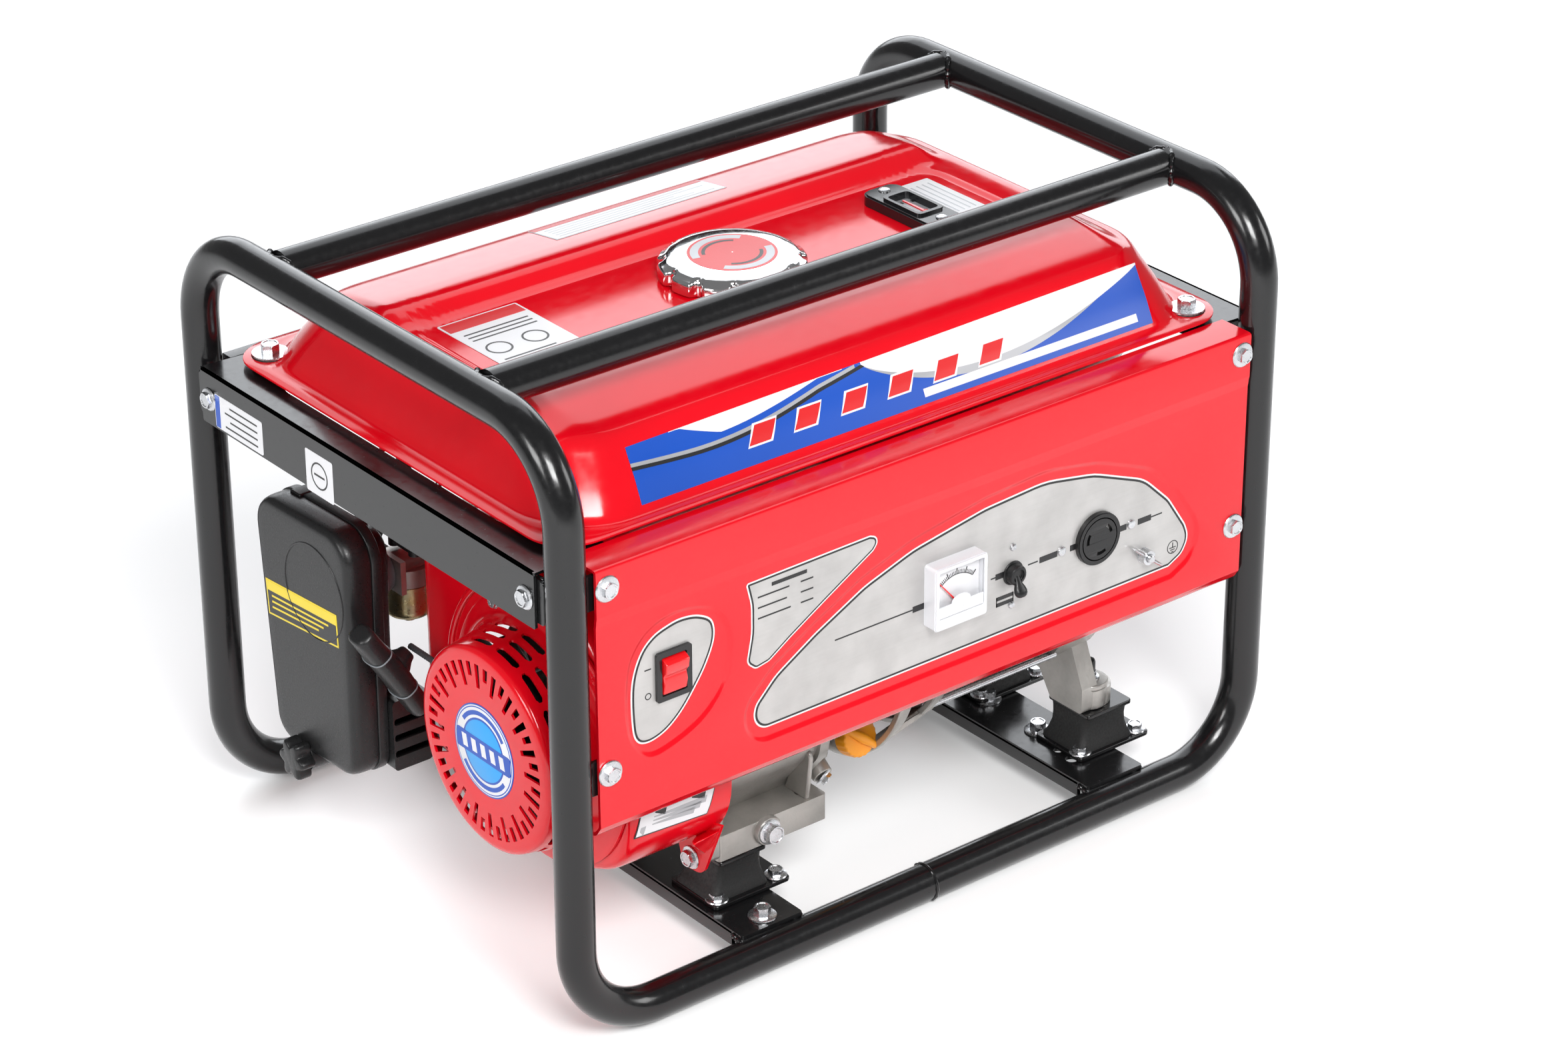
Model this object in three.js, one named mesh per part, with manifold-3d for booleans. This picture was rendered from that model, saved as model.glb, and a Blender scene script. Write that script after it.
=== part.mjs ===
// A portable petrol generator: an open frame of bent tube carries a pressed-steel fuel tank, a sheet
// control panel and, on four rubber mounts, a small overhead-valve engine bolted to an alternator.
// Millimetres, +Z up. The origin is the centre of the footprint, on the surface the frame stands on.
// -Y is the control-panel side and -X is the recoil-starter end.
import * as THREE from "three";
import { mergeVertices } from "three/addons/utils/BufferGeometryUtils.js";
import Module from "manifold-3d";

const wasm = await Module();
wasm.setup();

// ---------------------------------------------------------------- driving dimensions

const GAP = 0.3; // clearance kept between pieces that rest on each other

const FRAME = {
  tubeRadius: 12.7,
  postX: 285, // post centres
  postY: 202,
  railZ: 12.7, // centre of the bottom rails
  topZ: 424.5, // centre of the top bars
  bendRadius: 60,
  topRailY: 114.6,
};
const MEMBER = { width: 50, leftX: -127, rightX: 173, top: 28.7, sheet: 3, lip: 12, halfLength: 199 };
const END_PLATE = {
  outerX: 297,
  bottom: 298,
  top: 336.5,
  sheet: 2,
  halfLength: 187,
  boltY: 177,
  boltZ: 316.5,
  boltHead: 4.4,
};
const PANEL = {
  face: -209, // outside of the main face
  proud: -211.6, // outside of the upper band
  sheet: 1.6,
  bottom: 152,
  bandBottom: 306.5,
  bevelBottom: 299.5,
  top: 338.5,
  halfWidth: 270,
  backEdge: -184,
};
const TANK = {
  seam: 340,
  wall: 2,
  halfX: 262,
  halfY: 172,
  shoulderX: 247,
  shoulderY: 143,
  shoulderZ: 386,
  ridgeZ: 394.5,
  panZ: 384,
  floorZ: 306,
  boltX: 257,
  boltY: 163,
};
const CAP = { radius: 50, top: 399.6, neckRadius: 24 };
const GAUGE = { x: 155, halfX: 15.5, halfY: 38.5, top: 394 };
const CRANK = { y: -96, z: 166 };
const FOOT_Z = 61.3; // underside of the engine and alternator feet
const CYLINDER_TILT = THREE.MathUtils.degToRad(25); // lean of the cylinder from level, towards +Y
const CYLINDER_X = -125;
const HEAD = { from: 144, to: 182 }; // distances from the crank centre along the cylinder
const PORT = { y: 66, z: 218, exhaustY: 54 };
const RECOIL = { faceX: -276.5, backX: -231.5, faceRadius: 70, drumRadius: 77, flangeRadius: 92 };
const SHROUD = { frontX: -231, backX: -150, wall: 1.8 };
const ENGINE = { flywheelSideX: -186, coverX: -50, bracketX: -8 };
const STATOR = { fromX: 47, toX: 152, radius: 79, bore: 47 };
const END_BRACKET = { fromX: 152.3, toX: 186, footX: 192, footY: [-148, -44] };
const CLEANER = { rimX: -270, backX: -251 };
const KNOB = { y: 100, z: 79, front: -300, back: -288.8 };
const CARB = { x: -222, bowlTop: 205, bowlBottom: 180 };
const CHOKE = { x: -231, z: PORT.z + 15.5 };
const GOVERNOR = { x: -138, y: -50, z: 277 };
const FILLER = { x: -17, y: -112, z: 97, length: 33, tilt: THREE.MathUtils.degToRad(14.5) };
const TAP = { x: -196, y: 104 };
const MUFFLER = { x0: -44, x1: 168, y0: 40, y1: 148, z0: 184, z1: 278 };
const TAIL = { y: 112, z: 250 };
const ROPE = { x: -255.5, z: 187, fromY: -32, toY: 15, radius: 2.2 };
const GRIP = { x: -273, y: 13, z: 176, half: 41, lean: THREE.MathUtils.degToRad(32) };
const SWITCH = { x: -212, z: 249.5, width: 27, height: 34 };
const METER = { x: 11.5, z: 234, width: 44, height: 45, front: -221 };
const NEEDLE = { pivotZ: METER.z - 8.5, length: 26.5, rest: THREE.MathUtils.degToRad(-41) };
const BREAKER = { x: 65, z: 226 };
const SOCKET = { x: 138, z: 228, radius: 18.7 };
const GROUND = { x: 181, z: 201 };

// ---------------------------------------------------------------- finishes

const finish = (color, roughness, metalness = 0) => ({ color, roughness, metalness });
const FINISH = {
  frame: finish(0x141416, 0.35, 0.2),
  red: finish(0xc80d18, 0.25),
  chrome: finish(0xd8dade, 0.12, 1),
  zinc: finish(0xb9bec4, 0.3, 1),
  aluminium: finish(0x9c9a96, 0.5, 0.9),
  castIron: finish(0x5a5a5c, 0.6, 0.8),
  brass: finish(0xb9964a, 0.35, 1),
  blackPlastic: finish(0x1b1b1d, 0.45),
  greyPlastic: finish(0x7d8287, 0.5),
  rubber: finish(0x0e0e0f, 0.8),
  clear: finish(0xe9edf2, 0.1),
  rocker: finish(0xe0141c, 0.3),
  yellow: finish(0xf59a14, 0.4),
  foam: finish(0x33343a, 0.95),
};

// ---------------------------------------------------------------- solid modelling helpers

const generator = new THREE.Group();

function add(name, geometry, look) {
  const mesh = new THREE.Mesh(geometry, new THREE.MeshStandardMaterial(look));
  mesh.name = name;
  generator.add(mesh);
}

function toSolid(geometry) {
  const loose = geometry.index ? geometry.toNonIndexed() : geometry;
  const bare = new THREE.BufferGeometry().setAttribute("position", loose.getAttribute("position"));
  const welded = mergeVertices(bare, 1e-4);
  const vertProperties = new Float32Array(welded.attributes.position.array);
  const triVerts = new Uint32Array(welded.index.array);
  const solid = new wasm.Manifold(new wasm.Mesh({ numProp: 3, vertProperties, triVerts }));
  if (solid.volume() > 0) return solid;
  for (let i = 0; i < triVerts.length; i += 3) {
    [triVerts[i + 1], triVerts[i + 2]] = [triVerts[i + 2], triVerts[i + 1]];
  }
  return new wasm.Manifold(new wasm.Mesh({ numProp: 3, vertProperties, triVerts }));
}

function toGeometry(solid) {
  const { vertProperties, triVerts } = solid.getMesh();
  const geometry = new THREE.BufferGeometry();
  geometry.setAttribute("position", new THREE.BufferAttribute(new Float32Array(vertProperties), 3));
  geometry.setIndex(new THREE.BufferAttribute(new Uint32Array(triVerts), 1));
  geometry.computeVertexNormals();
  return geometry;
}

function join(...pieces) {
  return toGeometry(pieces.map(toSolid).reduce((whole, next) => whole.add(next)));
}

function cut(body, ...tools) {
  return toGeometry(tools.map(toSolid).reduce((rest, tool) => rest.subtract(tool), toSolid(body)));
}

// A box between two corners.
function block(x0, x1, y0, y1, z0, z1) {
  const box = new THREE.BoxGeometry(x1 - x0, y1 - y0, z1 - z0);
  return box.translate((x0 + x1) / 2, (y0 + y1) / 2, (z0 + z1) / 2);
}

// A round bar, or a cone when the end radius differs.
function rod(from, to, radius, sides = 20, endRadius = radius) {
  const start = new THREE.Vector3(...from);
  const run = new THREE.Vector3(...to).sub(start);
  const bar = new THREE.CylinderGeometry(endRadius, radius, run.length(), sides);
  bar.translate(0, run.length() / 2, 0);
  const turn = new THREE.Quaternion().setFromUnitVectors(new THREE.Vector3(0, 1, 0), run.normalize());
  return bar.applyQuaternion(turn).translate(...from);
}

// A turned piece on an axis along X through (y, z). Profile points are [radius, x].
function turnedX(profile, y, z, sides = 32) {
  const points = profile.map(([radius, x]) => new THREE.Vector2(radius, x));
  return new THREE.LatheGeometry(points, sides).rotateZ(-Math.PI / 2).translate(0, y, z);
}

// A turned piece on an upright axis through (x, y). Profile points are [radius, z].
function turnedZ(profile, x, y, sides = 32) {
  const points = profile.map(([radius, z]) => new THREE.Vector2(radius, z));
  return new THREE.LatheGeometry(points, sides).rotateX(Math.PI / 2).translate(x, y, 0);
}

// A closed outline whose corners are rounded. Each corner is [u, v] or [u, v, radius].
function outline(corners, radius = 0) {
  const shape = new THREE.Shape();
  const count = corners.length;
  const at = (i) => new THREE.Vector2(corners[(i + count) % count][0], corners[(i + count) % count][1]);
  corners.forEach((corner, i) => {
    const here = at(i);
    const bend = corner[2] ?? radius;
    if (bend === 0) {
      if (i === 0) shape.moveTo(here.x, here.y);
      else shape.lineTo(here.x, here.y);
      return;
    }
    const back = at(i - 1).sub(here).normalize();
    const on = at(i + 1).sub(here).normalize();
    const reach = bend / Math.tan(Math.acos(THREE.MathUtils.clamp(back.dot(on), -1, 1)) / 2);
    const enter = here.clone().addScaledVector(back, reach);
    const leave = here.clone().addScaledVector(on, reach);
    if (i === 0) shape.moveTo(enter.x, enter.y);
    else shape.lineTo(enter.x, enter.y);
    shape.quadraticCurveTo(here.x, here.y, leave.x, leave.y);
  });
  shape.closePath();
  return shape;
}

// An outline pushed along an axis. On X the outline is (y, z), on Y it is (x, z), on Z it is (x, y).
const PLANES = {
  x: new THREE.Matrix4().set(0, 0, 1, 0, 1, 0, 0, 0, 0, 1, 0, 0, 0, 0, 0, 1),
  y: new THREE.Matrix4().set(1, 0, 0, 0, 0, 0, 1, 0, 0, 1, 0, 0, 0, 0, 0, 1),
  z: new THREE.Matrix4(),
};
function prism(shape, axis, from, to, curveSegments = 3) {
  const pushed = new THREE.ExtrudeGeometry(shape, { depth: to - from, bevelEnabled: false, curveSegments });
  return toGeometry(toSolid(pushed.translate(0, 0, from).applyMatrix4(PLANES[axis])));
}

// A sheet bent along a line of [u, v] corners: the strip between that line and its offset.
function bentSheet(line, thickness) {
  const points = line.map(([u, v]) => new THREE.Vector2(u, v));
  const inner = points.map((point, i) => {
    const before = points[Math.max(i - 1, 0)];
    const after = points[Math.min(i + 1, points.length - 1)];
    const into = (i === 0 ? after.clone().sub(point) : point.clone().sub(before)).normalize();
    const out = (i === points.length - 1 ? point.clone().sub(before) : after.clone().sub(point)).normalize();
    const sideIn = new THREE.Vector2(-into.y, into.x);
    const sideOut = new THREE.Vector2(-out.y, out.x);
    const mitre = sideIn.clone().add(sideOut).normalize();
    return point.clone().addScaledVector(mitre, thickness / mitre.dot(sideIn));
  });
  return new THREE.Shape([...points, ...inner.reverse()]);
}

// The centreline of a bent pipe: straight runs joined by arcs of one radius. It has one station at
// each end of a run and a few round each bend, and these are the sections a sweep is built on.
class PipeRun extends THREE.Curve {
  constructor(corners, bendRadius, bendSteps = 5) {
    super();
    const points = corners.map((corner) => new THREE.Vector3(...corner));
    const last = points.length - 1;
    this.stations = [];
    points.forEach((corner, i) => {
      if (i === 0 || i === last) {
        const other = points[i === 0 ? 1 : last - 1];
        const heading = i === 0 ? other.clone().sub(corner) : corner.clone().sub(other);
        this.stations.push({ point: corner, heading: heading.normalize() });
        return;
      }
      const arriving = corner.clone().sub(points[i - 1]).normalize();
      const leaving = points[i + 1].clone().sub(corner).normalize();
      const turn = arriving.angleTo(leaving);
      const reach = bendRadius * Math.tan(turn / 2);
      const start = corner.clone().addScaledVector(arriving, -reach);
      const inward = leaving.clone().addScaledVector(arriving, -leaving.dot(arriving)).normalize();
      for (let step = 0; step <= bendSteps; step++) {
        const angle = (turn * step) / bendSteps;
        const point = start.clone().addScaledVector(arriving, bendRadius * Math.sin(angle));
        point.addScaledVector(inward, bendRadius * (1 - Math.cos(angle)));
        const heading = arriving.clone().multiplyScalar(Math.cos(angle));
        this.stations.push({ point, heading: heading.addScaledVector(inward, Math.sin(angle)) });
      }
    });
  }
  get steps() {
    return this.stations.length - 1;
  }
  getPoint(t, target = new THREE.Vector3()) {
    return target.copy(this.stations[Math.round(t * this.steps)].point);
  }
  getPointAt(u, target) {
    return this.getPoint(u, target);
  }
  getTangentAt(u, target = new THREE.Vector3()) {
    return target.copy(this.stations[Math.round(u * this.steps)].heading);
  }
}

function pipe(corners, radius, bendRadius, sides = 16, bendSteps = 5) {
  const run = new PipeRun(corners, bendRadius, bendSteps);
  const ring = Array.from({ length: sides }, (_, i) => {
    const angle = (2 * Math.PI * i) / sides;
    return new THREE.Vector2(radius * Math.cos(angle), radius * Math.sin(angle));
  });
  const swept = new THREE.ExtrudeGeometry(new THREE.Shape(ring), { steps: run.steps, extrudePath: run });
  return toGeometry(toSolid(swept));
}

// A loft through level rounded rectangles: each ring is {z, x0, x1, y0, y1, radius}.
function loftZ(rings, cornerSteps = 4) {
  const perRing = 4 * (cornerSteps + 1);
  const points = [];
  for (const { z, x0, x1, y0, y1, radius } of rings) {
    const corners = [
      [x1 - radius, y1 - radius],
      [x0 + radius, y1 - radius],
      [x0 + radius, y0 + radius],
      [x1 - radius, y0 + radius],
    ];
    corners.forEach(([x, y], quarter) => {
      for (let step = 0; step <= cornerSteps; step++) {
        const angle = (Math.PI / 2) * (quarter + step / cornerSteps);
        points.push(x + radius * Math.cos(angle), y + radius * Math.sin(angle), z);
      }
    });
  }
  const faces = [];
  for (let ring = 0; ring + 1 < rings.length; ring++) {
    for (let i = 0; i < perRing; i++) {
      const a = ring * perRing + i;
      const b = ring * perRing + ((i + 1) % perRing);
      faces.push(a, b, b + perRing, a, b + perRing, a + perRing);
    }
  }
  const top = (rings.length - 1) * perRing;
  for (let i = 1; i + 1 < perRing; i++) {
    faces.push(0, i + 1, i);
    faces.push(top, top + i, top + i + 1);
  }
  const geometry = new THREE.BufferGeometry();
  geometry.setAttribute("position", new THREE.Float32BufferAttribute(points, 3));
  geometry.setIndex(faces);
  return geometry;
}

// The same loft lying down: rings are {x, y0, y1, z0, z1, radius}, stacked along X.
function loftX(rings, cornerSteps = 4) {
  const upright = rings.map(({ x, y0, y1, z0, z1, radius }) => {
    return { z: x, x0: y0, x1: y1, y0: z0, y1: z1, radius };
  });
  return toGeometry(toSolid(loftZ(upright, cornerSteps).applyMatrix4(PLANES.x)));
}

// A ring centred on the origin, for tanks and covers.
function centredRing(z, halfX, halfY, radius) {
  return { z, x0: -halfX, x1: halfX, y0: -halfY, y1: halfY, radius };
}

// ---------------------------------------------------------------- frame

const SIDES = [-1, 1];

// Each end hoop runs from the middle of the front rail, up, over and down to the middle of the rear
// rail, with the tabs for the end plate and the panel welded to its posts.
function frameHoop(side) {
  const { tubeRadius, postX, postY, railZ, topZ, bendRadius } = FRAME;
  const x = side * postX;
  const middle = side * GAP;
  const corners = [
    [middle, -postY, railZ],
    [x, -postY, railZ],
    [x, -postY, topZ],
    [x, postY, topZ],
    [x, postY, railZ],
    [middle, postY, railZ],
  ];
  const plateTabs = SIDES.map((end) => {
    const x0 = END_PLATE.outerX - END_PLATE.sheet - GAP - 3;
    const [xa, xb] = side < 0 ? [-x0 - 3, -x0] : [x0, x0 + 3];
    const [ya, yb] = end < 0 ? [-193, -164] : [164, 193];
    return block(xa, xb, ya, yb, END_PLATE.boltZ - 15, END_PLATE.boltZ + 15);
  });
  const panelTabs = [325, 197].map((z) => {
    const [xa, xb] = side < 0 ? [-277, -253] : [253, 277];
    const front = PANEL.face + PANEL.sheet + GAP;
    return block(xa, xb, front, front + 3, z - 15, z + 9);
  });
  return join(pipe(corners, tubeRadius, bendRadius, 16), ...plateTabs, ...panelTabs);
}
add("frame_hoop_left", frameHoop(-1), FINISH.frame);
add("frame_hoop_right", frameHoop(1), FINISH.frame);

// The straight top rails butt against the hoops' top bars.
function topRail(y) {
  const { tubeRadius, postX, topZ } = FRAME;
  const rail = rod([-postX, y, topZ], [postX, y, topZ], tubeRadius, 16);
  const barRadius = tubeRadius + GAP;
  const bars = SIDES.map((side) => rod([side * postX, -180, topZ], [side * postX, 180, topZ], barRadius, 16));
  const solids = toSolid(cut(rail, ...bars)).decompose();
  const longest = solids.sort((a, b) => b.volume() - a.volume())[0];
  return toGeometry(longest);
}
add("top_rail_front", topRail(-FRAME.topRailY), FINISH.frame);
add("top_rail_rear", topRail(FRAME.topRailY), FINISH.frame);

// A cross member is a shallow channel laid over the two bottom rails, lips down between them.
function crossMember(x, holes) {
  const { width, top, sheet, lip, halfLength } = MEMBER;
  const web = block(x - width / 2, x + width / 2, -halfLength, halfLength, top - sheet, top);
  const lips = SIDES.map((side) => {
    const outer = x + (side * width) / 2;
    const [xa, xb] = side < 0 ? [outer, outer + sheet] : [outer - sheet, outer];
    return block(xa, xb, -188, 188, top - lip, top - 1);
  });
  const drilled = holes.map(([hx, hy, r]) => rod([hx, hy, top - 6], [hx, hy, top + 2], r, 12));
  const member = join(web, ...lips);
  return drilled.length ? cut(member, ...drilled) : member;
}
add("cross_member_left", crossMember(MEMBER.leftX, [[-127, 60, 5], [-127, -60, 5]]), FINISH.frame);
add(
  "cross_member_right",
  crossMember(MEMBER.rightX, [
    [176, -148, 3.5],
    [166, -148, 3.5],
    [165, -163, 4.5],
    [173, 60, 5],
  ]),
  FINISH.frame,
);

// An end plate is an angle between two posts: an upright web with a bolt at each end, and a top
// flange that widens at its ends to carry the tank's ears.
function endPlate(side) {
  const { outerX, bottom, top, sheet, halfLength, boltY, boltZ, boltHead } = END_PLATE;
  const inner = outerX - sheet;
  const web = block(inner, outerX, -halfLength, halfLength, bottom, top);
  const flange = outline([
    [outerX, -halfLength],
    [outerX, halfLength],
    [240, halfLength - 4],
    [240, 138],
    [274, 126],
    [274, -126],
    [240, -138],
    [240, 4 - halfLength],
  ]);
  const bolts = SIDES.map((end) => {
    return rod([outerX - 0.5, end * boltY, boltZ], [outerX + boltHead, end * boltY, boltZ], 6.4, 6);
  });
  const holes = SIDES.map((end) => {
    const hole = [TANK.boltX, end * TANK.boltY];
    return rod([...hole, top - 5], [...hole, top + 5], 4.5, 12);
  });
  const posts = SIDES.map((end) => {
    const post = [FRAME.postX, end * FRAME.postY];
    return rod([...post, 200], [...post, 400], FRAME.tubeRadius + 0.8, 16);
  });
  const plate = cut(join(web, prism(flange, "z", top - sheet, top), ...bolts), ...holes, ...posts);
  if (side < 0) plate.rotateZ(Math.PI);
  return plate;
}
add("end_plate_left", endPlate(-1), FINISH.frame);
add("end_plate_right", endPlate(1), FINISH.frame);

// An angle bar joins the two rear posts behind the tank.
const rearRail = bentSheet([[199, 306], [199, 331], [191, 331]], -2.5);
add("rear_rail", prism(rearRail, "x", -FRAME.postX + 14.2, FRAME.postX - 14.2), FINISH.frame);

// ---------------------------------------------------------------- control panel

// The panel is one folded sheet: an inward bottom edge, the main face, a bevel out to the upper
// band, and a top return that ends under the tank's seam flange.
const panelLine = [
  [PANEL.face + 7, PANEL.bottom],
  [PANEL.face, PANEL.bottom + 9],
  [PANEL.face, PANEL.bevelBottom],
  [PANEL.proud, PANEL.bandBottom],
  [PANEL.proud, PANEL.top],
  [PANEL.backEdge, PANEL.top],
];
const panelSheet = prism(bentSheet(panelLine, -PANEL.sheet), "x", -PANEL.halfWidth, PANEL.halfWidth);
const through = (x, z, radius, sides = 20) => rod([x, -230, z], [x, -195, z], radius, sides);
const studBack = PANEL.face + PANEL.sheet;
const groundStud = rod([GROUND.x, PANEL.face - 9, GROUND.z], [GROUND.x, studBack, GROUND.z], 2.9, 12);
const cornerNotches = SIDES.map((side) => {
  const corner = new THREE.BoxGeometry(30, 30, 40).rotateZ(Math.PI / 4);
  return corner.translate(side * (PANEL.halfWidth + 6), PANEL.backEdge + 3, PANEL.top - 4);
});
const postReliefs = SIDES.map((side) => {
  const post = [side * FRAME.postX, -FRAME.postY];
  return rod([...post, 100], [...post, 400], FRAME.tubeRadius + 0.6, 16);
});
const panelOpenings = [
  block(SWITCH.x - 10.8, SWITCH.x + 10.8, -230, -195, SWITCH.z - 14.8, SWITCH.z + 14.8),
  through(METER.x, METER.z, 17),
  through(BREAKER.x, BREAKER.z, 7.5),
  through(SOCKET.x, SOCKET.z, SOCKET.radius + 0.5, 28),
  ...SIDES.flatMap((side) => [through(side * 262, 325, 3.6, 12), through(side * 262, 197, 3.6, 12)]),
];
add(
  "front_panel",
  join(cut(panelSheet, ...panelOpenings, ...cornerNotches, ...postReliefs), groundStud),
  FINISH.red,
);

// The control box is a tray behind the panel that closes off the back of the breaker and the outlet.
const boxFront = PANEL.face + PANEL.sheet + GAP;
add(
  "control_box",
  cut(
    prism(outline([[30, 200], [222, 200], [222, 286], [30, 286]], 10), "y", boxFront, -178),
    prism(outline([[33, 203], [219, 203], [219, 283], [33, 283]], 8), "y", boxFront - 1, -180.5),
    rod([45, -190, 260], [20, -190, 260], 6, 14),
  ),
  FINISH.blackPlastic,
);

// Engine stop switch: a housing clipped into the sheet and a rocker on a pin along X.
const switchFace = outline(
  [
    [SWITCH.x - SWITCH.width / 2, SWITCH.z - SWITCH.height / 2],
    [SWITCH.x + SWITCH.width / 2, SWITCH.z - SWITCH.height / 2],
    [SWITCH.x + SWITCH.width / 2, SWITCH.z + SWITCH.height / 2],
    [SWITCH.x - SWITCH.width / 2, SWITCH.z + SWITCH.height / 2],
  ],
  1.5,
);
const switchPivotY = PANEL.face + 1.5;
add(
  "switch_housing",
  cut(
    join(
      prism(switchFace, "y", PANEL.face - 2.6, PANEL.face - GAP, 2),
      block(SWITCH.x - 10.5, SWITCH.x + 10.5, PANEL.face - 1, -193, SWITCH.z - 14.5, SWITCH.z + 14.5),
    ),
    block(SWITCH.x - 9.3, SWITCH.x + 9.3, PANEL.face - 5, -196, SWITCH.z - 13.3, SWITCH.z + 13.3),
  ),
  FINISH.blackPlastic,
);
const rockerRadius = 12.9;
const rockerPoint = (degrees, radius = rockerRadius) => {
  const angle = THREE.MathUtils.degToRad(degrees);
  return [switchPivotY + radius * Math.cos(angle), SWITCH.z + radius * Math.sin(angle)];
};
const rockerSide = outline([
  rockerPoint(180, 4.5),
  rockerPoint(130),
  rockerPoint(95),
  rockerPoint(50, 7.8),
  rockerPoint(-50, 7.8),
  rockerPoint(-95),
  rockerPoint(-111),
]);
add("engine_switch", prism(rockerSide, "x", SWITCH.x - 8.9, SWITCH.x + 8.9), FINISH.rocker);

// Voltmeter: a square case with a dished dial, open at the front, and a needle on its pivot.
const meterEdge = [
  [METER.x - METER.width / 2, METER.z - METER.height / 2],
  [METER.x + METER.width / 2, METER.z - METER.height / 2],
  [METER.x + METER.width / 2, METER.z + METER.height / 2],
  [METER.x - METER.width / 2, METER.z + METER.height / 2],
];
const dial = [
  [METER.x - 19, METER.z - 14],
  [METER.x + 19, METER.z - 14],
  [METER.x + 19, METER.z + 19.5],
  [METER.x - 19, METER.z + 19.5],
];
add(
  "voltmeter_case",
  cut(
    join(
      prism(outline(meterEdge, 2), "y", METER.front, PANEL.face - GAP, 2),
      rod([METER.x, PANEL.face - 1, METER.z], [METER.x, -186, METER.z], 16.4, 24),
    ),
    prism(outline(dial, 1), "y", METER.front - 1, METER.front + 6),
  ),
  FINISH.clear,
);
const needleBlade = new THREE.Shape([
  new THREE.Vector2(-0.7, 0),
  new THREE.Vector2(0.7, 0),
  new THREE.Vector2(0.25, NEEDLE.length),
  new THREE.Vector2(-0.25, NEEDLE.length),
]);
add(
  "voltmeter_needle",
  join(rod([0, 2, 0], [0, 4.4, 0], 1.8, 12), prism(needleBlade, "y", 2.8, 3.6))
    .rotateY(NEEDLE.rest)
    .translate(METER.x, METER.front, NEEDLE.pivotZ),
  FINISH.rocker,
);

// Circuit breaker: a round nose through the panel with a slot for a toggle that hangs down and out.
const breakerPivotY = PANEL.face - 3;
add(
  "breaker_body",
  cut(
    join(
      rod([BREAKER.x, PANEL.face - 7, BREAKER.z], [BREAKER.x, PANEL.face + 4, BREAKER.z], 7, 20),
      block(BREAKER.x - 11, BREAKER.x + 11, -206.6, -184, BREAKER.z - 20, BREAKER.z + 20),
    ),
    block(BREAKER.x - 3.4, BREAKER.x + 3.4, PANEL.face - 9, PANEL.face + 1.5, BREAKER.z - 9, BREAKER.z + 9),
  ),
  FINISH.blackPlastic,
);
const toggleReach = 13;
const toggleDrop = THREE.MathUtils.degToRad(62);
const toggleTip = [
  BREAKER.x,
  breakerPivotY - toggleReach * Math.cos(toggleDrop),
  BREAKER.z - toggleReach * Math.sin(toggleDrop),
];
add(
  "breaker_toggle",
  join(
    rod([BREAKER.x, breakerPivotY, BREAKER.z], toggleTip, 2, 14, 2.7),
    rod([BREAKER.x - 2.9, breakerPivotY, BREAKER.z], [BREAKER.x + 2.9, breakerPivotY, BREAKER.z], 2.6, 14),
    new THREE.SphereGeometry(3.3, 12, 6).scale(1.55, 1, 1.2).translate(...toggleTip),
  ),
  FINISH.blackPlastic,
);

// Twist-lock outlet: a round face with three curved slots, held by a yoke behind the sheet.
function curvedSlot(angle) {
  const slot = new THREE.Shape();
  const from = angle - 0.36;
  const to = angle + 0.36;
  slot.absarc(0, 0, 11.6, from, to, false);
  slot.absarc(0, 0, 9.2, to, from, true);
  slot.closePath();
  return prism(slot, "y", -230, -206, 5).translate(SOCKET.x, 0, SOCKET.z);
}
add(
  "power_socket",
  cut(
    join(
      rod([SOCKET.x, PANEL.face - 4, SOCKET.z], [SOCKET.x, -184, SOCKET.z], SOCKET.radius, 32),
      block(SOCKET.x - 37, SOCKET.x + 37, -206.9, -204.4, SOCKET.z - 8, SOCKET.z + 8),
    ),
    curvedSlot(Math.PI * 0.93),
    curvedSlot(Math.PI * 0.2),
    curvedSlot(-Math.PI * 0.45),
  ),
  FINISH.blackPlastic,
);

// Earth terminal: a wing nut on the stud that stands out of the panel.
const wing = (side) => {
  const blade = new THREE.BoxGeometry(11, 2.4, 9).translate(side * 9.5, 0, 0);
  return blade.rotateY(THREE.MathUtils.degToRad(38)).translate(GROUND.x, PANEL.face - 5.4, GROUND.z);
};
add(
  "ground_wing_nut",
  cut(
    join(
      rod([GROUND.x, PANEL.face - 8, GROUND.z], [GROUND.x, PANEL.face - 1.2, GROUND.z], 5.2, 16),
      wing(-1),
      wing(1),
    ),
    rod([GROUND.x, PANEL.face - 20, GROUND.z], [GROUND.x, PANEL.face + 5, GROUND.z], 3.2, 12),
  ),
  FINISH.zinc,
);

// ---------------------------------------------------------------- fuel tank

// Upper pressing: crowned body, two raised lobes along X, a sunk pan between them, the seam flange
// with its ears, and the filler neck. It is hollow underneath.
const lobes = SIDES.map((side) => {
  const span = (z, halfX, near, far, radius) => {
    const [y0, y1] = side < 0 ? [-far, -near] : [near, far];
    return { z, x0: -halfX, x1: halfX, y0, y1, radius };
  };
  return loftZ([
    span(TANK.shoulderZ - 4, 242, 58, 146, 30),
    span(TANK.shoulderZ, 240, 60, 143, 28),
    span(TANK.ridgeZ - 1.5, 233, 67, 96, 12),
    span(TANK.ridgeZ, 229, 71, 82, 5),
  ]);
});
const crown = join(
  loftZ([
    centredRing(TANK.seam + 1, TANK.halfX + 5, TANK.halfY + 5, 52),
    centredRing(TANK.seam + 5, TANK.halfX, TANK.halfY, 48),
    centredRing(TANK.shoulderZ - 6, TANK.shoulderX + 1.5, TANK.shoulderY + 3.5, 46),
    centredRing(TANK.shoulderZ, TANK.shoulderX - 5, TANK.shoulderY - 3, 40),
  ]),
  loftZ([centredRing(TANK.seam + 0.2, 278, 185, 30), centredRing(TANK.seam + 2, 278, 185, 30)]),
  ...lobes,
);
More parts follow.
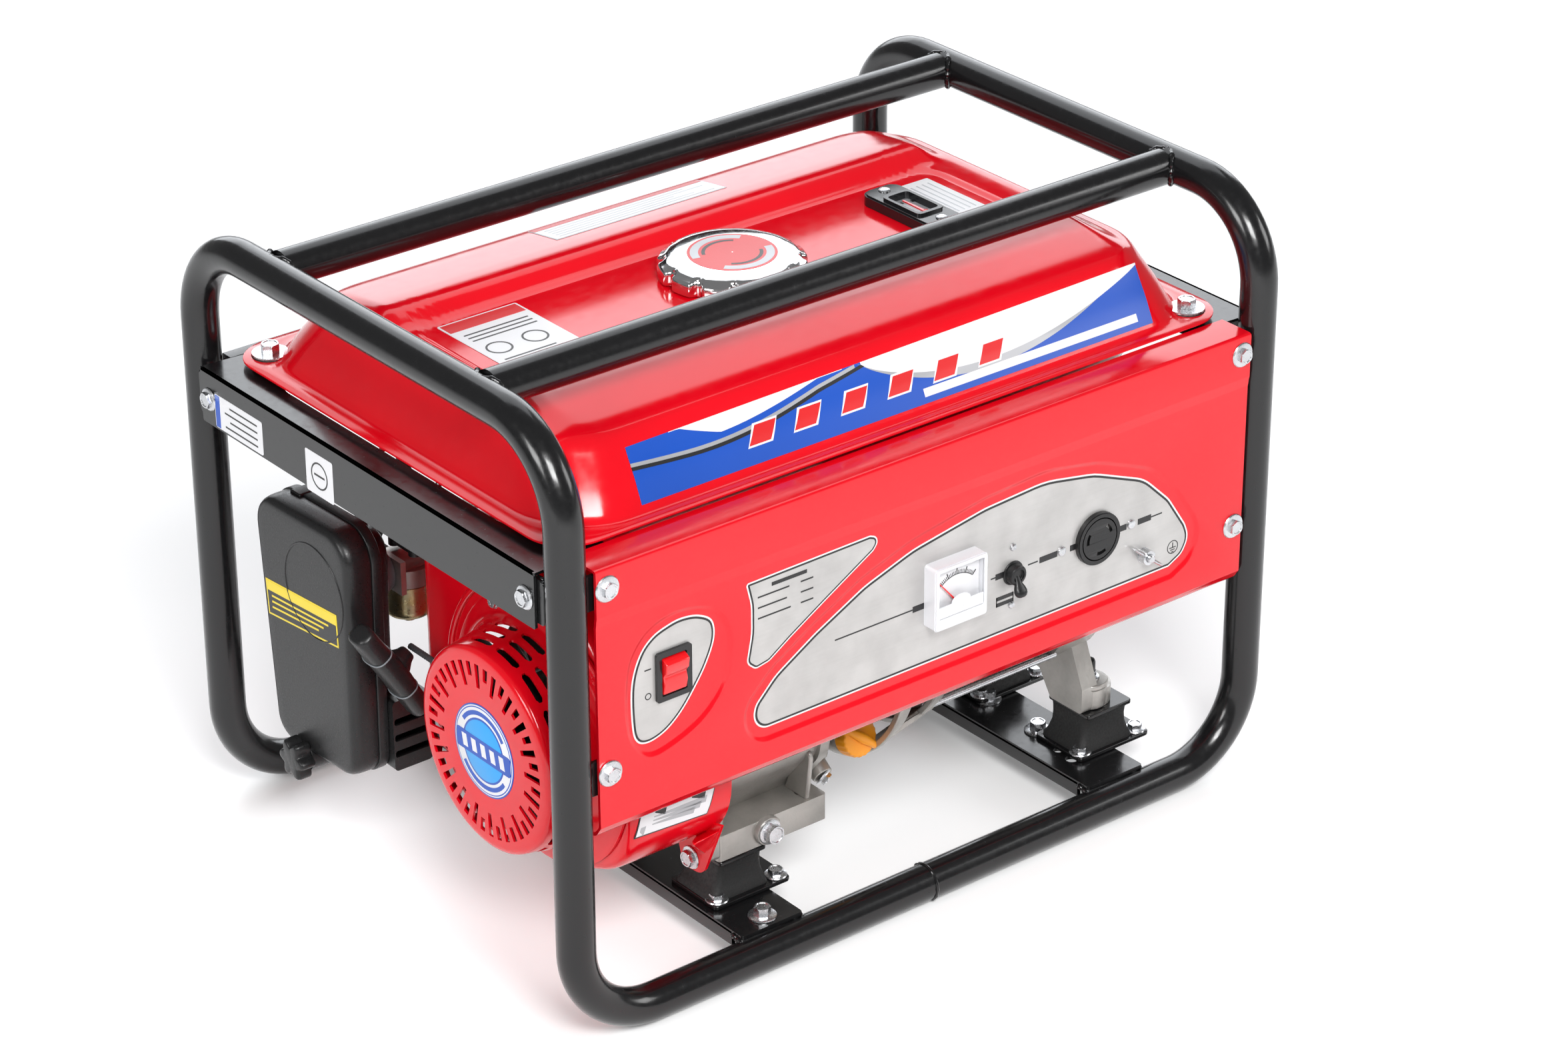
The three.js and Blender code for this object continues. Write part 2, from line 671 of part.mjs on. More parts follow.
const pan = loftZ([centredRing(TANK.panZ, 215, 56, 16), centredRing(TANK.ridgeZ + 3, 219, 60, 18)]);
const neck = rod([0, 0, TANK.panZ - 1], [0, 0, TANK.panZ + 6], CAP.neckRadius + 3, 28);
const tankEars = SIDES.flatMap((sx) => SIDES.map((sy) => [sx * TANK.boltX, sy * TANK.boltY]));
const earHoles = tankEars.map(([x, y]) => rod([x, y, TANK.seam - 5], [x, y, TANK.seam + 5], 4.6, 12));
const upperCavity = loftZ([
  centredRing(TANK.seam - 5, TANK.halfX - 3, TANK.halfY - 3, 45),
  centredRing(TANK.seam + 5, TANK.halfX - 3, TANK.halfY - 3, 45),
  centredRing(TANK.panZ - TANK.wall, TANK.shoulderX - 6, TANK.shoulderY - 5, 40),
]);
const neckBore = rod([0, 0, TANK.panZ - 20], [0, 0, TANK.panZ + 20], CAP.neckRadius, 28);
add("tank_upper", cut(join(cut(crown, pan), neck), upperCavity, neckBore, ...earHoles), FINISH.red);

// Lower pressing: a pan that hangs inside the frame, with its own flange under the seam.
const lowerOuter = join(
  loftZ([
    centredRing(TANK.floorZ, 232, 140, 44),
    centredRing(TANK.floorZ + 6, 240, 148, 46),
    centredRing(TANK.seam - 1, 246, 156, 48),
  ]),
  loftZ([centredRing(TANK.seam - 1.9, 268, 181, 30), centredRing(TANK.seam - 0.1, 268, 181, 30)]),
);
const lowerCavity = loftZ([
  centredRing(TANK.floorZ + TANK.wall, 231, 139, 43),
  centredRing(TANK.floorZ + 8, 238, 146, 44),
  centredRing(TANK.seam + 2, 244, 154, 46),
]);
const earCorners = tankEars.map(([x, y]) => rod([x, y, TANK.seam - 5], [x, y, TANK.seam + 5], 15, 16));
const outlet = rod([TAP.x, TAP.y, TANK.floorZ - 5], [TAP.x, TAP.y, TANK.floorZ + 5], 5, 12);
add("tank_lower", cut(lowerOuter, lowerCavity, outlet, ...earCorners), FINISH.red);

// Filler cap: a scalloped chrome skirt under a domed top, with a plug that drops into the neck.
const scallops = 12;
const skirt = new THREE.Shape();
for (let i = 0; i < scallops; i++) {
  const start = (2 * Math.PI * i) / scallops;
  const step = (2 * Math.PI) / scallops;
  const at = (radius, angle) => [radius * Math.cos(angle), radius * Math.sin(angle)];
  const rim = CAP.radius;
  const dip = CAP.radius - 2.6;
  if (i === 0) skirt.moveTo(...at(rim, start));
  skirt.lineTo(...at(rim, start + step * 0.62));
  skirt.lineTo(...at(dip, start + step * 0.72));
  skirt.lineTo(...at(dip, start + step * 0.9));
  skirt.lineTo(...at(rim, start + step));
}
const capDome = [
  [0, CAP.top],
  [36, CAP.top - 0.4],
  [43, CAP.top - 2.2],
  [46, CAP.top - 4.5],
  [46, CAP.top - 6],
  [0, CAP.top - 6],
];
add(
  "fuel_cap",
  join(
    cut(
      join(prism(skirt, "z", TANK.panZ + 1, CAP.top - 4.4), turnedZ(capDome, 0, 0, 36)),
      rod([0, 0, TANK.panZ - 1], [0, 0, TANK.panZ + 7], CAP.neckRadius + 5, 28),
    ),
    rod([0, 0, TANK.panZ - 8], [0, 0, TANK.panZ + 9], CAP.neckRadius - 1.2, 28),
  ),
  FINISH.chrome,
);

// Fuel gauge: a long case on the pan with a well for the pointer.
const gaugeEdge = [
  [GAUGE.x - GAUGE.halfX, -GAUGE.halfY],
  [GAUGE.x + GAUGE.halfX, -GAUGE.halfY],
  [GAUGE.x + GAUGE.halfX, GAUGE.halfY],
  [GAUGE.x - GAUGE.halfX, GAUGE.halfY],
];
const gaugeWell = [
  [GAUGE.x - 11, -21],
  [GAUGE.x + 11, -21],
  [GAUGE.x + 11, 21],
  [GAUGE.x - 11, 21],
];
add(
  "fuel_gauge",
  cut(
    prism(outline(gaugeEdge, 10), "z", TANK.panZ + GAP, GAUGE.top, 4),
    prism(outline(gaugeWell, 4), "z", GAUGE.top - 5.5, GAUGE.top + 1),
  ),
  FINISH.blackPlastic,
);
add(
  "fuel_gauge_pointer",
  join(
    rod([GAUGE.x, -14, GAUGE.top - 5], [GAUGE.x, -14, GAUGE.top - 1.6], 2.4, 12),
    block(GAUGE.x - 1, GAUGE.x + 1, -14, 12, GAUGE.top - 3.4, GAUGE.top - 2.2),
  ),
  FINISH.rocker,
);

// ---------------------------------------------------------------- engine

// Places a piece made round +Z, with z measured from the crank centre, on the leaning cylinder axis.
function onCylinder(geometry) {
  return geometry.rotateX(CYLINDER_TILT - Math.PI / 2).translate(CYLINDER_X, CRANK.y, CRANK.z);
}
function finStack(from, pitch, count, halfX, halfY) {
  return Array.from({ length: count }, (_, i) => {
    const z = from + i * pitch;
    return block(-halfX, halfX, -halfY, halfY, z, z + 2.6);
  });
}

const caseSide = outline(
  [
    [-148, 79],
    [-163, 120, 20],
    [-166, 190, 40],
    [-120, 244, 40],
    [-40, 244, 40],
    [4, 190, 30],
    [4, 79],
  ],
  4,
);
const crankBore = rod([-300, CRANK.y, CRANK.z], [300, CRANK.y, CRANK.z], 13.2, 20);
const crankChamber = rod([-147, CRANK.y, CRANK.z], [-103, CRANK.y, CRANK.z], 41, 20);
add(
  "engine_block",
  cut(
    join(
      prism(caseSide, "x", SHROUD.backX + 0.5, ENGINE.coverX - GAP, 4),
      block(-139, ENGINE.coverX - GAP, -160, 14, FOOT_Z, FOOT_Z + 19),
      rod([ENGINE.flywheelSideX, CRANK.y, CRANK.z], [SHROUD.backX + 1, CRANK.y, CRANK.z], 46, 24),
      onCylinder(join(rod([0, 0, 50], [0, 0, HEAD.from - GAP], 41, 20), ...finStack(84, 9.5, 6, 52, 46))),
      rod([GOVERNOR.x, GOVERNOR.y, 236], [GOVERNOR.x, GOVERNOR.y, GOVERNOR.z - GAP], 6, 12),
    ),
    crankBore,
    crankChamber,
  ),
  FINISH.aluminium,
);

// The side cover closes the crankcase and carries the oil filler neck.
const fillerPoint = (along) => [
  FILLER.x,
  FILLER.y - along * Math.cos(FILLER.tilt),
  FILLER.z + along * Math.sin(FILLER.tilt),
];
const coverSide = outline([
  [-112, 72, 12],
  [-122, 118, 14],
  [-166, 150, 24],
  [-166, 200, 40],
  [-120, 244, 40],
  [-60, 244, 40],
  [-10, 200, 40],
  [-10, 110, 30],
  [-34, 72, 14],
]);
add(
  "crankcase_cover",
  cut(
    join(
      prism(coverSide, "x", ENGINE.coverX, ENGINE.bracketX - GAP, 4),
      rod(fillerPoint(-12), fillerPoint(FILLER.length), 13.5, 20),
    ),
    rod(fillerPoint(-10), fillerPoint(FILLER.length + 5), 9, 16),
    crankBore,
  ),
  FINISH.aluminium,
);
const gripRidge = new THREE.BoxGeometry(7, 30, 8).rotateZ(THREE.MathUtils.degToRad(50));
gripRidge.translate(0, 0, FILLER.length + 13).rotateX(Math.PI / 2 - FILLER.tilt);
add(
  "dipstick",
  join(
    rod(fillerPoint(FILLER.length + GAP), fillerPoint(FILLER.length + 11), 14, 20),
    rod(fillerPoint(FILLER.length - 9), fillerPoint(FILLER.length + 1), 8.4, 16),
    rod(fillerPoint(-6), fillerPoint(FILLER.length), 2, 8),
    gripRidge.translate(FILLER.x, FILLER.y, FILLER.z),
  ),
  FINISH.yellow,
);

// Head: a finned block with an intake port facing -X and an exhaust port facing +X.
add(
  "cylinder_head",
  join(
    onCylinder(
      join(
        block(-46, 46, -38, 38, HEAD.from, HEAD.from + 6),
        block(-34, 34, -30, 30, HEAD.from + 1, HEAD.to - 1),
        ...finStack(HEAD.from + 10, 7, 3, 50, 42),
        block(-40, 40, -34, 34, HEAD.to - 6, HEAD.to),
      ),
    ),
    rod([-203.4, PORT.y, PORT.z], [CYLINDER_X - 20, PORT.y, PORT.z], 13, 18),
    rod([CYLINDER_X + 20, PORT.exhaustY, PORT.z], [-66, PORT.exhaustY, PORT.z], 13, 18),
  ),
  FINISH.aluminium,
);
add(
  "rocker_cover",
  onCylinder(
    join(
      loftZ([
        { z: HEAD.to + GAP, x0: -40, x1: 40, y0: -34, y1: 34, radius: 12 },
        { z: HEAD.to + 5, x0: -40, x1: 40, y0: -34, y1: 34, radius: 12 },
        { z: HEAD.to + 6, x0: -36, x1: 36, y0: -30, y1: 30, radius: 12 },
        { z: HEAD.to + 28, x0: -32, x1: 32, y0: -26, y1: 26, radius: 14 },
      ]),
      rod([18, -10, HEAD.to + 20], [18, -10, HEAD.to + 40], 5, 12),
    ),
  ),
  FINISH.aluminium,
);

// Spark plug on the under side of the head, and its lead to the coil inside the fan shroud.
const plugAt = (out) => {
  const along = (HEAD.from + HEAD.to) / 2;
  const down = 42 + out;
  return [
    CYLINDER_X - 22,
    CRANK.y + along * Math.cos(CYLINDER_TILT) + down * Math.sin(CYLINDER_TILT),
    CRANK.z + along * Math.sin(CYLINDER_TILT) - down * Math.cos(CYLINDER_TILT),
  ];
};
add(
  "spark_plug",
  join(
    rod(plugAt(0.5), plugAt(9), 9, 6),
    rod(plugAt(8), plugAt(26), 5, 12),
    rod(plugAt(25), plugAt(30), 2.5, 8),
  ),
  FINISH.zinc,
);
const [capX, capY, capZ] = plugAt(35);
const leadRoute = [
  [capX, capY, capZ],
  [capX - 36, capY, capZ],
  [capX - 36, 20, 150],
];
add(
  "plug_lead",
  cut(
    join(rod(plugAt(11), plugAt(42), 8, 14), pipe(leadRoute, 3.5, 14, 8, 4)),
    rod(plugAt(5), plugAt(30.5), 5.5, 12),
  ),
  FINISH.rubber,
);

// Crankshaft through the crankcase, with one throw between two webs.
add(
  "crankshaft",
  join(
    rod([-226, CRANK.y, CRANK.z], [-131, CRANK.y, CRANK.z], 12.5, 20),
    rod([-119, CRANK.y, CRANK.z], [49.7, CRANK.y, CRANK.z], 12.5, 20),
    block(-143, -131, CRANK.y - 18, CRANK.y + 18, CRANK.z - 32, CRANK.z + 34),
    block(-119, -107, CRANK.y - 18, CRANK.y + 18, CRANK.z - 32, CRANK.z + 34),
    rod([-132, CRANK.y, CRANK.z + 20], [-118, CRANK.y, CRANK.z + 20], 12, 16),
  ),
  FINISH.castIron,
);

// Flywheel with fan blades on its face and the cup that the recoil starter drives.
const blades = Array.from({ length: 12 }, (_, i) => {
  const blade = block(-225, -211, -1.5, 1.5, 40, 71);
  return blade.rotateX((2 * Math.PI * i) / 12).translate(0, CRANK.y, CRANK.z);
});
const flywheelProfile = [
  [12.9, -212],
  [20, -212],
  [20, -226],
  [33, -226],
  [33, -243],
  [35, -243],
  [35, -212],
  [74, -212],
  [74, -194],
  [12.9, -194],
  [12.9, -212],
];
add("flywheel", join(turnedX(flywheelProfile, CRANK.y, CRANK.z, 28), ...blades), FINISH.castIron);

// Fan shroud: a deep red pressing round the flywheel, reaching over the cylinder's fins.
const shroudCorners = [
  [36, 118, 16],
  [36, 262, 12],
  [-30, 273, 50],
  [-140, 262, 60],
  [-190, 190, 60],
  [-186, 100, 55],
  [-110, 68, 60],
  [-20, 82, 50],
];
const shroudMiddle = [-80, 168];
const inset = (corners, by) =>
  corners.map(([y, z, bend]) => {
    const toMiddle = new THREE.Vector2(shroudMiddle[0] - y, shroudMiddle[1] - z).normalize();
    return [y + toMiddle.x * by, z + toMiddle.y * by, bend - by * 0.5];
  });
const shroudEar = outline([
  [-173, 106],
  [-169, 104],
  [-169, 71],
  [-148, 71],
  [-148, 68],
  [-173, 68],
]);
add(
  "fan_shroud",
  cut(
    join(
      prism(outline(shroudCorners), "x", SHROUD.frontX, SHROUD.backX, 4),
      prism(shroudEar, "x", -177, -153),
    ),
    prism(outline(inset(shroudCorners, 2.4)), "x", SHROUD.frontX + SHROUD.wall, SHROUD.backX + 5, 4),
    rod([SHROUD.frontX - 5, CRANK.y, CRANK.z], [SHROUD.frontX + 5, CRANK.y, CRANK.z], 79, 36),
    block(-190, SHROUD.backX + 5, -14, 60, 96, 290),
  ),
  FINISH.red,
);

// Recoil starter housing: a drum with two rings of radial slots in its face and rows of slots round
// its side, flared out to the flange that bolts to the shroud.
const recoilProfile = [
  [0, RECOIL.faceX],
  [RECOIL.faceRadius - 4, RECOIL.faceX],
  [RECOIL.faceRadius, RECOIL.faceX + 1.4],
  [RECOIL.faceRadius + 2, RECOIL.faceX + 5],
  [RECOIL.drumRadius, RECOIL.backX - 7],
  [RECOIL.drumRadius + 5, RECOIL.backX - 3],
  [RECOIL.flangeRadius, RECOIL.backX - 2.4],
  [RECOIL.flangeRadius, RECOIL.backX],
  [RECOIL.drumRadius + 1, RECOIL.backX],
  [RECOIL.drumRadius - 2.5, RECOIL.backX - 7],
  [RECOIL.faceRadius - 1, RECOIL.faceX + 4],
  [RECOIL.faceRadius - 5, RECOIL.faceX + 2],
  [9, RECOIL.faceX + 2],
  [8, RECOIL.faceX + 28],
  [0, RECOIL.faceX + 28],
];
const faceSlots = Array.from({ length: 40 }, (_, i) => {
  const [near, far] = i % 2 ? [51, 60] : [44, 60];
  const slot = block(RECOIL.faceX - 2, RECOIL.faceX + 3, -1.4, 1.4, near, far);
  return slot.rotateX((2 * Math.PI * i) / 40).translate(0, CRANK.y, CRANK.z);
});
const sideSlots = [-62, -27, 18, 40, 63].flatMap((degrees) =>
  [0, 1, 2].map((row) => {
    const x = RECOIL.faceX + 9 + row * 9.5;
    const slot = block(x, x + 5, -10, 10, RECOIL.faceRadius - 8, RECOIL.drumRadius + 12);
    return slot.rotateX(THREE.MathUtils.degToRad(degrees)).translate(0, CRANK.y, CRANK.z);
  }),
);
const ropeHole = rod([ROPE.x, ROPE.fromY - 2, ROPE.z], [ROPE.x, ROPE.fromY + 24, ROPE.z], 5, 14);
add(
  "recoil_housing",
  cut(turnedX(recoilProfile, CRANK.y, CRANK.z, 40), ...faceSlots, ...sideSlots, ropeHole),
  FINISH.red,
);

// Rope pulley on the housing's centre post, the pull cord's free stretch, and the T grip.
const pulleyProfile = [
  [9.4, -264],
  [60, -264],
  [60, -261],
  [54, -260],
  [54, -255],
  [60, -254],
  [60, -251],
  [9.4, -251],
  [9.4, -264],
];
add("recoil_pulley", turnedX(pulleyProfile, CRANK.y, CRANK.z, 24), FINISH.blackPlastic);
const gripCorners = [
  [-GRIP.half, -8],
  [GRIP.half, -8],
  [GRIP.half, 7],
  [14, 9],
  [-14, 9],
  [-GRIP.half, 7],
];
const gripBar = prism(outline(gripCorners, 4), "y", -12, 12);
const gripNeck = rod([0, 0, 4], [0, 0, 17], 9, 16, 5.5);
add(
  "starter_grip",
  join(gripBar, gripNeck).rotateY(Math.PI / 2 - GRIP.lean).translate(GRIP.x, GRIP.y, GRIP.z),
  FINISH.blackPlastic,
);
add(
  "starter_rope",
  rod([ROPE.x, ROPE.fromY, ROPE.z], [ROPE.x, ROPE.toY, ROPE.z], ROPE.radius, 10),
  FINISH.foam,
);

// ---------------------------------------------------------------- alternator

// Front bracket: a tapering bell between the crankcase cover and the stator, with windows that let
// the cooling air out.
const bellWall = [
  [93, ENGINE.bracketX],
  [81.5, STATOR.fromX - GAP],
  [72, STATOR.fromX - GAP],
  [84, ENGINE.bracketX],
  [93, ENGINE.bracketX],
];
const bellWindows = [60, 120, 240, 300].map((degrees) => {
  const window = block(8, 32, -24, 24, 60, 110);
  return window.rotateX(THREE.MathUtils.degToRad(degrees)).translate(0, CRANK.y, CRANK.z);
});
const fillerNotch = rod(fillerPoint(-20), fillerPoint(60), 16.5, 16);
add(
  "alternator_front_bracket",
  cut(turnedX(bellWall, CRANK.y, CRANK.z, 30), fillerNotch, ...bellWindows),
  FINISH.aluminium,
);

// Rotor on its shaft, with the cooling fan on the engine side running over the crankshaft's end.
const rotorProfile = [
  [12.9, 8],
  [20, 8],
  [20, 24],
  [64, 24],
  [64, 27],
  [20, 27],
  [20, 56],
  [45.5, 56],
  [45.5, 144],
  [20, 144],
  [20, 150],
  [10, 150],
  [10, 184],
  [0, 184],
  [0, 50.2],
  [12.9, 50.2],
  [12.9, 8],
];
const fanBlades = Array.from({ length: 10 }, (_, i) => {
  const blade = block(9, 25, -1.3, 1.3, 30, 62);
  return blade.rotateX((2 * Math.PI * i) / 10).translate(0, CRANK.y, CRANK.z);
});
const poleSlots = [45, 225].map((degrees) => {
  const slot = block(56, 144, -5, 5, 30, 60);
  return slot.rotateX(THREE.MathUtils.degToRad(degrees)).translate(0, CRANK.y, CRANK.z);
});
add(
  "alternator_rotor",
  cut(join(turnedX(rotorProfile, CRANK.y, CRANK.z, 24), ...fanBlades), ...poleSlots),
  FINISH.castIron,
);

// Stator: a laminated ring whose winding heads stand out at both ends.
const statorProfile = [
  [STATOR.bore, STATOR.fromX],
  [52, STATOR.fromX],
  [52, STATOR.fromX - 10],
  [68, STATOR.fromX - 10],
  [68, STATOR.fromX],
  [STATOR.radius, STATOR.fromX],
  [STATOR.radius, STATOR.toX],
  [68, STATOR.toX],
  [68, STATOR.toX + 10],
  [52, STATOR.toX + 10],
  [52, STATOR.toX],
  [STATOR.bore, STATOR.toX],
  [STATOR.bore, STATOR.fromX],
];
add("alternator_stator", turnedX(statorProfile, CRANK.y, CRANK.z, 30), FINISH.zinc);

// End bracket: a bell with the rotor's bearing in the middle of its end wall and two feet.
const endBell = [
  [10.5, END_BRACKET.toX - 16],
  [24, END_BRACKET.toX - 16],
  [24, END_BRACKET.toX - 6],
  [73, END_BRACKET.toX - 6],
  [73, END_BRACKET.fromX],
  [80, END_BRACKET.fromX],
  [80, END_BRACKET.toX],
  [10.5, END_BRACKET.toX],
  [10.5, END_BRACKET.toX - 16],
];
const endLegs = outline(
  [
    [-164, FOOT_Z],
    [-132, FOOT_Z],
    [-120, 80],
    [-72, 80],
    [-60, FOOT_Z],
    [-28, FOOT_Z],
    [-28, 80],
    [-46, 124],
    [-146, 124],
    [-164, 80],
  ],
  3,
);
const endWindows = [45, 135, 225, 315].map((degrees) => {
  const window = block(END_BRACKET.toX - 8, END_BRACKET.toX + 2, -14, 14, 32, 64);
  return window.rotateX(THREE.MathUtils.degToRad(degrees)).translate(0, CRANK.y, CRANK.z);
});
const shaftAxis = (fromX, toX, radius, sides) =>
  rod([fromX, CRANK.y, CRANK.z], [toX, CRANK.y, CRANK.z], radius, sides);
const endFeet = END_BRACKET.footY.map((y) => {
  return rod([END_BRACKET.footX, y, FOOT_Z], [END_BRACKET.footX, y, 74], 16, 18);
});
add(
  "alternator_end_bracket",
  cut(
    join(
      turnedX(endBell, CRANK.y, CRANK.z, 30),
      cut(prism(endLegs, "x", 172, END_BRACKET.toX), shaftAxis(170, 190, 78, 30)),
      ...endFeet,
    ),
    ...endWindows,
  ),
  FINISH.aluminium,
);

// End cover: a shallow dished cap with air slots.
const coverProfile = [
  [0, 236],
  [56, 236],
  [68, 232],
  [72, 224],
  [74, END_BRACKET.toX + GAP],
  [71, END_BRACKET.toX + GAP],
  [69, 223],
  [65, 229],
  [55, 233],
  [0, 233],
];
const coverSlots = [-2, -1, 0, 1, 2].map((row) => {
  const z = CRANK.z + row * 14;
  const half = 38 - Math.abs(row) * 6;
  return block(230, 240, CRANK.y - half, CRANK.y + half, z - 2.5, z + 2.5);
});
add(
  "alternator_cover",
  cut(turnedX(coverProfile, CRANK.y, CRANK.z, 30), ...coverSlots),
  FINISH.blackPlastic,
);

// ---------------------------------------------------------------- air cleaner and carburettor

const cleanerEdge = (by) =>
  outline([
    [33 + by, 266 - by, 24 - by],
    [148 - by, 262 - by, 24 - by],
    [134 - by, 80 + by, 20 - by],
    [36 + by, 84 + by, 18 - by],
  ]);
const knobAxis = (fromX, toX, radius, sides = 20) =>
  rod([fromX, KNOB.y, KNOB.z], [toX, KNOB.y, KNOB.z], radius, sides);
add(
  "air_cleaner_cover",
  cut(
    join(
      prism(cleanerEdge(3), "x", -283, -288.5, 4),
      prism(cleanerEdge(1), "x", -284, CLEANER.rimX, 4),
      knobAxis(-288.5, CLEANER.rimX, 11),
    ),
    prism(cleanerEdge(4.5), "x", -285.5, CLEANER.rimX + 1, 4),
    knobAxis(-290, -250, 4.4, 14),
  ),
  FINISH.blackPlastic,
);
const baseFront = CLEANER.rimX + GAP;
const snorkelSlots = [0, 1, 2].map((row) => block(-262, -238, 20, 34, 98 + row * 12, 103 + row * 12));
const elbowBore = rod([-270, PORT.y, PORT.z], [-235, PORT.y, PORT.z], 11, 18);
add(
  "air_cleaner_base",
  cut(
    join(
      prism(cleanerEdge(0), "x", baseFront, -262, 4),
      prism(cleanerEdge(8), "x", -263, CLEANER.backX, 4),
      block(-262, -232, 30, 72, 88, 140),
      rod([-254, PORT.y, PORT.z], [-241, PORT.y, PORT.z], 22, 20, 15),
      knobAxis(baseFront, -256, 11),
    ),
    prism(cleanerEdge(10), "x", baseFront - 1, CLEANER.backX - 2, 4),
    block(-253, -234, 32, 70, 90, 138),
    ...snorkelSlots,
    elbowBore,
    knobAxis(-275, -250, 4.4, 14),
  ),
  FINISH.blackPlastic,
);
const element = outline([[48, 250], [132, 247], [124, 104], [50, 106]], 10);
const elementCore = outline([[68, 240], [112, 238], [104, 126], [70, 128]], 8);
add(
  "air_filter_element",
  cut(prism(element, "x", -285, -254), prism(elementCore, "x", -278, -250)),
  FINISH.foam,
);
const knobLobes = Array.from({ length: 6 }, (_, i) => {
  const angle = (2 * Math.PI * i) / 6;
  const y = KNOB.y + 11 * Math.cos(angle);
  const z = KNOB.z + 11 * Math.sin(angle);
  return rod([KNOB.front, y, z], [KNOB.back, y, z], 4.2, 10);
});
add(
  "air_cleaner_knob",
  join(knobAxis(KNOB.front, KNOB.back, 11.5, 18), ...knobLobes, knobAxis(-289, -254, 3.6, 12)),
  FINISH.blackPlastic,
);

// Carburettor: a barrel along X between the elbow and the head, over its float bowl.
const barrel = (fromX, toX, radius, sides = 20) =>
  rod([fromX, PORT.y, PORT.z], [toX, PORT.y, PORT.z], radius, sides);
add(
  "carburettor",
  cut(
    join(
      barrel(-240.6, -203.7, 12.4),
      block(-240.6, -236.6, PORT.y - 21, PORT.y + 21, PORT.z - 12, PORT.z + 12),
      block(-207.7, -203.7, PORT.y - 21, PORT.y + 21, PORT.z - 12, PORT.z + 12),
      rod([CARB.x, PORT.y, CARB.bowlTop + GAP], [CARB.x, PORT.y, PORT.z], 17.5, 20),
      rod([CARB.x, PORT.y + 10, PORT.z - 5], [CARB.x, PORT.y + 32, PORT.z - 5], 2.8, 12),
    ),
    barrel(-245, -224, 9),
    barrel(-225, -200, 7.5),
  ),
  FINISH.aluminium,
);
const bowlProfile = [
  [0, CARB.bowlBottom - 5],
  [5, CARB.bowlBottom - 5],
  [5, CARB.bowlBottom],
  [13, CARB.bowlBottom],
  [17, CARB.bowlBottom + 5],
  [17, CARB.bowlTop],
  [15.5, CARB.bowlTop],
  [15.5, CARB.bowlBottom + 6],
  [12, CARB.bowlBottom + 2],
  [0, CARB.bowlBottom + 2],
];
add("carburettor_bowl", turnedZ(bowlProfile, CARB.x, PORT.y, 20), FINISH.brass);
add(
  "choke_lever",
  join(
    rod([CHOKE.x, PORT.y, CHOKE.z - 0.5], [CHOKE.x, PORT.y, CHOKE.z + 5], 4, 14),
    block(CHOKE.x - 3, CHOKE.x + 3, PORT.y - 24, PORT.y, CHOKE.z + 2, CHOKE.z + 4),
    rod([CHOKE.x, PORT.y - 24, CHOKE.z + 1], [CHOKE.x, PORT.y - 24, CHOKE.z + 8], 4.5, 14),
  ),
  FINISH.blackPlastic,
);

// Governor arm: swings about an upright stub on the crankcase and reaches over to the throttle.
const throttleEnd = [-205, 50];
add(
  "governor_arm",
  join(
    rod([GOVERNOR.x, GOVERNOR.y, GOVERNOR.z], [GOVERNOR.x, GOVERNOR.y, GOVERNOR.z + 6], 8, 16),
    rod([GOVERNOR.x, GOVERNOR.y, GOVERNOR.z + 3], [...throttleEnd, GOVERNOR.z + 3], 2.2, 10),
    rod([...throttleEnd, GOVERNOR.z + 5.2], [...throttleEnd, PORT.z + 22], 2, 10),
  ),
  FINISH.zinc,
);

// ---------------------------------------------------------------- fuel tap and hose

const tapTop = TANK.floorZ - GAP;
const leverY = TAP.y - 10;
add(
  "fuel_tap",
  join(
    rod([TAP.x, TAP.y, tapTop - 3], [TAP.x, TAP.y, tapTop], 13, 18),
    rod([TAP.x, TAP.y, tapTop - 24], [TAP.x, TAP.y, tapTop - 2], 9.5, 18),
    rod([TAP.x, TAP.y, tapTop - 40], [TAP.x, TAP.y, tapTop - 23], 2.8, 12),
    rod([TAP.x, TAP.y, tapTop - 1], [TAP.x, TAP.y, tapTop + 22], 4, 12),
  ),
  FINISH.brass,
);
add(
  "fuel_tap_lever",
  join(
    rod([TAP.x, leverY, tapTop - 13], [TAP.x, leverY - 8, tapTop - 13], 6.5, 16),
    block(TAP.x - 28, TAP.x, leverY - 7, leverY - 4, tapTop - 17, tapTop - 9),
  ),
  FINISH.rocker,
);
const hoseStart = tapTop - 26;
const hoseRoute = [
  [TAP.x, TAP.y, hoseStart],
  [TAP.x, TAP.y, 236],
  [CARB.x, TAP.y + 14, PORT.z - 5],
  [CARB.x, PORT.y + 19, PORT.z - 5],
];
add(
  "fuel_hose",
  cut(
    pipe(hoseRoute, 5, 12, 10, 4),
    rod([TAP.x, TAP.y, hoseStart + 2], [TAP.x, TAP.y, hoseStart - 16], 3.2, 12),
    rod([CARB.x, PORT.y + 17, PORT.z - 5], [CARB.x, PORT.y + 34, PORT.z - 5], 3.2, 12),
  ),
  FINISH.rubber,
);

// ---------------------------------------------------------------- muffler

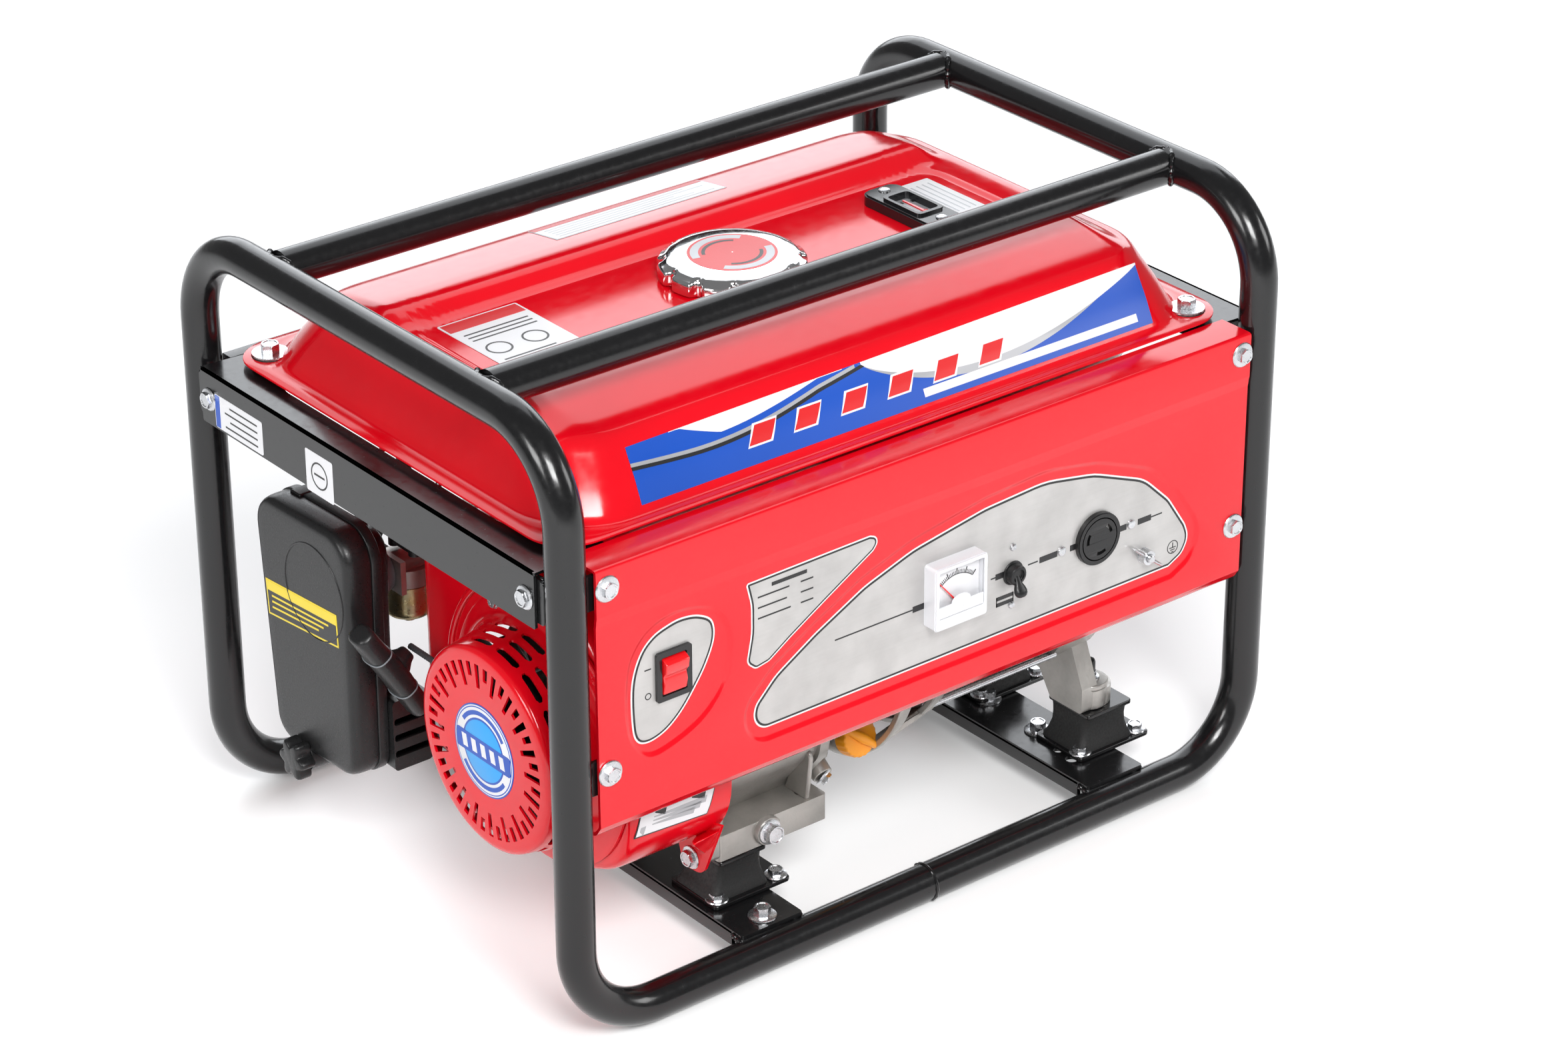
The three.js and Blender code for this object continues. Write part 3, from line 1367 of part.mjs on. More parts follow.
// A pressed drum behind the alternator, fed from the head's exhaust port and open at its tail.
const drum = (by) => {
  const ring = (x, more) => ({
    x,
    y0: MUFFLER.y0 + by + more,
    y1: MUFFLER.y1 - by - more,
    z0: MUFFLER.z0 + by + more,
    z1: MUFFLER.z1 - by - more,
    radius: 34 - by - more,
  });
  return loftX([
    ring(MUFFLER.x0 + by, 8),
    ring(MUFFLER.x0 + 8, 0),
    ring(MUFFLER.x1 - 8, 0),
    ring(MUFFLER.x1 - by, 8),
  ]);
};
const inletAxis = (fromX, toX, radius) =>
  rod([fromX, PORT.exhaustY + 6, PORT.z], [toX, PORT.exhaustY + 6, PORT.z], radius, 16);
add(
  "muffler",
  cut(
    join(
      drum(0),
      block(-65.7, -61, PORT.exhaustY - 22, PORT.exhaustY + 26, PORT.z - 14, PORT.z + 14),
      inletAxis(-64, -35, 12),
      rod([150, TAIL.y, TAIL.z], [182, TAIL.y, TAIL.z], 11, 18),
    ),
    drum(2),
    inletAxis(-70, -30, 9),
    rod([140, TAIL.y, TAIL.z], [190, TAIL.y, TAIL.z], 8.5, 18),
  ),
  FINISH.castIron,
);
const guardSheet = prism(bentSheet([[46, 286], [154, 286], [154, 178]], -1), "x", -36, 160);
const guardPosts = [-10, 134].map((x) => rod([x, 96, MUFFLER.z1 + GAP], [x, 96, 285.4], 5, 12));
const guardSlots = Array.from({ length: 9 }, (_, i) => {
  const x = -22 + i * 20;
  return block(x, x + 8, 150, 158, 200, 262);
});
add("muffler_guard", cut(join(guardSheet, ...guardPosts), ...guardSlots), FINISH.zinc);

// ---------------------------------------------------------------- rubber mounts

// Each mount is a rubber block bonded between a base plate on the cross member and a top plate
// under an engine or alternator foot.
function rubberMount(baseX, topX, y, halfDepth) {
  const base = MEMBER.top + GAP;
  const [b0, b1] = baseX;
  const [t0, t1] = topX;
  return join(
    block(b0, b1, y - halfDepth, y + halfDepth, base, base + 3),
    loftZ(
      [
        { z: base + 2.5, x0: t0 - 6, x1: t1 + 2, y0: y - 21, y1: y + 21, radius: 5 },
        { z: base + 15, x0: t0 - 1, x1: t1 - 1, y0: y - 18, y1: y + 18, radius: 5 },
        { z: FOOT_Z - GAP - 2, x0: t0 + 1, x1: t1 - 2, y0: y - 20, y1: y + 20, radius: 5 },
      ],
      2,
    ),
    block(t0, t1, y - 21, y + 21, FOOT_Z - GAP - 3, FOOT_Z - GAP),
  );
}
add("rubber_mount_left_front", rubberMount([-147, -84], [-140, -101], -140, 25), FINISH.rubber);
add("rubber_mount_left_rear", rubberMount([-147, -84], [-140, -101], -5, 25), FINISH.rubber);
add("rubber_mount_right_front", rubberMount([165, 230], [174, 215], -148, 24), FINISH.rubber);
add("rubber_mount_right_rear", rubberMount([165, 230], [174, 215], -44, 24), FINISH.rubber);

export default generator;
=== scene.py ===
"""Looks for the portable generator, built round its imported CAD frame.

Every size below is in millimetres in the frame's own axes (+Z up, -Y the control panel, -X the recoil
starter) and becomes metres when a piece is made.
"""

import math

import bmesh
import bpy
import numpy as np
from mathutils import Matrix, Vector
from mathutils.geometry import tessellate_polygon


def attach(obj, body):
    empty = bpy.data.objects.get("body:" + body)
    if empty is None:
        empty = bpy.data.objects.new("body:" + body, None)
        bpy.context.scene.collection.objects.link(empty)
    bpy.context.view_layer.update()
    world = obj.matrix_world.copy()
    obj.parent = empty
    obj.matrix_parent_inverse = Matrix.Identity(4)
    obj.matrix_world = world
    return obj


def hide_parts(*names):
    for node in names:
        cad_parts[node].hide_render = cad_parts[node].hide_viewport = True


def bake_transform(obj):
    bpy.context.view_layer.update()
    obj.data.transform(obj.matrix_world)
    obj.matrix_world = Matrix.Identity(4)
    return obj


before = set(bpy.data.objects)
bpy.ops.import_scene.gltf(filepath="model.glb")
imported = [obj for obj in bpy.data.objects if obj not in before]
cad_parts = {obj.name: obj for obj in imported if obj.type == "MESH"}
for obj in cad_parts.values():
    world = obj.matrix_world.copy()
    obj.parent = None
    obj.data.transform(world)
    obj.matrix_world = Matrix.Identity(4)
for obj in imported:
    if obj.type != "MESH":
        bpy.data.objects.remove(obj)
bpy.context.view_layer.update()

MM = 0.001
Z = Vector((0, 0, 1))
SIDES = (-1, 1)


# ---------------------------------------------------------------- shapes


class Shape:
    """Vertices and faces in millimetres. Shapes add up and move, then become one object."""

    def __init__(self, verts, faces):
        self.verts = [Vector(v) for v in verts]
        self.faces = [tuple(f) for f in faces]

    def __add__(self, other):
        shift = len(self.verts)
        faces = [tuple(i + shift for i in f) for f in other.faces]
        return Shape(self.verts + other.verts, self.faces + faces)

    def moved(self, matrix):
        return Shape([matrix @ v for v in self.verts], self.faces)

    def at(self, x, y, z):
        return self.moved(Matrix.Translation((x, y, z)))

    def turned(self, degrees, axis, about=(0, 0, 0)):
        there = Matrix.Translation(about)
        return self.moved(there @ Matrix.Rotation(math.radians(degrees), 4, axis) @ there.inverted())

    def facing(self, direction, origin=(0, 0, 0)):
        """Turns a shape made along +Z to point along a direction from an origin."""
        turn = Z.rotation_difference(Vector(direction)).to_matrix().to_4x4()
        return self.moved(Matrix.Translation(origin) @ turn)


def together(shapes):
    """Many shapes as one."""
    whole = Shape([], [])
    for shape in shapes:
        whole = whole + shape
    return whole


def smooth(a, b, t):
    """Smoothstep from 0 at a to 1 at b, on numbers or arrays."""
    s = np.clip((t - a) / (b - a), 0, 1)
    return s * s * (3 - 2 * s)


def rounded(corners, radius=0, step=15):
    """A closed outline with round corners: (u, v) or (u, v, radius) corners, arcs every few degrees."""
    points = []
    n = len(corners)
    for i, corner in enumerate(corners):
        here = Vector(corner[:2])
        r = corner[2] if len(corner) > 2 else radius
        back = (Vector(corners[i - 1][:2]) - here).normalized()
        on = (Vector(corners[(i + 1) % n][:2]) - here).normalized()
        half = math.acos(max(-1, min(1, back.dot(on)))) / 2
        if r == 0 or half > 1.56:
            points.append(here)
            continue
        centre = here + (back + on).normalized() * (r / math.sin(half))
        start = here + back * (r / math.tan(half)) - centre
        turn = math.pi - 2 * half
        sign = -1 if back.cross(on) > 0 else 1
        count = max(2, int(math.degrees(turn) / step) + 1)
        for k in range(count + 1):
            a = sign * turn * k / count
            c, s = math.cos(a), math.sin(a)
            points.append(centre + Vector((c * start.x - s * start.y, s * start.x + c * start.y)))
    return points


def circle(radius, count=32, centre=(0, 0)):
    angles = [2 * math.pi * i / count for i in range(count)]
    return [Vector((centre[0] + radius * math.cos(a), centre[1] + radius * math.sin(a))) for a in angles]


def arc_band(near, far, start, end, centre=(0, 0), count=24):
    """The outline between two radii, from one angle to another in degrees."""
    angles = [math.radians(start + (end - start) * k / count) for k in range(count + 1)]
    u, v = centre
    band = [Vector((u + far * math.cos(a), v + far * math.sin(a))) for a in angles]
    return band + [Vector((u + near * math.cos(a), v + near * math.sin(a))) for a in reversed(angles)]


def rectangle(u0, u1, v0, v1, radius=0, step=15):
    return rounded([(u0, v0), (u1, v0), (u1, v1), (u0, v1)], radius, step)


def inset(points, distance):
    """The same outline moved inwards (or outwards when negative)."""
    n = len(points)
    area = sum(points[i - 1].cross(points[i]) for i in range(n))
    side = 1 if area > 0 else -1
    moved = []
    for i in range(n):
        a = (points[i] - points[i - 1]).normalized()
        b = (points[(i + 1) % n] - points[i]).normalized()
        normal = Vector((-(a.y + b.y), a.x + b.x)) * side
        normal.normalize()
        reach = distance / max(0.5, normal.dot(Vector((-a.y, a.x)) * side))
        moved.append(points[i] + normal * reach)
    return moved


PLANES = {
    "x": lambda u, v, w: (w, u, v),
    "y": lambda u, v, w: (u, w, v),
    "z": lambda u, v, w: (u, v, w),
}


def prism(outline, axis, start, end, holes=()):
    """An outline pushed along an axis: (y, z) on x, (x, z) on y, (x, y) on z. Holes go right through."""
    place = PLANES[axis]
    loops = [list(outline)] + [list(h) for h in holes]
    flat = [p for loop in loops for p in loop]
    count = len(flat)
    verts = [place(p[0], p[1], start) for p in flat] + [place(p[0], p[1], end) for p in flat]
    if holes:
        caps = tessellate_polygon([[Vector((p[0], p[1], 0)) for p in loop] for loop in loops])
        caps = [tuple(t) for t in caps]
    else:
        caps = [tuple(range(count))]
    faces = caps + [tuple(i + count for i in reversed(c)) for c in caps]
    first = 0
    for loop in loops:
        n = len(loop)
        for i in range(n):
            a, b = first + i, first + (i + 1) % n
            faces.append((a, b, b + count, a + count))
        first += n
    return Shape(verts, faces)


def block(x0, x1, y0, y1, z0, z1):
    return prism([(x0, y0), (x1, y0), (x1, y1), (x0, y1)], "z", z0, z1)


def loft(rings, closed_ends=True):
    """Skins rings of equal length, each a list of points."""
    n = len(rings[0])
    verts = [v for ring in rings for v in ring]
    faces = []
    for r in range(len(rings) - 1):
        for i in range(n):
            a, b = r * n + i, r * n + (i + 1) % n
            faces.append((a, b, b + n, a + n))
    if closed_ends:
        faces.append(tuple(reversed(range(n))))
        faces.append(tuple(range((len(rings) - 1) * n, len(rings) * n)))
    return Shape(verts, faces)


def lathe(profile, segments=48):
    """A solid turned about Z. Profile points are (radius, z); it ends on the axis or on its start."""
    closed = profile[0] == profile[-1]
    points = profile[:-1] if closed else profile
    verts = []
    rows = []
    for r, z in points:
        if r == 0:
            rows.append([len(verts)] * segments)
            verts.append((0, 0, z))
            continue
        rows.append(list(range(len(verts), len(verts) + segments)))
        for i in range(segments):
            a = 2 * math.pi * i / segments
            verts.append((r * math.cos(a), r * math.sin(a), z))
    faces = []
    pairs = list(zip(rows, rows[1:] + rows[:1])) if closed else list(zip(rows, rows[1:]))
    for lower, upper in pairs:
        for i in range(segments):
            j = (i + 1) % segments
            face = (lower[i], lower[j], upper[j], upper[i])
            face = tuple(dict.fromkeys(face))
            if len(face) > 2:
                faces.append(face)
    return Shape(verts, faces)


def bent(corners, radius, steps=10):
    """Points along straight runs joined by arcs of one radius."""
    corners = [Vector(c) for c in corners]
    points = [corners[0]]
    for before, corner, after in zip(corners, corners[1:], corners[2:]):
        a = (corner - before).normalized()
        b = (after - corner).normalized()
        turn = a.angle(b)
        inward = (b - a * a.dot(b)).normalized()
        start = corner - a * radius * math.tan(turn / 2)
        for k in range(steps + 1):
            t = turn * k / steps
            points.append(start + a * radius * math.sin(t) + inward * radius * (1 - math.cos(t)))
    points.append(corners[-1])
    return points


def sweep(points, radius, sides=24, closed=False):
    """A tube along points. Radius is a number or one number per point."""
    points = [Vector(p) for p in points]
    n = len(points)
    radii = radius if isinstance(radius, (list, tuple)) else [radius] * n
    if closed:
        tangents = [(points[(i + 1) % n] - points[i - 1]).normalized() for i in range(n)]
    else:
        tangents = [(points[min(i + 1, n - 1)] - points[max(i - 1, 0)]).normalized() for i in range(n)]
    normal = tangents[0].orthogonal().normalized()
    rings = []
    for point, tangent, r in zip(points, tangents, radii):
        normal = (normal - tangent * normal.dot(tangent)).normalized()
        side = tangent.cross(normal)
        angles = [2 * math.pi * k / sides for k in range(sides)]
        rings.append([point + (normal * math.cos(a) + side * math.sin(a)) * r for a in angles])
    if closed:
        return loft(rings + [rings[0]], closed_ends=False)
    return loft(rings)


def rod(start, end, radius, sides=24, end_radius=None):
    end_radius = radius if end_radius is None else end_radius
    return sweep([start, end], [radius, end_radius], sides)


# ---------------------------------------------------------------- materials


def nodes_of(name):
    material = bpy.data.materials.new(name)
    material.use_nodes = True
    tree = material.node_tree
    return material, tree, tree.nodes["Principled BSDF"]


def link_noise(tree, scale, detail=3, stretch=(1, 1, 1)):
    where = tree.nodes.new("ShaderNodeTexCoord")
    mapping = tree.nodes.new("ShaderNodeMapping")
    mapping.inputs["Scale"].default_value = stretch
    noise = tree.nodes.new("ShaderNodeTexNoise")
    noise.inputs["Scale"].default_value = scale
    noise.inputs["Detail"].default_value = detail
    tree.links.new(where.outputs["Object"], mapping.inputs["Vector"])
    tree.links.new(mapping.outputs["Vector"], noise.inputs["Vector"])
    return noise.outputs["Fac"]


def ranged(tree, value, low, high):
    """Spreads the middle of a noise, where its values mostly lie, from low to high."""
    node = tree.nodes.new("ShaderNodeMapRange")
    node.inputs["From Min"].default_value = 0.3
    node.inputs["From Max"].default_value = 0.7
    node.inputs["To Min"].default_value = low
    node.inputs["To Max"].default_value = high
    tree.links.new(value, node.inputs["Value"])
    return node.outputs["Result"]


def surface(name, colour, rough, metal=0, coat=0, vary=0.08, patch=18, grain=900, relief=0.0,
            stretch=(1, 1, 1), worn=None, specular=0.5, rough_span=0.25, coat_rough=0.06):
    """A procedural finish: slow colour variation, finer roughness variation and a grain in relief."""
    material, tree, shader = nodes_of(name)
    shader.inputs["Metallic"].default_value = metal
    shader.inputs["Coat Weight"].default_value = coat
    shader.inputs["Coat Roughness"].default_value = coat_rough
    shader.inputs["Specular IOR Level"].default_value = specular
    mix = tree.nodes.new("ShaderNodeMix")
    mix.data_type = "RGBA"
    mix.inputs["A"].default_value = (*[c * (1 - vary) for c in colour], 1)
    mix.inputs["B"].default_value = (*(worn or [min(1, c * (1 + vary)) for c in colour]), 1)
    slow = link_noise(tree, patch, 4)
    tree.links.new(ranged(tree, slow, 0, 1), mix.inputs["Factor"])
    tree.links.new(mix.outputs["Result"], shader.inputs["Base Color"])
    fine = link_noise(tree, grain * 0.35, 4, stretch)
    spread = ranged(tree, fine, rough * (1 - rough_span), min(1, rough * (1 + rough_span)))
    tree.links.new(spread, shader.inputs["Roughness"])
    if relief:
        bump = tree.nodes.new("ShaderNodeBump")
        bump.inputs["Strength"].default_value = 1
        bump.inputs["Distance"].default_value = relief * MM
        tree.links.new(link_noise(tree, grain, 3, stretch), bump.inputs["Height"])
        tree.links.new(bump.outputs["Normal"], shader.inputs["Normal"])
    return material


BLACK_PAINT = surface("black_powder_coat", (0.006, 0.006, 0.0065), 0.22, coat=0.2, coat_rough=0.10, grain=700,
                      relief=0.0015, specular=0.45)
RED_PAINT = surface("red_gloss_paint", (0.70, 0.002, 0.010), 0.13, vary=0.03, grain=350, relief=0.0005)
ZINC = surface("zinc_plate", (0.62, 0.63, 0.65), 0.28, metal=1, vary=0.12, patch=60, grain=1600, relief=0.01)
CHROME = surface("polished_chrome", (0.80, 0.80, 0.81), 0.10, metal=1, vary=0.03, grain=900, relief=0.002)
BRUSHED = surface("brushed_faceplate", (0.52, 0.51, 0.50), 0.42, metal=0.55, vary=0.10, patch=40, grain=1500,
                  relief=0.012, stretch=(0.05, 1, 1))
CAST = surface("cast_aluminium", (0.44, 0.425, 0.40), 0.40, metal=0.75, vary=0.16, patch=35, grain=1300,
               relief=0.08)
MACHINED = surface("machined_steel", (0.36, 0.35, 0.34), 0.34, metal=1, vary=0.12, grain=1500, relief=0.02)
SHEET_STEEL = surface("galvanised_sheet", (0.50, 0.51, 0.52), 0.38, metal=0.9, vary=0.16, patch=70, grain=900,
                      relief=0.015)
EXHAUST = surface("heat_proof_paint", (0.16, 0.16, 0.155), 0.55, metal=0.6, vary=0.25, patch=25, grain=1200,
                  relief=0.05, worn=(0.24, 0.19, 0.15))
BRASS = surface("yellow_chromate", (0.56, 0.42, 0.17), 0.33, metal=1, vary=0.18, patch=80, grain=1500,
                relief=0.02, worn=(0.50, 0.46, 0.30))
BLACK_PLASTIC = surface("moulded_black_plastic", (0.011, 0.011, 0.0115), 0.34, grain=2200, relief=0.03,
                        specular=0.4)
GLOSS_BLACK = surface("gloss_black_plastic", (0.010, 0.010, 0.011), 0.16, grain=900, relief=0.004)
GREY_PLASTIC = surface("grey_plastic", (0.17, 0.185, 0.20), 0.42, grain=2000, relief=0.03)
RED_PLASTIC = surface("red_rocker_plastic", (0.75, 0.006, 0.010), 0.20, coat=0.5, grain=1200, relief=0.004)
WHITE_PLASTIC = surface("meter_case_plastic", (0.70, 0.71, 0.74), 0.16, coat=0.4, vary=0.03, grain=1200,
                        relief=0.003)
YELLOW_PLASTIC = surface("dipstick_plastic", (0.93, 0.34, 0.012), 0.38, grain=1800, relief=0.02)
RUBBER = surface("black_rubber", (0.012, 0.012, 0.012), 0.62, grain=1800, relief=0.05)
ROPE_CORD = surface("braided_cord", (0.035, 0.035, 0.038), 0.8, vary=0.4, patch=900, grain=2400, relief=0.3)
FOAM = surface("filter_foam", (0.04, 0.04, 0.045), 0.95, vary=0.4, patch=700, grain=1500, relief=0.6)
COPPER = surface("copper_winding", (0.55, 0.20, 0.07), 0.35, metal=1, vary=0.2, grain=900, relief=0.05)


def printed(name, colour, rough=0.30, vary=0.025, metal=0):
    """A smooth film: the finish of labels and of what is printed on them."""
    return surface(name, colour, rough, metal, vary=vary, grain=1500, relief=0.0004, rough_span=0.05)


WHITE_LABEL = printed("white_label", (0.74, 0.74, 0.76), 0.33, 0.02)
SILVER_LABEL = printed("silver_label", (0.42, 0.43, 0.45), 0.35, 0.06, metal=0.4)
BLACK_LABEL = printed("black_print", (0.010, 0.010, 0.011), 0.35)
BLUE_LABEL = printed("blue_print", (0.003, 0.070, 0.44))
SKY_LABEL = printed("light_blue_print", (0.012, 0.33, 0.78))
RED_LABEL = printed("red_print", (0.62, 0.010, 0.012), vary=0.03)
YELLOW_LABEL = printed("yellow_print", (0.78, 0.60, 0.02), 0.35)


# ---------------------------------------------------------------- objects

SLOT_OF = {
    BLACK_PAINT: "frame_black",
    RED_PAINT: "red_paint",
    ZINC: "zinc",
    CHROME: "chrome",
    CAST: "cast_aluminium",
    MACHINED: "cast_iron",
    SHEET_STEEL: "zinc",
    EXHAUST: "muffler_steel",
    BRASS: "brass",
    BLACK_PLASTIC: "black_plastic",
    GLOSS_BLACK: "black_plastic",
    RED_PLASTIC: "rocker_red",
    WHITE_PLASTIC: "meter_white",
    YELLOW_PLASTIC: "yellow_plastic",
    RUBBER: "rubber",
    ROPE_CORD: "rope",
    FOAM: "foam",
}


def piece(name, shape, material, body="frame", replaces=(), bevel=0, sharp=35, steps=2):
    """Makes an object of a shape and lets it ride on a body."""
    mesh = bpy.data.meshes.new(name)
    mesh.from_pydata([v * MM for v in shape.verts], [], shape.faces)
    mesh.validate()
    obj = bpy.data.objects.new(name, mesh)
    bpy.context.scene.collection.objects.link(obj)
    face_outwards(mesh)
    mesh.polygons.foreach_set("use_smooth", [True] * len(mesh.polygons))
    mesh.materials.append(material)
    if bevel:
        soften = obj.modifiers.new("bevel", "BEVEL")
        soften.width = bevel * MM
        soften.segments = steps
        soften.limit_method = "ANGLE"
        soften.angle_limit = math.radians(32)
        soften.harden_normals = False
        soften.miter_outer = "MITER_ARC"
    mesh.set_sharp_from_angle(angle=math.radians(sharp))
    if body:
        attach(obj, body)
    if replaces:
        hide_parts(*replaces)
    material in SLOT_OF
    return obj


def face_outwards(mesh):
    shell = bmesh.new()
    shell.from_mesh(mesh)
    bmesh.ops.recalc_face_normals(shell, faces=shell.faces)
    shell.to_mesh(mesh)
    shell.free()


def hex_head(width=10, height=6, flange=0, washer=0):
    """A chamfered hexagon head along +Z on an optional flange and washer."""
    base = 0
    shape = Shape([], [])
    if washer:
        shape = lathe([(0, 0), (washer, 0), (washer + 0.25, 0.3), (washer + 0.1, 1.3), (washer - 0.4, 1.6),
                       (0, 1.6)])
        base = 1.6
    if flange:
        rim = [(0, base), (flange, base), (flange + 0.2, base + 0.5), (flange - 0.3, base + 1.2)]
        shape = shape + lathe(rim + [(width * 0.5, base + 2.0), (0, base + 2.0)])
    corner = width / math.sqrt(3)
    rings = []
    for z, scale in ((base, 1), (base + height * 0.82, 1), (base + height, 0.9)):
        ring = []
        for k in range(48):
            a = 2 * math.pi * k / 48
            inner = (a + math.pi / 6) % (math.pi / 3) - math.pi / 6
            r = corner * math.cos(math.pi / 6) / math.cos(inner)
            if scale < 1:
                r = min(r, corner * scale)
            ring.append(Vector((r * math.cos(a), r * math.sin(a), z)))
        rings.append(ring)
    rings.insert(2, [Vector((v.x, v.y, base + height * 0.9)) for v in rings[1]])
    dish = [Vector((v.x * 0.82, v.y * 0.82, base + height)) for v in rings[-1]]
    floor = [Vector((v.x * 0.92, v.y * 0.92, base + height - 0.5)) for v in dish]
    return shape + loft(rings + [dish, floor])


def pan_screw(radius=4, height=2.4):
    """A domed cross-head screw along +Z."""
    dome = [(0, 0), (radius, 0), (radius, height * 0.35), (radius * 0.86, height * 0.75),
            (radius * 0.5, height)]
    return lathe(dome + [(radius * 0.4, height), (0, height * 0.6)], 32)


def weld_bead(points, radius, seed, closed=True):
    """An uneven bead of overlapping ripples."""
    random = np.random.default_rng(seed)
    n = len(points)
    radii = [radius * (1 + 0.14 * math.sin(i * 2.1) + 0.1 * random.standard_normal()) for i in range(n)]
    return sweep(points, radii, 10, closed)


CURVE_STEPS = 6


def curve_loop(points):
    """A smooth closed outline through points."""
    points = [Vector(p) for p in points]
    n = len(points)
    out = []
    for i in range(n):
        p0, p1, p2, p3 = (points[(i + k - 1) % n] for k in range(4))
        for s in range(CURVE_STEPS):
            t = s / CURVE_STEPS
            a = 2 * p1 + (p2 - p0) * t
            b = (2 * p0 - 5 * p1 + 4 * p2 - p3) * t * t
            c = (3 * p1 - p0 - 3 * p2 + p3) * t * t * t
            out.append((a + b + c) / 2)
    return out


def grid_shell(nu, nv, outer, inner, missing=None, closed_u=False):
    """A sheet with thickness over a grid of cells, with walls round its edge and round missing cells."""
    missing = missing or (lambda i, j: False)
    columns = nu if closed_u else nu + 1
    verts = [outer(i, j) for j in range(nv + 1) for i in range(columns)]
    shift = len(verts)
    verts += [inner(i, j) for j in range(nv + 1) for i in range(columns)]
    faces = []
    present = {(i, j) for i in range(nu) for j in range(nv) if not missing(i, j)}

    def index(i, j):
        return j * columns + (i % columns if closed_u else i)

    for i, j in sorted(present):
        a, b, c, d = index(i, j), index(i + 1, j), index(i + 1, j + 1), index(i, j + 1)
        faces.append((a, b, c, d))
        faces.append((d + shift, c + shift, b + shift, a + shift))
        around = (((i - 1) % nu if closed_u else i - 1, j, d, a),
                  ((i + 1) % nu if closed_u else i + 1, j, b, c))
        for ni, nj, p, q in around + ((i, j - 1, a, b), (i, j + 1, c, d)):
            if (ni, nj) not in present:
                faces.append((q, p, p + shift, q + shift))
    return Shape(verts, faces)


def layered(name, outline, y, coats):
    """A faceplate of stacked coats: (inset, material), each a little nearer the viewer than the last."""
    for k, (by, material) in enumerate(coats):
        shape = prism(inset(outline, by) if by else outline, "y", y, y - 0.3 - 0.12 * k)
        piece(f"{name}_{k}", shape, material)


# ---------------------------------------------------------------- frame

TUBE = 12.65
POST_X, POST_Y, RAIL_Z, TOP_Z, TOP_RAIL_Y = 285, 202, 12.7, 424.5, 114.6


def hoop(side):
    corners = [
        (side * 0.3, -POST_Y, RAIL_Z),
        (side * POST_X, -POST_Y, RAIL_Z),
        (side * POST_X, -POST_Y, TOP_Z),
        (side * POST_X, POST_Y, TOP_Z),
        (side * POST_X, POST_Y, RAIL_Z),
        (side * 0.3, POST_Y, RAIL_Z),
    ]
    shape = sweep(bent(corners, 60, 16), TUBE, 40)
    for end in SIDES:
        x0, x1 = sorted((side * 291.7, side * 294.7))
        tab = rectangle(end * 178.5 - 14.5, end * 178.5 + 14.5, 301.5, 331.5, 3)
        shape = shape + prism(tab, "x", x0, x1)
    for z in (325, 197):
        tab = rectangle(side * 265 - 12, side * 265 + 12, z - 15, z + 9, 3)
        shape = shape + prism(tab, "y", -207.1, -204.1)
    return shape


def saddle(side, y):
    """The weld line where a top rail meets a hoop's top bar."""
    points = []
    for k in range(64):
        a = 2 * math.pi * k / 64
        x = POST_X - math.sqrt((TUBE * math.cos(a)) ** 2 + 6)
        points.append((side * x, y + (TUBE + 0.4) * math.cos(a),
                       TOP_Z + min((TUBE + 0.4) * math.sin(a), 10.6)))
    return points


for side, name in ((-1, "left"), (1, "right")):
    piece(f"hoop_{name}", hoop(side), BLACK_PAINT, replaces=[f"frame_hoop_{name}"], bevel=0.5)
    beads = Shape([], [])
    for y in (-TOP_RAIL_Y, TOP_RAIL_Y):
        beads = beads + weld_bead(saddle(side, y), 1.7, 3 + side)
    for end in SIDES:
        for z in (302, 331):
            run = [(side * 291.2, end * (183 + 0.8 * k), z) for k in range(9)]
            beads = beads + weld_bead(run, 1.5, 11 + side, closed=False)
    piece(f"hoop_{name}_welds", beads, BLACK_PAINT)

for y, name in ((-TOP_RAIL_Y, "front"), (TOP_RAIL_Y, "rear")):
    rail = rod((-275, y, TOP_Z), (275, y, TOP_Z), TUBE, 40)
    piece(f"rail_{name}", rail, BLACK_PAINT, replaces=[f"top_rail_{name}"])
for y, name in ((-POST_Y, "front"), (POST_Y, "rear")):
    turn = [a / 20 * math.pi for a in range(4, 27)]
    ring = [(0, y + TUBE * math.cos(a), RAIL_Z + TUBE * math.sin(a)) for a in turn]
    piece(f"bottom_rail_weld_{name}", weld_bead(ring, 1.1, 21, closed=False), BLACK_PAINT)


MEMBER_HOLES = {
    "left": [(-127, 60, 5), (-127, -60, 5)],
    "right": [(176, -148, 3.5), (166, -148, 3.5), (165, -163, 4.5), (173, 60, 5)],
}


def cross_member(x, holes):
    web = rectangle(x - 25, x + 25, -199, 199, 2)
    shape = prism(web, "z", 25.7, 28.7, [circle(r, 20, (hx, hy)) for hx, hy, r in holes])
    for side in SIDES:
        edge = sorted((x + side * 25, x + side * 22))
        shape = shape + prism(rectangle(*edge, 16.7, 28.2, 0.8), "y", -188, 188)
    return shape


for name, x in (("left", -127), ("right", 173)):
    member = cross_member(x, MEMBER_HOLES[name])
    piece(f"member_{name}", member, BLACK_PAINT, replaces=[f"cross_member_{name}"], bevel=0.9)
    seams = Shape([], [])
    for end in SIDES:
        for edge in SIDES:
            run = [(x + edge * 25.5, end * (189 + 0.9 * k), 25.6 - 0.02 * k * k) for k in range(12)]
            seams = seams + weld_bead(run, 1.7, 31, closed=False)
    piece(f"member_{name}_welds", seams, BLACK_PAINT)


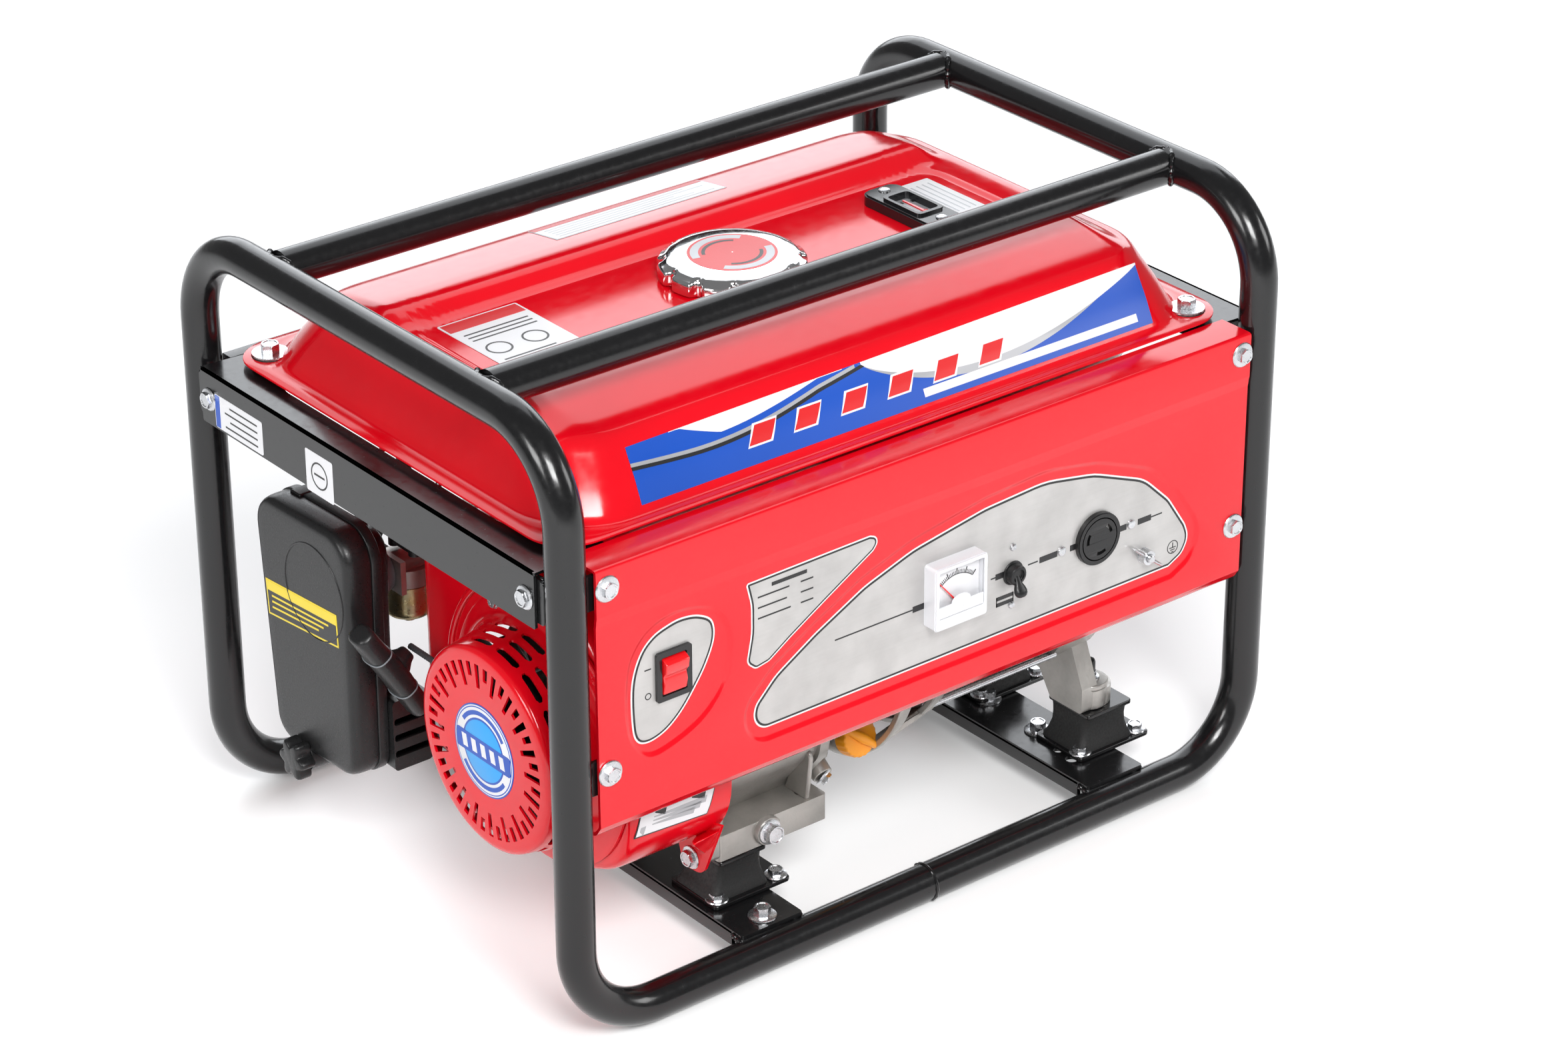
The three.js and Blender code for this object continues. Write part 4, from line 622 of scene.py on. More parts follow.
def end_plate(side):
    x0, x1 = sorted((side * 295, side * 297))
    web = prism(rectangle(-186.5, 186.5, 298, 336.5, 1.5), "x", x0, x1)
    corners = [(297, -187), (297, 187), (240, 183, 5), (240, 138, 5), (274, 126, 14)]
    corners += [(274, -126, 14), (240, -138, 5), (240, -183, 5)]
    flange = rounded([(side * c[0], *c[1:]) for c in corners], 1)
    holes = [circle(4.5, 20, (side * 257, end * 163)) for end in SIDES]
    return web + prism(flange, "z", 334.5, 336.5, holes)


for side, name in ((-1, "left"), (1, "right")):
    piece(f"end_angle_{name}", end_plate(side), BLACK_PAINT, replaces=[f"end_plate_{name}"], bevel=0.6)
    bolt = hex_head(10, 4.2, flange=7.8)
    bolts = together(bolt.facing((side, 0, 0), (side * 297, end * 177, 316.5)) for end in SIDES)
    piece(f"end_bolts_{name}", bolts, ZINC)
rail_section = rounded([(199, 306), (201.5, 306), (201.5, 333.5), (191, 333.5), (191, 331), (199, 331)], 0.6)
piece("rear_angle", prism(rail_section, "x", -270.8, 270.8), BLACK_PAINT, replaces=["rear_rail"], bevel=0.4)


# ---------------------------------------------------------------- control panel

# The y of the panel's main face, of its stamped recesses and of its upper band, and how thick it is.
FACE, RECESS, BAND, SHEET = -210.9, -209.1, -212.2, 2.3
PANEL_X = 270
SWITCH_RECESS = curve_loop(
    [(-250, 250), (-250, 226), (-245, 208), (-231, 196), (-210, 199), (-188, 209), (-172, 226), (-166, 246),
     (-167, 266), (-177, 283), (-195, 291), (-216, 292), (-234, 285), (-246, 270)])
BIG_PLATE = rounded(
    [(-152, 184, 12), (205, 184, 0), (217, 190, 12), (223, 201, 14), (219, 212, 20), (203, 236, 30),
     (180, 258, 40),
     (135, 276, 60), (92, 284, 80), (40, 281, 80), (-20, 271, 80), (-60, 258, 60), (-100, 238, 60),
     (-132, 219, 40),
     (-148, 203, 12)], 12, 6)
BIG_RECESS = inset(BIG_PLATE, -10)


def flat_face(loops, y):
    """A flat face at one y, inside the first loop and outside the others."""
    flat = [p for loop in loops for p in loop]
    caps = tessellate_polygon([[Vector((p[0], p[1], 0)) for p in loop] for loop in loops])
    return Shape([(p[0], y, p[1]) for p in flat], [tuple(t) for t in caps])


def front_skin():
    """The main face with its stamped recesses; panel_sheet folds it back at its bottom edge and out to the
    upper band.
    """
    boundary = rectangle(-PANEL_X, PANEL_X, 161, 299)
    loops = [boundary, SWITCH_RECESS, BIG_RECESS]
    shape = flat_face(loops, FACE)
    for loop in loops[1:]:
        rings = [loop]
        levels = [FACE]
        for by, part in ((0.8, 0.06), (1.8, 0.3), (3.0, 0.72), (4.0, 0.95), (5.0, 1.0)):
            rings.append(inset(loop, by))
            levels.append(FACE + (RECESS - FACE) * part)
        skins = [[(p[0], y, p[1]) for p in ring] for ring, y in zip(rings, levels)]
        shape = shape + loft(skins, closed_ends=False) + flat_face([rings[-1]], RECESS)
    return shape


def fold_line():
    """(y, z) of the panel's outside below and above its main face, with round folds."""
    lower = [(-202.2, 152), (-203.6, 152.1), (-205.4, 153), (-207.4, 155), (-209.2, 158)]
    lower += [(FACE + 0.15, 160), (FACE, 161)]
    upper = [(FACE, 299), (FACE - 0.1, 300), (FACE - 0.5, 301.6), (BAND + 0.5, 304.8), (BAND + 0.1, 306.2)]
    upper += [(BAND, 307.6)]
    upper += [(BAND, 336), (BAND + 0.4, 337.6), (BAND + 1.4, 338.3), (BAND + 3, 338.5), (-184, 338.5)]
    return lower, upper


def folded(line, x0, x1):
    """A strip that follows a (y, z) line, from one x to another."""
    verts = [(x, y, z) for y, z in line for x in (x0, x1)]
    return Shape(verts, [(2 * i, 2 * i + 1, 2 * i + 3, 2 * i + 2) for i in range(len(line) - 1)])


def panel_sheet():
    lower, upper = fold_line()
    shape = front_skin() + folded(lower, -PANEL_X, PANEL_X) + folded(upper, -PANEL_X, PANEL_X)
    front = lower + upper
    back = [(y + SHEET, z) for y, z in front[:-5]]
    back += [(BAND + SHEET, 336.4), (BAND + SHEET + 1.1, 336.9), (-184, 336.9)]
    shape = shape + folded(back, PANEL_X, -PANEL_X)
    edge = front + back[::-1]
    for x in (-PANEL_X, PANEL_X):
        cap = tessellate_polygon([[Vector((p[0], p[1], 0)) for p in edge]])
        shape = shape + Shape([(x, y, z) for y, z in edge], [tuple(t) for t in cap])
    ends = []
    for y0, z0, y1, z1 in ((*front[0], *back[0]), (*front[-1], *back[-1])):
        corners = [(-PANEL_X, y0, z0), (PANEL_X, y0, z0), (PANEL_X, y1, z1), (-PANEL_X, y1, z1)]
        ends.append(Shape(corners, [(0, 1, 2, 3)]))
    return shape + together(ends)


def welded(shape):
    """The same shape with its doubled vertices merged."""
    shell = bmesh.new()
    verts = [shell.verts.new(v) for v in shape.verts]
    for face in shape.faces:
        try:
            shell.faces.new([verts[i] for i in face])
        except ValueError:
            continue
    bmesh.ops.remove_doubles(shell, verts=shell.verts, dist=0.02)
    shell.verts.index_update()
    merged = Shape([v.co.copy() for v in shell.verts], [tuple(v.index for v in f.verts) for f in shell.faces])
    shell.free()
    return merged


piece("panel_sheet", welded(panel_sheet()), RED_PAINT, replaces=["front_panel"], sharp=28)
panel_bolt = hex_head(9.5, 5, flange=8.6)
panel_bolts = together(panel_bolt.facing((0, -1, 0), (side * 262, y, z))
                       for side in SIDES for z, y in ((325, BAND), (197, FACE)))
piece("panel_bolts", panel_bolts, ZINC)

SWITCH_PLATE = curve_loop(
    [(-243.5, 250), (-243.5, 222), (-240, 210), (-231, 206.5), (-218, 210), (-206, 219), (-196, 231),
     (-186, 246),
     (-179.5, 262), (-181, 275), (-191, 282), (-203, 284.5), (-214, 283.5), (-227, 279), (-237, 269)])
layered("switch_plate", SWITCH_PLATE, RECESS + 0.2,
        [(0, WHITE_LABEL), (1.2, BLACK_LABEL), (2.6, BRUSHED)])
layered("outlet_plate", BIG_PLATE, RECESS + 0.2,
        [(0, WHITE_LABEL), (1.2, BLACK_LABEL), (2.7, BRUSHED)])
DATA_PLATE = rounded(
    [(-156, 292, 2), (-57, 293.5, 4), (-48, 290, 5), (-54, 282, 6), (-94, 259, 60), (-121, 243, 40),
     (-138, 232, 8),
     (-149, 230, 5), (-156, 236, 6), (-152, 256, 40), (-152, 276, 30)], 3, 8)
layered("data_plate", DATA_PLATE, FACE + 0.1,
        [(0, WHITE_LABEL), (1.0, BLACK_LABEL), (2.2, BRUSHED)])
data_rows = Shape([], [])
for k, (x0, x1) in enumerate(((-136, -108), (-147, -122), (-147, -124), (-147, -121))):
    half = 1.3 if k == 0 else 0.55
    z = 285.6 - 7.4 * k + (1.5 if k else 0)
    data_rows = data_rows + prism(rectangle(x0, x1, z - half, z + half), "y", FACE - 0.1, FACE - 0.5)
    if k:
        data_rows = data_rows + prism(rectangle(-113, -103, z - half, z + half), "y", FACE - 0.1, FACE - 0.5)
piece("data_plate_rows", data_rows, BLACK_LABEL)
PLATE_TOP = RECESS + 0.2 - 0.3 - 0.24


def mark(x0, x1, z0, z1):
    return prism(rectangle(x0, x1, z0, z1), "y", PLATE_TOP + 0.2, PLATE_TOP - 0.08)


def ring_mark(x, z, outer, inner, count):
    hole = circle(inner, count, (x, z))
    return prism(circle(outer, count, (x, z)), "y", PLATE_TOP + 0.2, PLATE_TOP - 0.08, [hole])


diagram = Shape([], [])
for x0, x1, half in ((-84, -20, 0.5), (-20, -7.5, 2.2), (46, 50, 0.5), (50, 61, 2.2), (78, 86.6, 0.5),
                     (88, 103.6, 2.2), (114.7, 124, 2.2), (157, 165, 2.2), (175, 187, 2.2), (187, 197, 0.5)):
    diagram = diagram + mark(x0, x1, 227.3 - half, 227.3 + half)
for x0, x1, z0, z1 in ((51, 66, 206.8, 207.6), (51, 66, 211.2, 212), (51, 51.8, 206.8, 212),
                       (65.2, 66, 206.8, 212)):
    diagram = diagram + mark(x0, x1, z0 - 2, z1)
piece("wiring_diagram", diagram, BLACK_LABEL)
symbols = mark(-233.4, -228.4, 257, 257.9)
symbols = symbols + ring_mark(-231, 239, 2.4, 1.7, 24)
earth = ring_mark(208, 198, 5, 4.3, 32)
for half, z in ((3, 197.6), (2, 196), (1, 194.4)):
    earth = earth + mark(208 - half, 208 + half, z - 0.35, z + 0.35)
piece("panel_symbols", symbols + earth + mark(207.6, 208.4, 197.6, 201.4), BLACK_LABEL)

# Screws that hold the outlet, the breaker and the meter.
small_screws = together(
    pan_screw(r, 1.8).facing((0, -1, 0), (x, PLATE_TOP, z))
    for x, z, r in ((107.2, 228, 3.4), (168.8, 228, 3.4), (64.6, 245, 2.6), (64, 203, 2.6)))
piece("plate_screws", small_screws, ZINC)


# ---------------------------------------------------------------- devices on the panel

SX, SZ = -212, 249.5
bezel = rectangle(SX - 13.5, SX + 13.5, SZ - 17, SZ + 17, 2)
mouth = rectangle(SX - 9.6, SX + 9.6, SZ - 13.4, SZ + 13.4, 0.8)
housing = prism(bezel, "y", -211.6, -208.4, [mouth])
housing = housing + prism(rectangle(SX - 10.4, SX + 10.4, SZ - 14.4, SZ + 14.4, 1), "y", -209, -193, [mouth])
housing = housing + block(SX - 10, SX + 10, -196, -193, SZ - 14, SZ + 14)
piece("switch_bezel", housing, GLOSS_BLACK, replaces=["switch_housing"], bevel=0.4)

ROCKER_Y = -207.5


def rocker_outline():
    """(y, z) of the rocker's side: two gloss facets that meet in a shallow valley."""
    points = []
    for degrees, radius in ((180, 4.6), (155, 8.2), (130, 12.9), (112, 12.9), (95, 12.9), (50, 7.8),
                            (-50, 7.8), (-95, 12.9), (-103, 12.9), (-111, 12.9), (-140, 8.0)):
        a = math.radians(degrees)
        points.append(Vector((ROCKER_Y + radius * math.cos(a), SZ + radius * math.sin(a))))
    return points


piece("rocker", prism(rocker_outline(), "x", SX - 8.9, SX + 8.9), RED_PLASTIC, "engine_switch",
      replaces=["engine_switch"], bevel=0.7, steps=3)
rocker_marks = block(SX - 2.6, SX + 2.6, -215.0, -214.3, 258.2, 259.0).turned(-38, "X", (SX, -214.4, 258.6))
piece("rocker_mark", rocker_marks, WHITE_LABEL, "engine_switch")

MX, MZ, METER_Y = 11.5, 234, -221
case_edge = rectangle(MX - 22, MX + 22, MZ - 22.5, MZ + 22.5, 2.5)
dial_edge = rectangle(MX - 19, MX + 19, MZ - 14, MZ + 19.5, 1.5)
case = prism(case_edge, "y", METER_Y + 1.2, -209.3, [dial_edge])
case = case + prism(inset(case_edge, 0.7), "y", METER_Y, METER_Y + 1.6, [dial_edge])
case = case + block(MX - 21, MX + 21, METER_Y + 6, METER_Y + 7.6, MZ - 15, MZ + 20.5)
case = case + rod((MX, -209.6, MZ), (MX, -186, MZ), 16.4, 40)
piece("meter_case", case, WHITE_PLASTIC, replaces=["voltmeter_case"], bevel=0.6, steps=3)
piece("meter_dial", prism(inset(dial_edge, 0.2), "y", METER_Y + 6.1, METER_Y + 5.3), WHITE_LABEL)
dial_marks = Shape([], [])
PIVOT_Z = MZ - 8.5
for k in range(25):
    a = math.radians(-41 + 82 * k / 24)
    out = 24.2 if k % 6 == 0 else 22.6
    half = 0.4 if k % 6 == 0 else 0.25
    tick = block(-half, half, METER_Y + 5.2, METER_Y + 5.32, 20.2, out)
    dial_marks = dial_marks + tick.turned(math.degrees(a), "Y").at(MX, 0, PIVOT_Z)
arc = [(20.2 * math.sin(math.radians(a)), 20.2 * math.cos(math.radians(a))) for a in range(-41, 42, 2)]
arc += [(19.7 * math.sin(math.radians(a)), 19.7 * math.cos(math.radians(a))) for a in range(41, -42, -2)]
arc = [Vector((MX + u, PIVOT_Z + v)) for u, v in arc]
dial_marks = dial_marks + prism(arc, "y", METER_Y + 5.2, METER_Y + 5.32)
piece("meter_scale", dial_marks, BLACK_LABEL)

# The lower cover of the dial: white, with an arched cut-out round the pivot.
cover = [(MX - 18.8, MZ - 13.8), (MX + 18.8, MZ - 13.8), (MX + 18.8, MZ - 5.5)]
cover += [(MX + 8 * math.cos(a / 12 * math.pi), MZ - 5.5 + 5 * math.sin(a / 12 * math.pi)) for a in range(13)]
cover += [(MX - 18.8, MZ - 5.5)]
piece("meter_cover", prism([Vector(p) for p in cover], "y", METER_Y + 1.2, METER_Y + 0.2), WHITE_PLASTIC,
      bevel=0.3)
hub = lathe([(0, 0), (3.6, 0), (3.4, 0.5), (2.4, 1.0), (0, 1.15)], 32)
piece("meter_hub", hub.facing((0, -1, 0), (MX, METER_Y + 1.2, MZ - 9)), WHITE_PLASTIC)
zero_screw = pan_screw(2.2, 0.6).facing((0, -1, 0), (MX + 0.3, METER_Y + 0.7, 216.8))
piece("meter_zero_screw", zero_screw, GLOSS_BLACK)
corner_screws = together(
    pan_screw(1.5, 0.5).facing((0, -1, 0), (MX + side * 18.5, METER_Y + 0.6, MZ - 18.5)) for side in SIDES)
piece("meter_corner_screws", corner_screws, BRASS)

needle = prism([Vector(p) for p in ((-0.75, -5), (0.75, -5), (0.3, 26), (-0.3, 26))], "y", 2.9, 3.5)
needle_hub = lathe([(0, 0), (1.8, 0), (1.8, 1.8), (1.2, 2.3), (0, 2.3)], 24)
needle = needle + needle_hub.facing((0, -1, 0), (0, 4.4, 0))
needle = needle.turned(-41, "Y").at(MX, METER_Y, PIVOT_Z)
piece("meter_needle", needle, RED_PLASTIC, "voltmeter_needle", replaces=["voltmeter_needle"])

BX, BZ = 65, 226
nose = [(0, 0), (7, 0), (7, 9.6), (6.4, 10.6), (4.6, 11), (4.6, 9.2), (0, 9.2)]
breaker = lathe(nose, 40).facing((0, -1, 0), (BX, -205, BZ))
breaker = breaker + lathe([(0, 0), (8.6, 0), (8.4, 0.9), (7, 1.2), (0, 1.2)], 40).facing((0, -1, 0),
                                                                                         (BX, PLATE_TOP, BZ))
breaker = breaker + prism(rectangle(BX - 11, BX + 11, BZ - 20, BZ + 20, 2), "y", -206.6, -184)
piece("breaker", breaker, BLACK_PLASTIC, replaces=["breaker_body"], bevel=0.3)


def paddle():
    """The toggle: a waisted lever whose end flattens into a paddle."""
    rings = []
    for along, wide, thick in ((-1.5, 2.3, 1.8), (1, 2.4, 1.9), (4, 2.5, 1.9), (7, 3.1, 2.0), (9, 4.2, 2.2),
                               (11.5, 4.9, 2.6), (13.5, 4.6, 2.7), (15, 3.5, 2.3), (15.8, 2, 1.3)):
        count = 20
        ring = []
        for k in range(count):
            a = 2 * math.pi * k / count
            c, s = math.cos(a), math.sin(a)
            ring.append(Vector((wide * math.copysign(abs(c) ** 0.8, c),
                                thick * math.copysign(abs(s) ** 0.8, s), along)))
        rings.append(ring)
    drop = math.radians(62)
    return loft(rings).facing((0, -math.cos(drop), -math.sin(drop)), (BX, -212, BZ))


piece("toggle", paddle(), BLACK_PLASTIC, "breaker_toggle", replaces=["breaker_toggle"], sharp=60)

OX, OZ, OUTLET_R = 138, 228, 18.7


# Half the angle that each curved slot of the outlet takes up, in degrees.
SLOT_REACH = math.degrees(0.36)
slots = [arc_band(9.2, 11.6, middle - SLOT_REACH, middle + SLOT_REACH, (OX, OZ), 10)
         for middle in (167.4, 36, -81)]
outlet = prism(circle(17.9, 64, (OX, OZ)), "y", -213, -211.6, slots)
outlet = outlet + prism(circle(OUTLET_R, 64, (OX, OZ)), "y", -212.4, -207, slots)
outlet = outlet + prism(circle(OUTLET_R, 64, (OX, OZ)), "y", -207, -184)
outlet = outlet + prism(rectangle(OX - 37, OX + 37, OZ - 8, OZ + 8, 2), "y", -206.9, -204.4)
piece("outlet", outlet, BLACK_PLASTIC, replaces=["power_socket"], bevel=0.45)
ring = prism(circle(15.4, 64, (OX, OZ)), "y", -213.0, -212.9, [circle(14.6, 64, (OX, OZ))])
piece("outlet_ring", ring, GLOSS_BLACK)

GX, GZ = 181, 201
stud = lathe([(0, 0), (5.4, 0), (5.4, 0.8), (2.7, 1.0), (2.7, 9), (2.2, 9.4), (0, 9.4)], 24)
piece("earth_stud", stud.facing((0, -1, 0), (GX, PLATE_TOP, GZ)), ZINC)
nut = prism(circle(5.2, 32), "z", 1.3, 7, [circle(2.95, 32)])
for side in SIDES:
    blade = []
    for along, half, rise in ((4.2, 1.5, 0), (8, 1.35, 1), (12, 1.2, 2), (14.6, 1.1, 2.2), (15.4, 0.6, 2)):
        ring = []
        for k in range(16):
            a = 2 * math.pi * k / 16
            ring.append(Vector((side * along, half * math.cos(a), 4 + rise * 0.3 + 2.6 * math.sin(a))))
        blade.append(ring)
    nut = nut + loft(blade)
nut = nut.turned(-38, "Z").facing((0, -1, 0), (GX, -209.0, GZ))
piece("wing_nut", nut, ZINC, "ground_wing_nut", replaces=["ground_wing_nut"], bevel=0.3)

tray_outer = rectangle(30, 222, 200, 286, 8)
tray = prism(tray_outer, "y", -207.1, -180.4, [inset(tray_outer, 2.6)]) + prism(tray_outer, "y", -180.5, -178)
piece("electrics_tray", tray, BLACK_PLASTIC, replaces=["control_box"], bevel=0.8)


# ---------------------------------------------------------------- fuel tank

# Steps in a corner of the tank's rings, along its long sides and across its short ones.
CORNER_STEPS, ALONG_STEPS, ACROSS_STEPS = 10, 64, 30


def rounded_ring(half_x, half_y, radius):
    """Points round a level rounded rectangle, the same number on every ring."""
    points = []
    r = min(radius, half_x - 0.01, half_y - 0.01)
    centres = [(half_x - r, half_y - r), (r - half_x, half_y - r), (r - half_x, r - half_y),
               (half_x - r, r - half_y)]
    for q, (cx, cy) in enumerate(centres):
        for k in range(CORNER_STEPS + 1):
            a = math.pi / 2 * (q + k / CORNER_STEPS)
            points.append((cx + r * math.cos(a), cy + r * math.sin(a)))
        nx, ny = centres[(q + 1) % 4]
        a = math.pi / 2 * (q + 1)
        start = (cx + r * math.cos(a), cy + r * math.sin(a))
        end = (nx + r * math.cos(a), ny + r * math.sin(a))
        count = ALONG_STEPS if q % 2 == 0 else ACROSS_STEPS
        for k in range(1, count):
            t = k / count
            points.append((start[0] + (end[0] - start[0]) * t, start[1] + (end[1] - start[1]) * t))
    return points


LOBE_Y = (0, 57, 60, 63, 68, 73, 78, 84, 92, 104, 120, 136, 150)
LOBE_Z = (385.5, 385.5, 385.8, 387.2, 391.2, 393.8, 394.5, 394.4, 393.6, 391.9, 389.5, 387.2, 385.2)


def crown_height(x, y):
    """The height of the tank's top: two raised lobes along X and a sunk pan between them."""
    lobe = float(np.interp(abs(y), LOBE_Y, LOBE_Z))
    end = float(smooth(218, 240, abs(x)))
    lobe = 385.5 + (lobe - 385.5) * (1 - end)
    qx, qy = abs(x) - 199, abs(y) - 41
    outside = math.hypot(max(qx, 0), max(qy, 0)) + min(max(qx, qy), 0) - 15
    sunk = float(smooth(3.0, -0.5, outside))
    return lobe + (384 - lobe) * sunk


def crown_fall(inward):
    """How far the crown drops towards the shoulder, at a distance inside it."""
    return 3.0 * math.exp(-max(inward, 0) / 5.5)


def tank_crown():
    rings = []
    for half_x, half_y, radius, z in (
        (276.6, 183.6, 29, 340.2), (278, 185, 30, 340.9), (278, 185, 30, 341.6), (277.5, 184.5, 30, 342),
        (270, 179.5, 44, 342.05), (266.4, 176.4, 50, 342.3), (264.2, 174.3, 50, 343.2),
        (262.9, 172.9, 50, 344.8),
        (261.8, 171.4, 50, 347.4), (257.6, 162.6, 49, 360), (253.2, 153.6, 48, 371),
        (250.6, 148.9, 47, 377.2),
        (249.2, 146.6, 46.5, 380.4), (247.4, 144.3, 46, 382.8)):
        rings.append([(x, y, z) for x, y in rounded_ring(half_x, half_y, radius)])
    inward = 0
    while inward < 141:
        half_x, half_y = 245.4 - inward, 141.8 - inward
        ring = []
        for x, y in rounded_ring(half_x, half_y, max(45 - inward, 12)):
            ring.append((x, y, min(394.5, crown_height(x, y) - crown_fall(inward) * 0.55)))
        rings.append(ring)
        inward += 1.2 if inward < 6 else (2.0 if inward < 92 else 6.0)
    shape = loft(rings, closed_ends=False)
    last = len(rings) - 1
    n = len(rings[0])
    shape.faces.append(tuple(range(last * n, last * n + n)))
    shape.faces.append(tuple(reversed(range(n))))
    return shape


piece("tank_crown", tank_crown(), RED_PAINT, replaces=["tank_upper"], sharp=50)


def tank_pan_shape():
    rings = []
    for half_x, half_y, radius, z in (
        (266.6, 179.6, 29, 339.9), (268, 181, 30, 339.4), (268, 181, 30, 338.6), (267, 180, 30, 338.1),
        (250, 160, 49, 338), (247, 157, 48, 337), (245.8, 155.6, 48, 334), (243.5, 152, 47, 322),
        (241, 149, 46, 312),
        (239, 147, 45, 309), (236, 144, 44, 307), (231, 139, 42, 306.1), (226, 134, 40, 306),
        (120, 30, 20, 306)):
        rings.append([(x, y, z) for x, y in rounded_ring(half_x, half_y, radius)])
    return loft(rings)


piece("tank_bottom", tank_pan_shape(), RED_PAINT, replaces=["tank_lower"], sharp=50)

EARS = [(side * 257, end * 163) for side in SIDES for end in SIDES]
ear_bolts = together(hex_head(11, 6).turned(math.copysign(20, x * y), "Z").at(x, y, 344.4) for x, y in EARS)
piece("tank_bolts", ear_bolts, ZINC)
washer = lathe([(0, 342.7), (12.2, 342.7), (12.5, 343.2), (12.3, 344.2), (0, 344.4)], 40)
piece("tank_washers", together(washer.at(x, y, 0) for x, y in EARS), ZINC)
bush = lathe([(0, 336.7), (12.4, 336.7), (12.8, 338), (12.8, 341.8), (12.2, 342.7), (0, 342.7)], 32)
piece("tank_rubbers", together(bush.at(x, y, 0) for x, y in EARS), RUBBER)
neck = lathe([(24, 384), (27, 384), (27.4, 385.4), (27, 389.6), (26.4, 390), (24.4, 390), (24, 389.4),
              (24, 384)], 48)
piece("filler_neck", neck, RED_PAINT)


def scalloped_cap():
    """Chrome skirt with scalloped grips, rolled over into a low dome."""
    levels = ((385, 48.6, 1), (385.6, 49.7, 1), (388, 50, 1), (392.4, 50, 1), (394.2, 49.4, 0.95),
              (395.2, 48.2, 0.75), (395.9, 46.4, 0.4), (397.2, 45, 0.1), (398.4, 42.6, 0), (399.1, 38, 0),
              (399.45, 30, 0), (399.6, 15, 0))
    rings = []
    for z, radius, depth in levels:
        ring = []
        for k in range(240):
            a = 2 * math.pi * k / 240
            phase = (k * 12 / 240) % 1
            dip = float(smooth(0.60, 0.72, phase) * (1 - smooth(0.86, 0.98, phase)))
            r = radius - 4.0 * depth * dip
            ring.append((r * math.cos(a), r * math.sin(a), z))
        rings.append(ring)
    under = [(49.0, 385), (30, 386), (30, 391), (22.8, 391), (22.8, 376), (10, 376)]
    lower = [[(p.x, p.y, z) for p in circle(r, 240)] for r, z in under[1:]]
    return loft(lower[::-1] + rings)


piece("filler_cap", scalloped_cap(), CHROME, "fuel_cap", replaces=["fuel_cap"], sharp=50)

GAUGE_X = 155
gauge_edge = rectangle(GAUGE_X - 15.5, GAUGE_X + 15.5, -38.5, 38.5, 9, 10)
window = rectangle(GAUGE_X - 9, GAUGE_X + 9, -17, 17, 3)
gauge = prism(gauge_edge, "z", 384.3, 391.2, [window])
gauge = gauge + prism(inset(gauge_edge, 1.4), "z", 391, 392.2, [window])
lip = rectangle(GAUGE_X - 11.5, GAUGE_X + 11.5, -20, 20, 4)
gauge = gauge + prism(lip, "z", 392, 394, [window]) + prism(inset(window, -0.5), "z", 384.3, 388.5)
piece("gauge_case", gauge, GLOSS_BLACK, replaces=["fuel_gauge"], bevel=0.6, steps=3)
piece("gauge_dial", prism(inset(window, 0.2), "z", 388.4, 388.8), SILVER_LABEL)
gauge_marks = Shape([], [])
for k in range(5):
    a = math.radians(-20 + 10 * k)
    spot = Vector((GAUGE_X + 24 * math.sin(a), -14 + 24 * math.cos(a)))
    half = 1.1 if k in (0, 4) else 0.6
    gauge_marks = gauge_marks + block(spot.x - half, spot.x + half, spot.y, spot.y + 3, 388.7, 388.95)
piece("gauge_marks", gauge_marks, BLACK_LABEL)
gauge_screws = together(pan_screw(4.2, 1.6).at(GAUGE_X, side * 30, 392.2) for side in SIDES)
piece("gauge_screws", gauge_screws, ZINC)
pointer = lathe([(0, 389), (2.4, 389), (2.4, 392), (1.8, 392.4), (0, 392.4)], 24).at(GAUGE_X, -14, 0)
hand = [Vector((GAUGE_X + u, v)) for u, v in ((-1.2, -16), (1.2, -16), (0.5, 10.5), (-0.5, 10.5))]
pointer = pointer + prism(hand, "z", 390.6, 391.6)
piece("gauge_pointer", pointer, RED_PLASTIC, "fuel_gauge_pointer", replaces=["fuel_gauge_pointer"])


def top_label(name, x0, x1, y0, y1, z, material, radius=1):
    edge = rectangle(x0, x1, y0, y1, radius)
    piece(name, prism(edge, "z", z - 0.3, z), material)


top_label("pan_label", -200, -138, -30, 52, 384.35, WHITE_LABEL, 1.5)
top_label("pan_label_band", -198.5, -139.5, 38, 50.5, 384.5, RED_LABEL, 0.5)
label_bars = Shape([], [])
for k in range(3):
    label_bars = label_bars + prism(rectangle(-194, -144, 29 - 5 * k, 30.4 - 5 * k), "z", 384.2, 384.48)
for x in (-186, -158):
    ring = circle(9, 32, (x, 2))
    label_bars = label_bars + prism(ring, "z", 384.2, 384.48, [circle(7.6, 32, (x, 2))])
for k in range(2):
    label_bars = label_bars + prism(rectangle(-194, -154, -16 - 5 * k, -14.6 - 5 * k), "z", 384.2, 384.48)
piece("pan_label_marks", label_bars, BLACK_LABEL)
top_label("gauge_label", 178, 204, -21, 43, 384.35, WHITE_LABEL, 1)
gauge_label_bars = together(
    prism(rectangle(183 + 5 * k, 184.2 + 5 * k, -15, 36), "z", 384.2, 384.47) for k in range(4))
piece("gauge_label_marks", gauge_label_bars, SILVER_LABEL)


def crown_label(name, x0, x1, y0, y1, lift, material):
    """A label that follows the tank's top."""

    def place(i, j, off):
        x, y = x0 + (x1 - x0) * i / 24, y0 + (y1 - y0) * j / 12
        return Vector((x, y, min(394.5, crown_height(x, y) - crown_fall(141.8 - abs(y)) * 0.55) + off))

    piece(name, grid_shell(24, 12, lambda i, j: place(i, j, lift), lambda i, j: place(i, j, -0.3)), material)


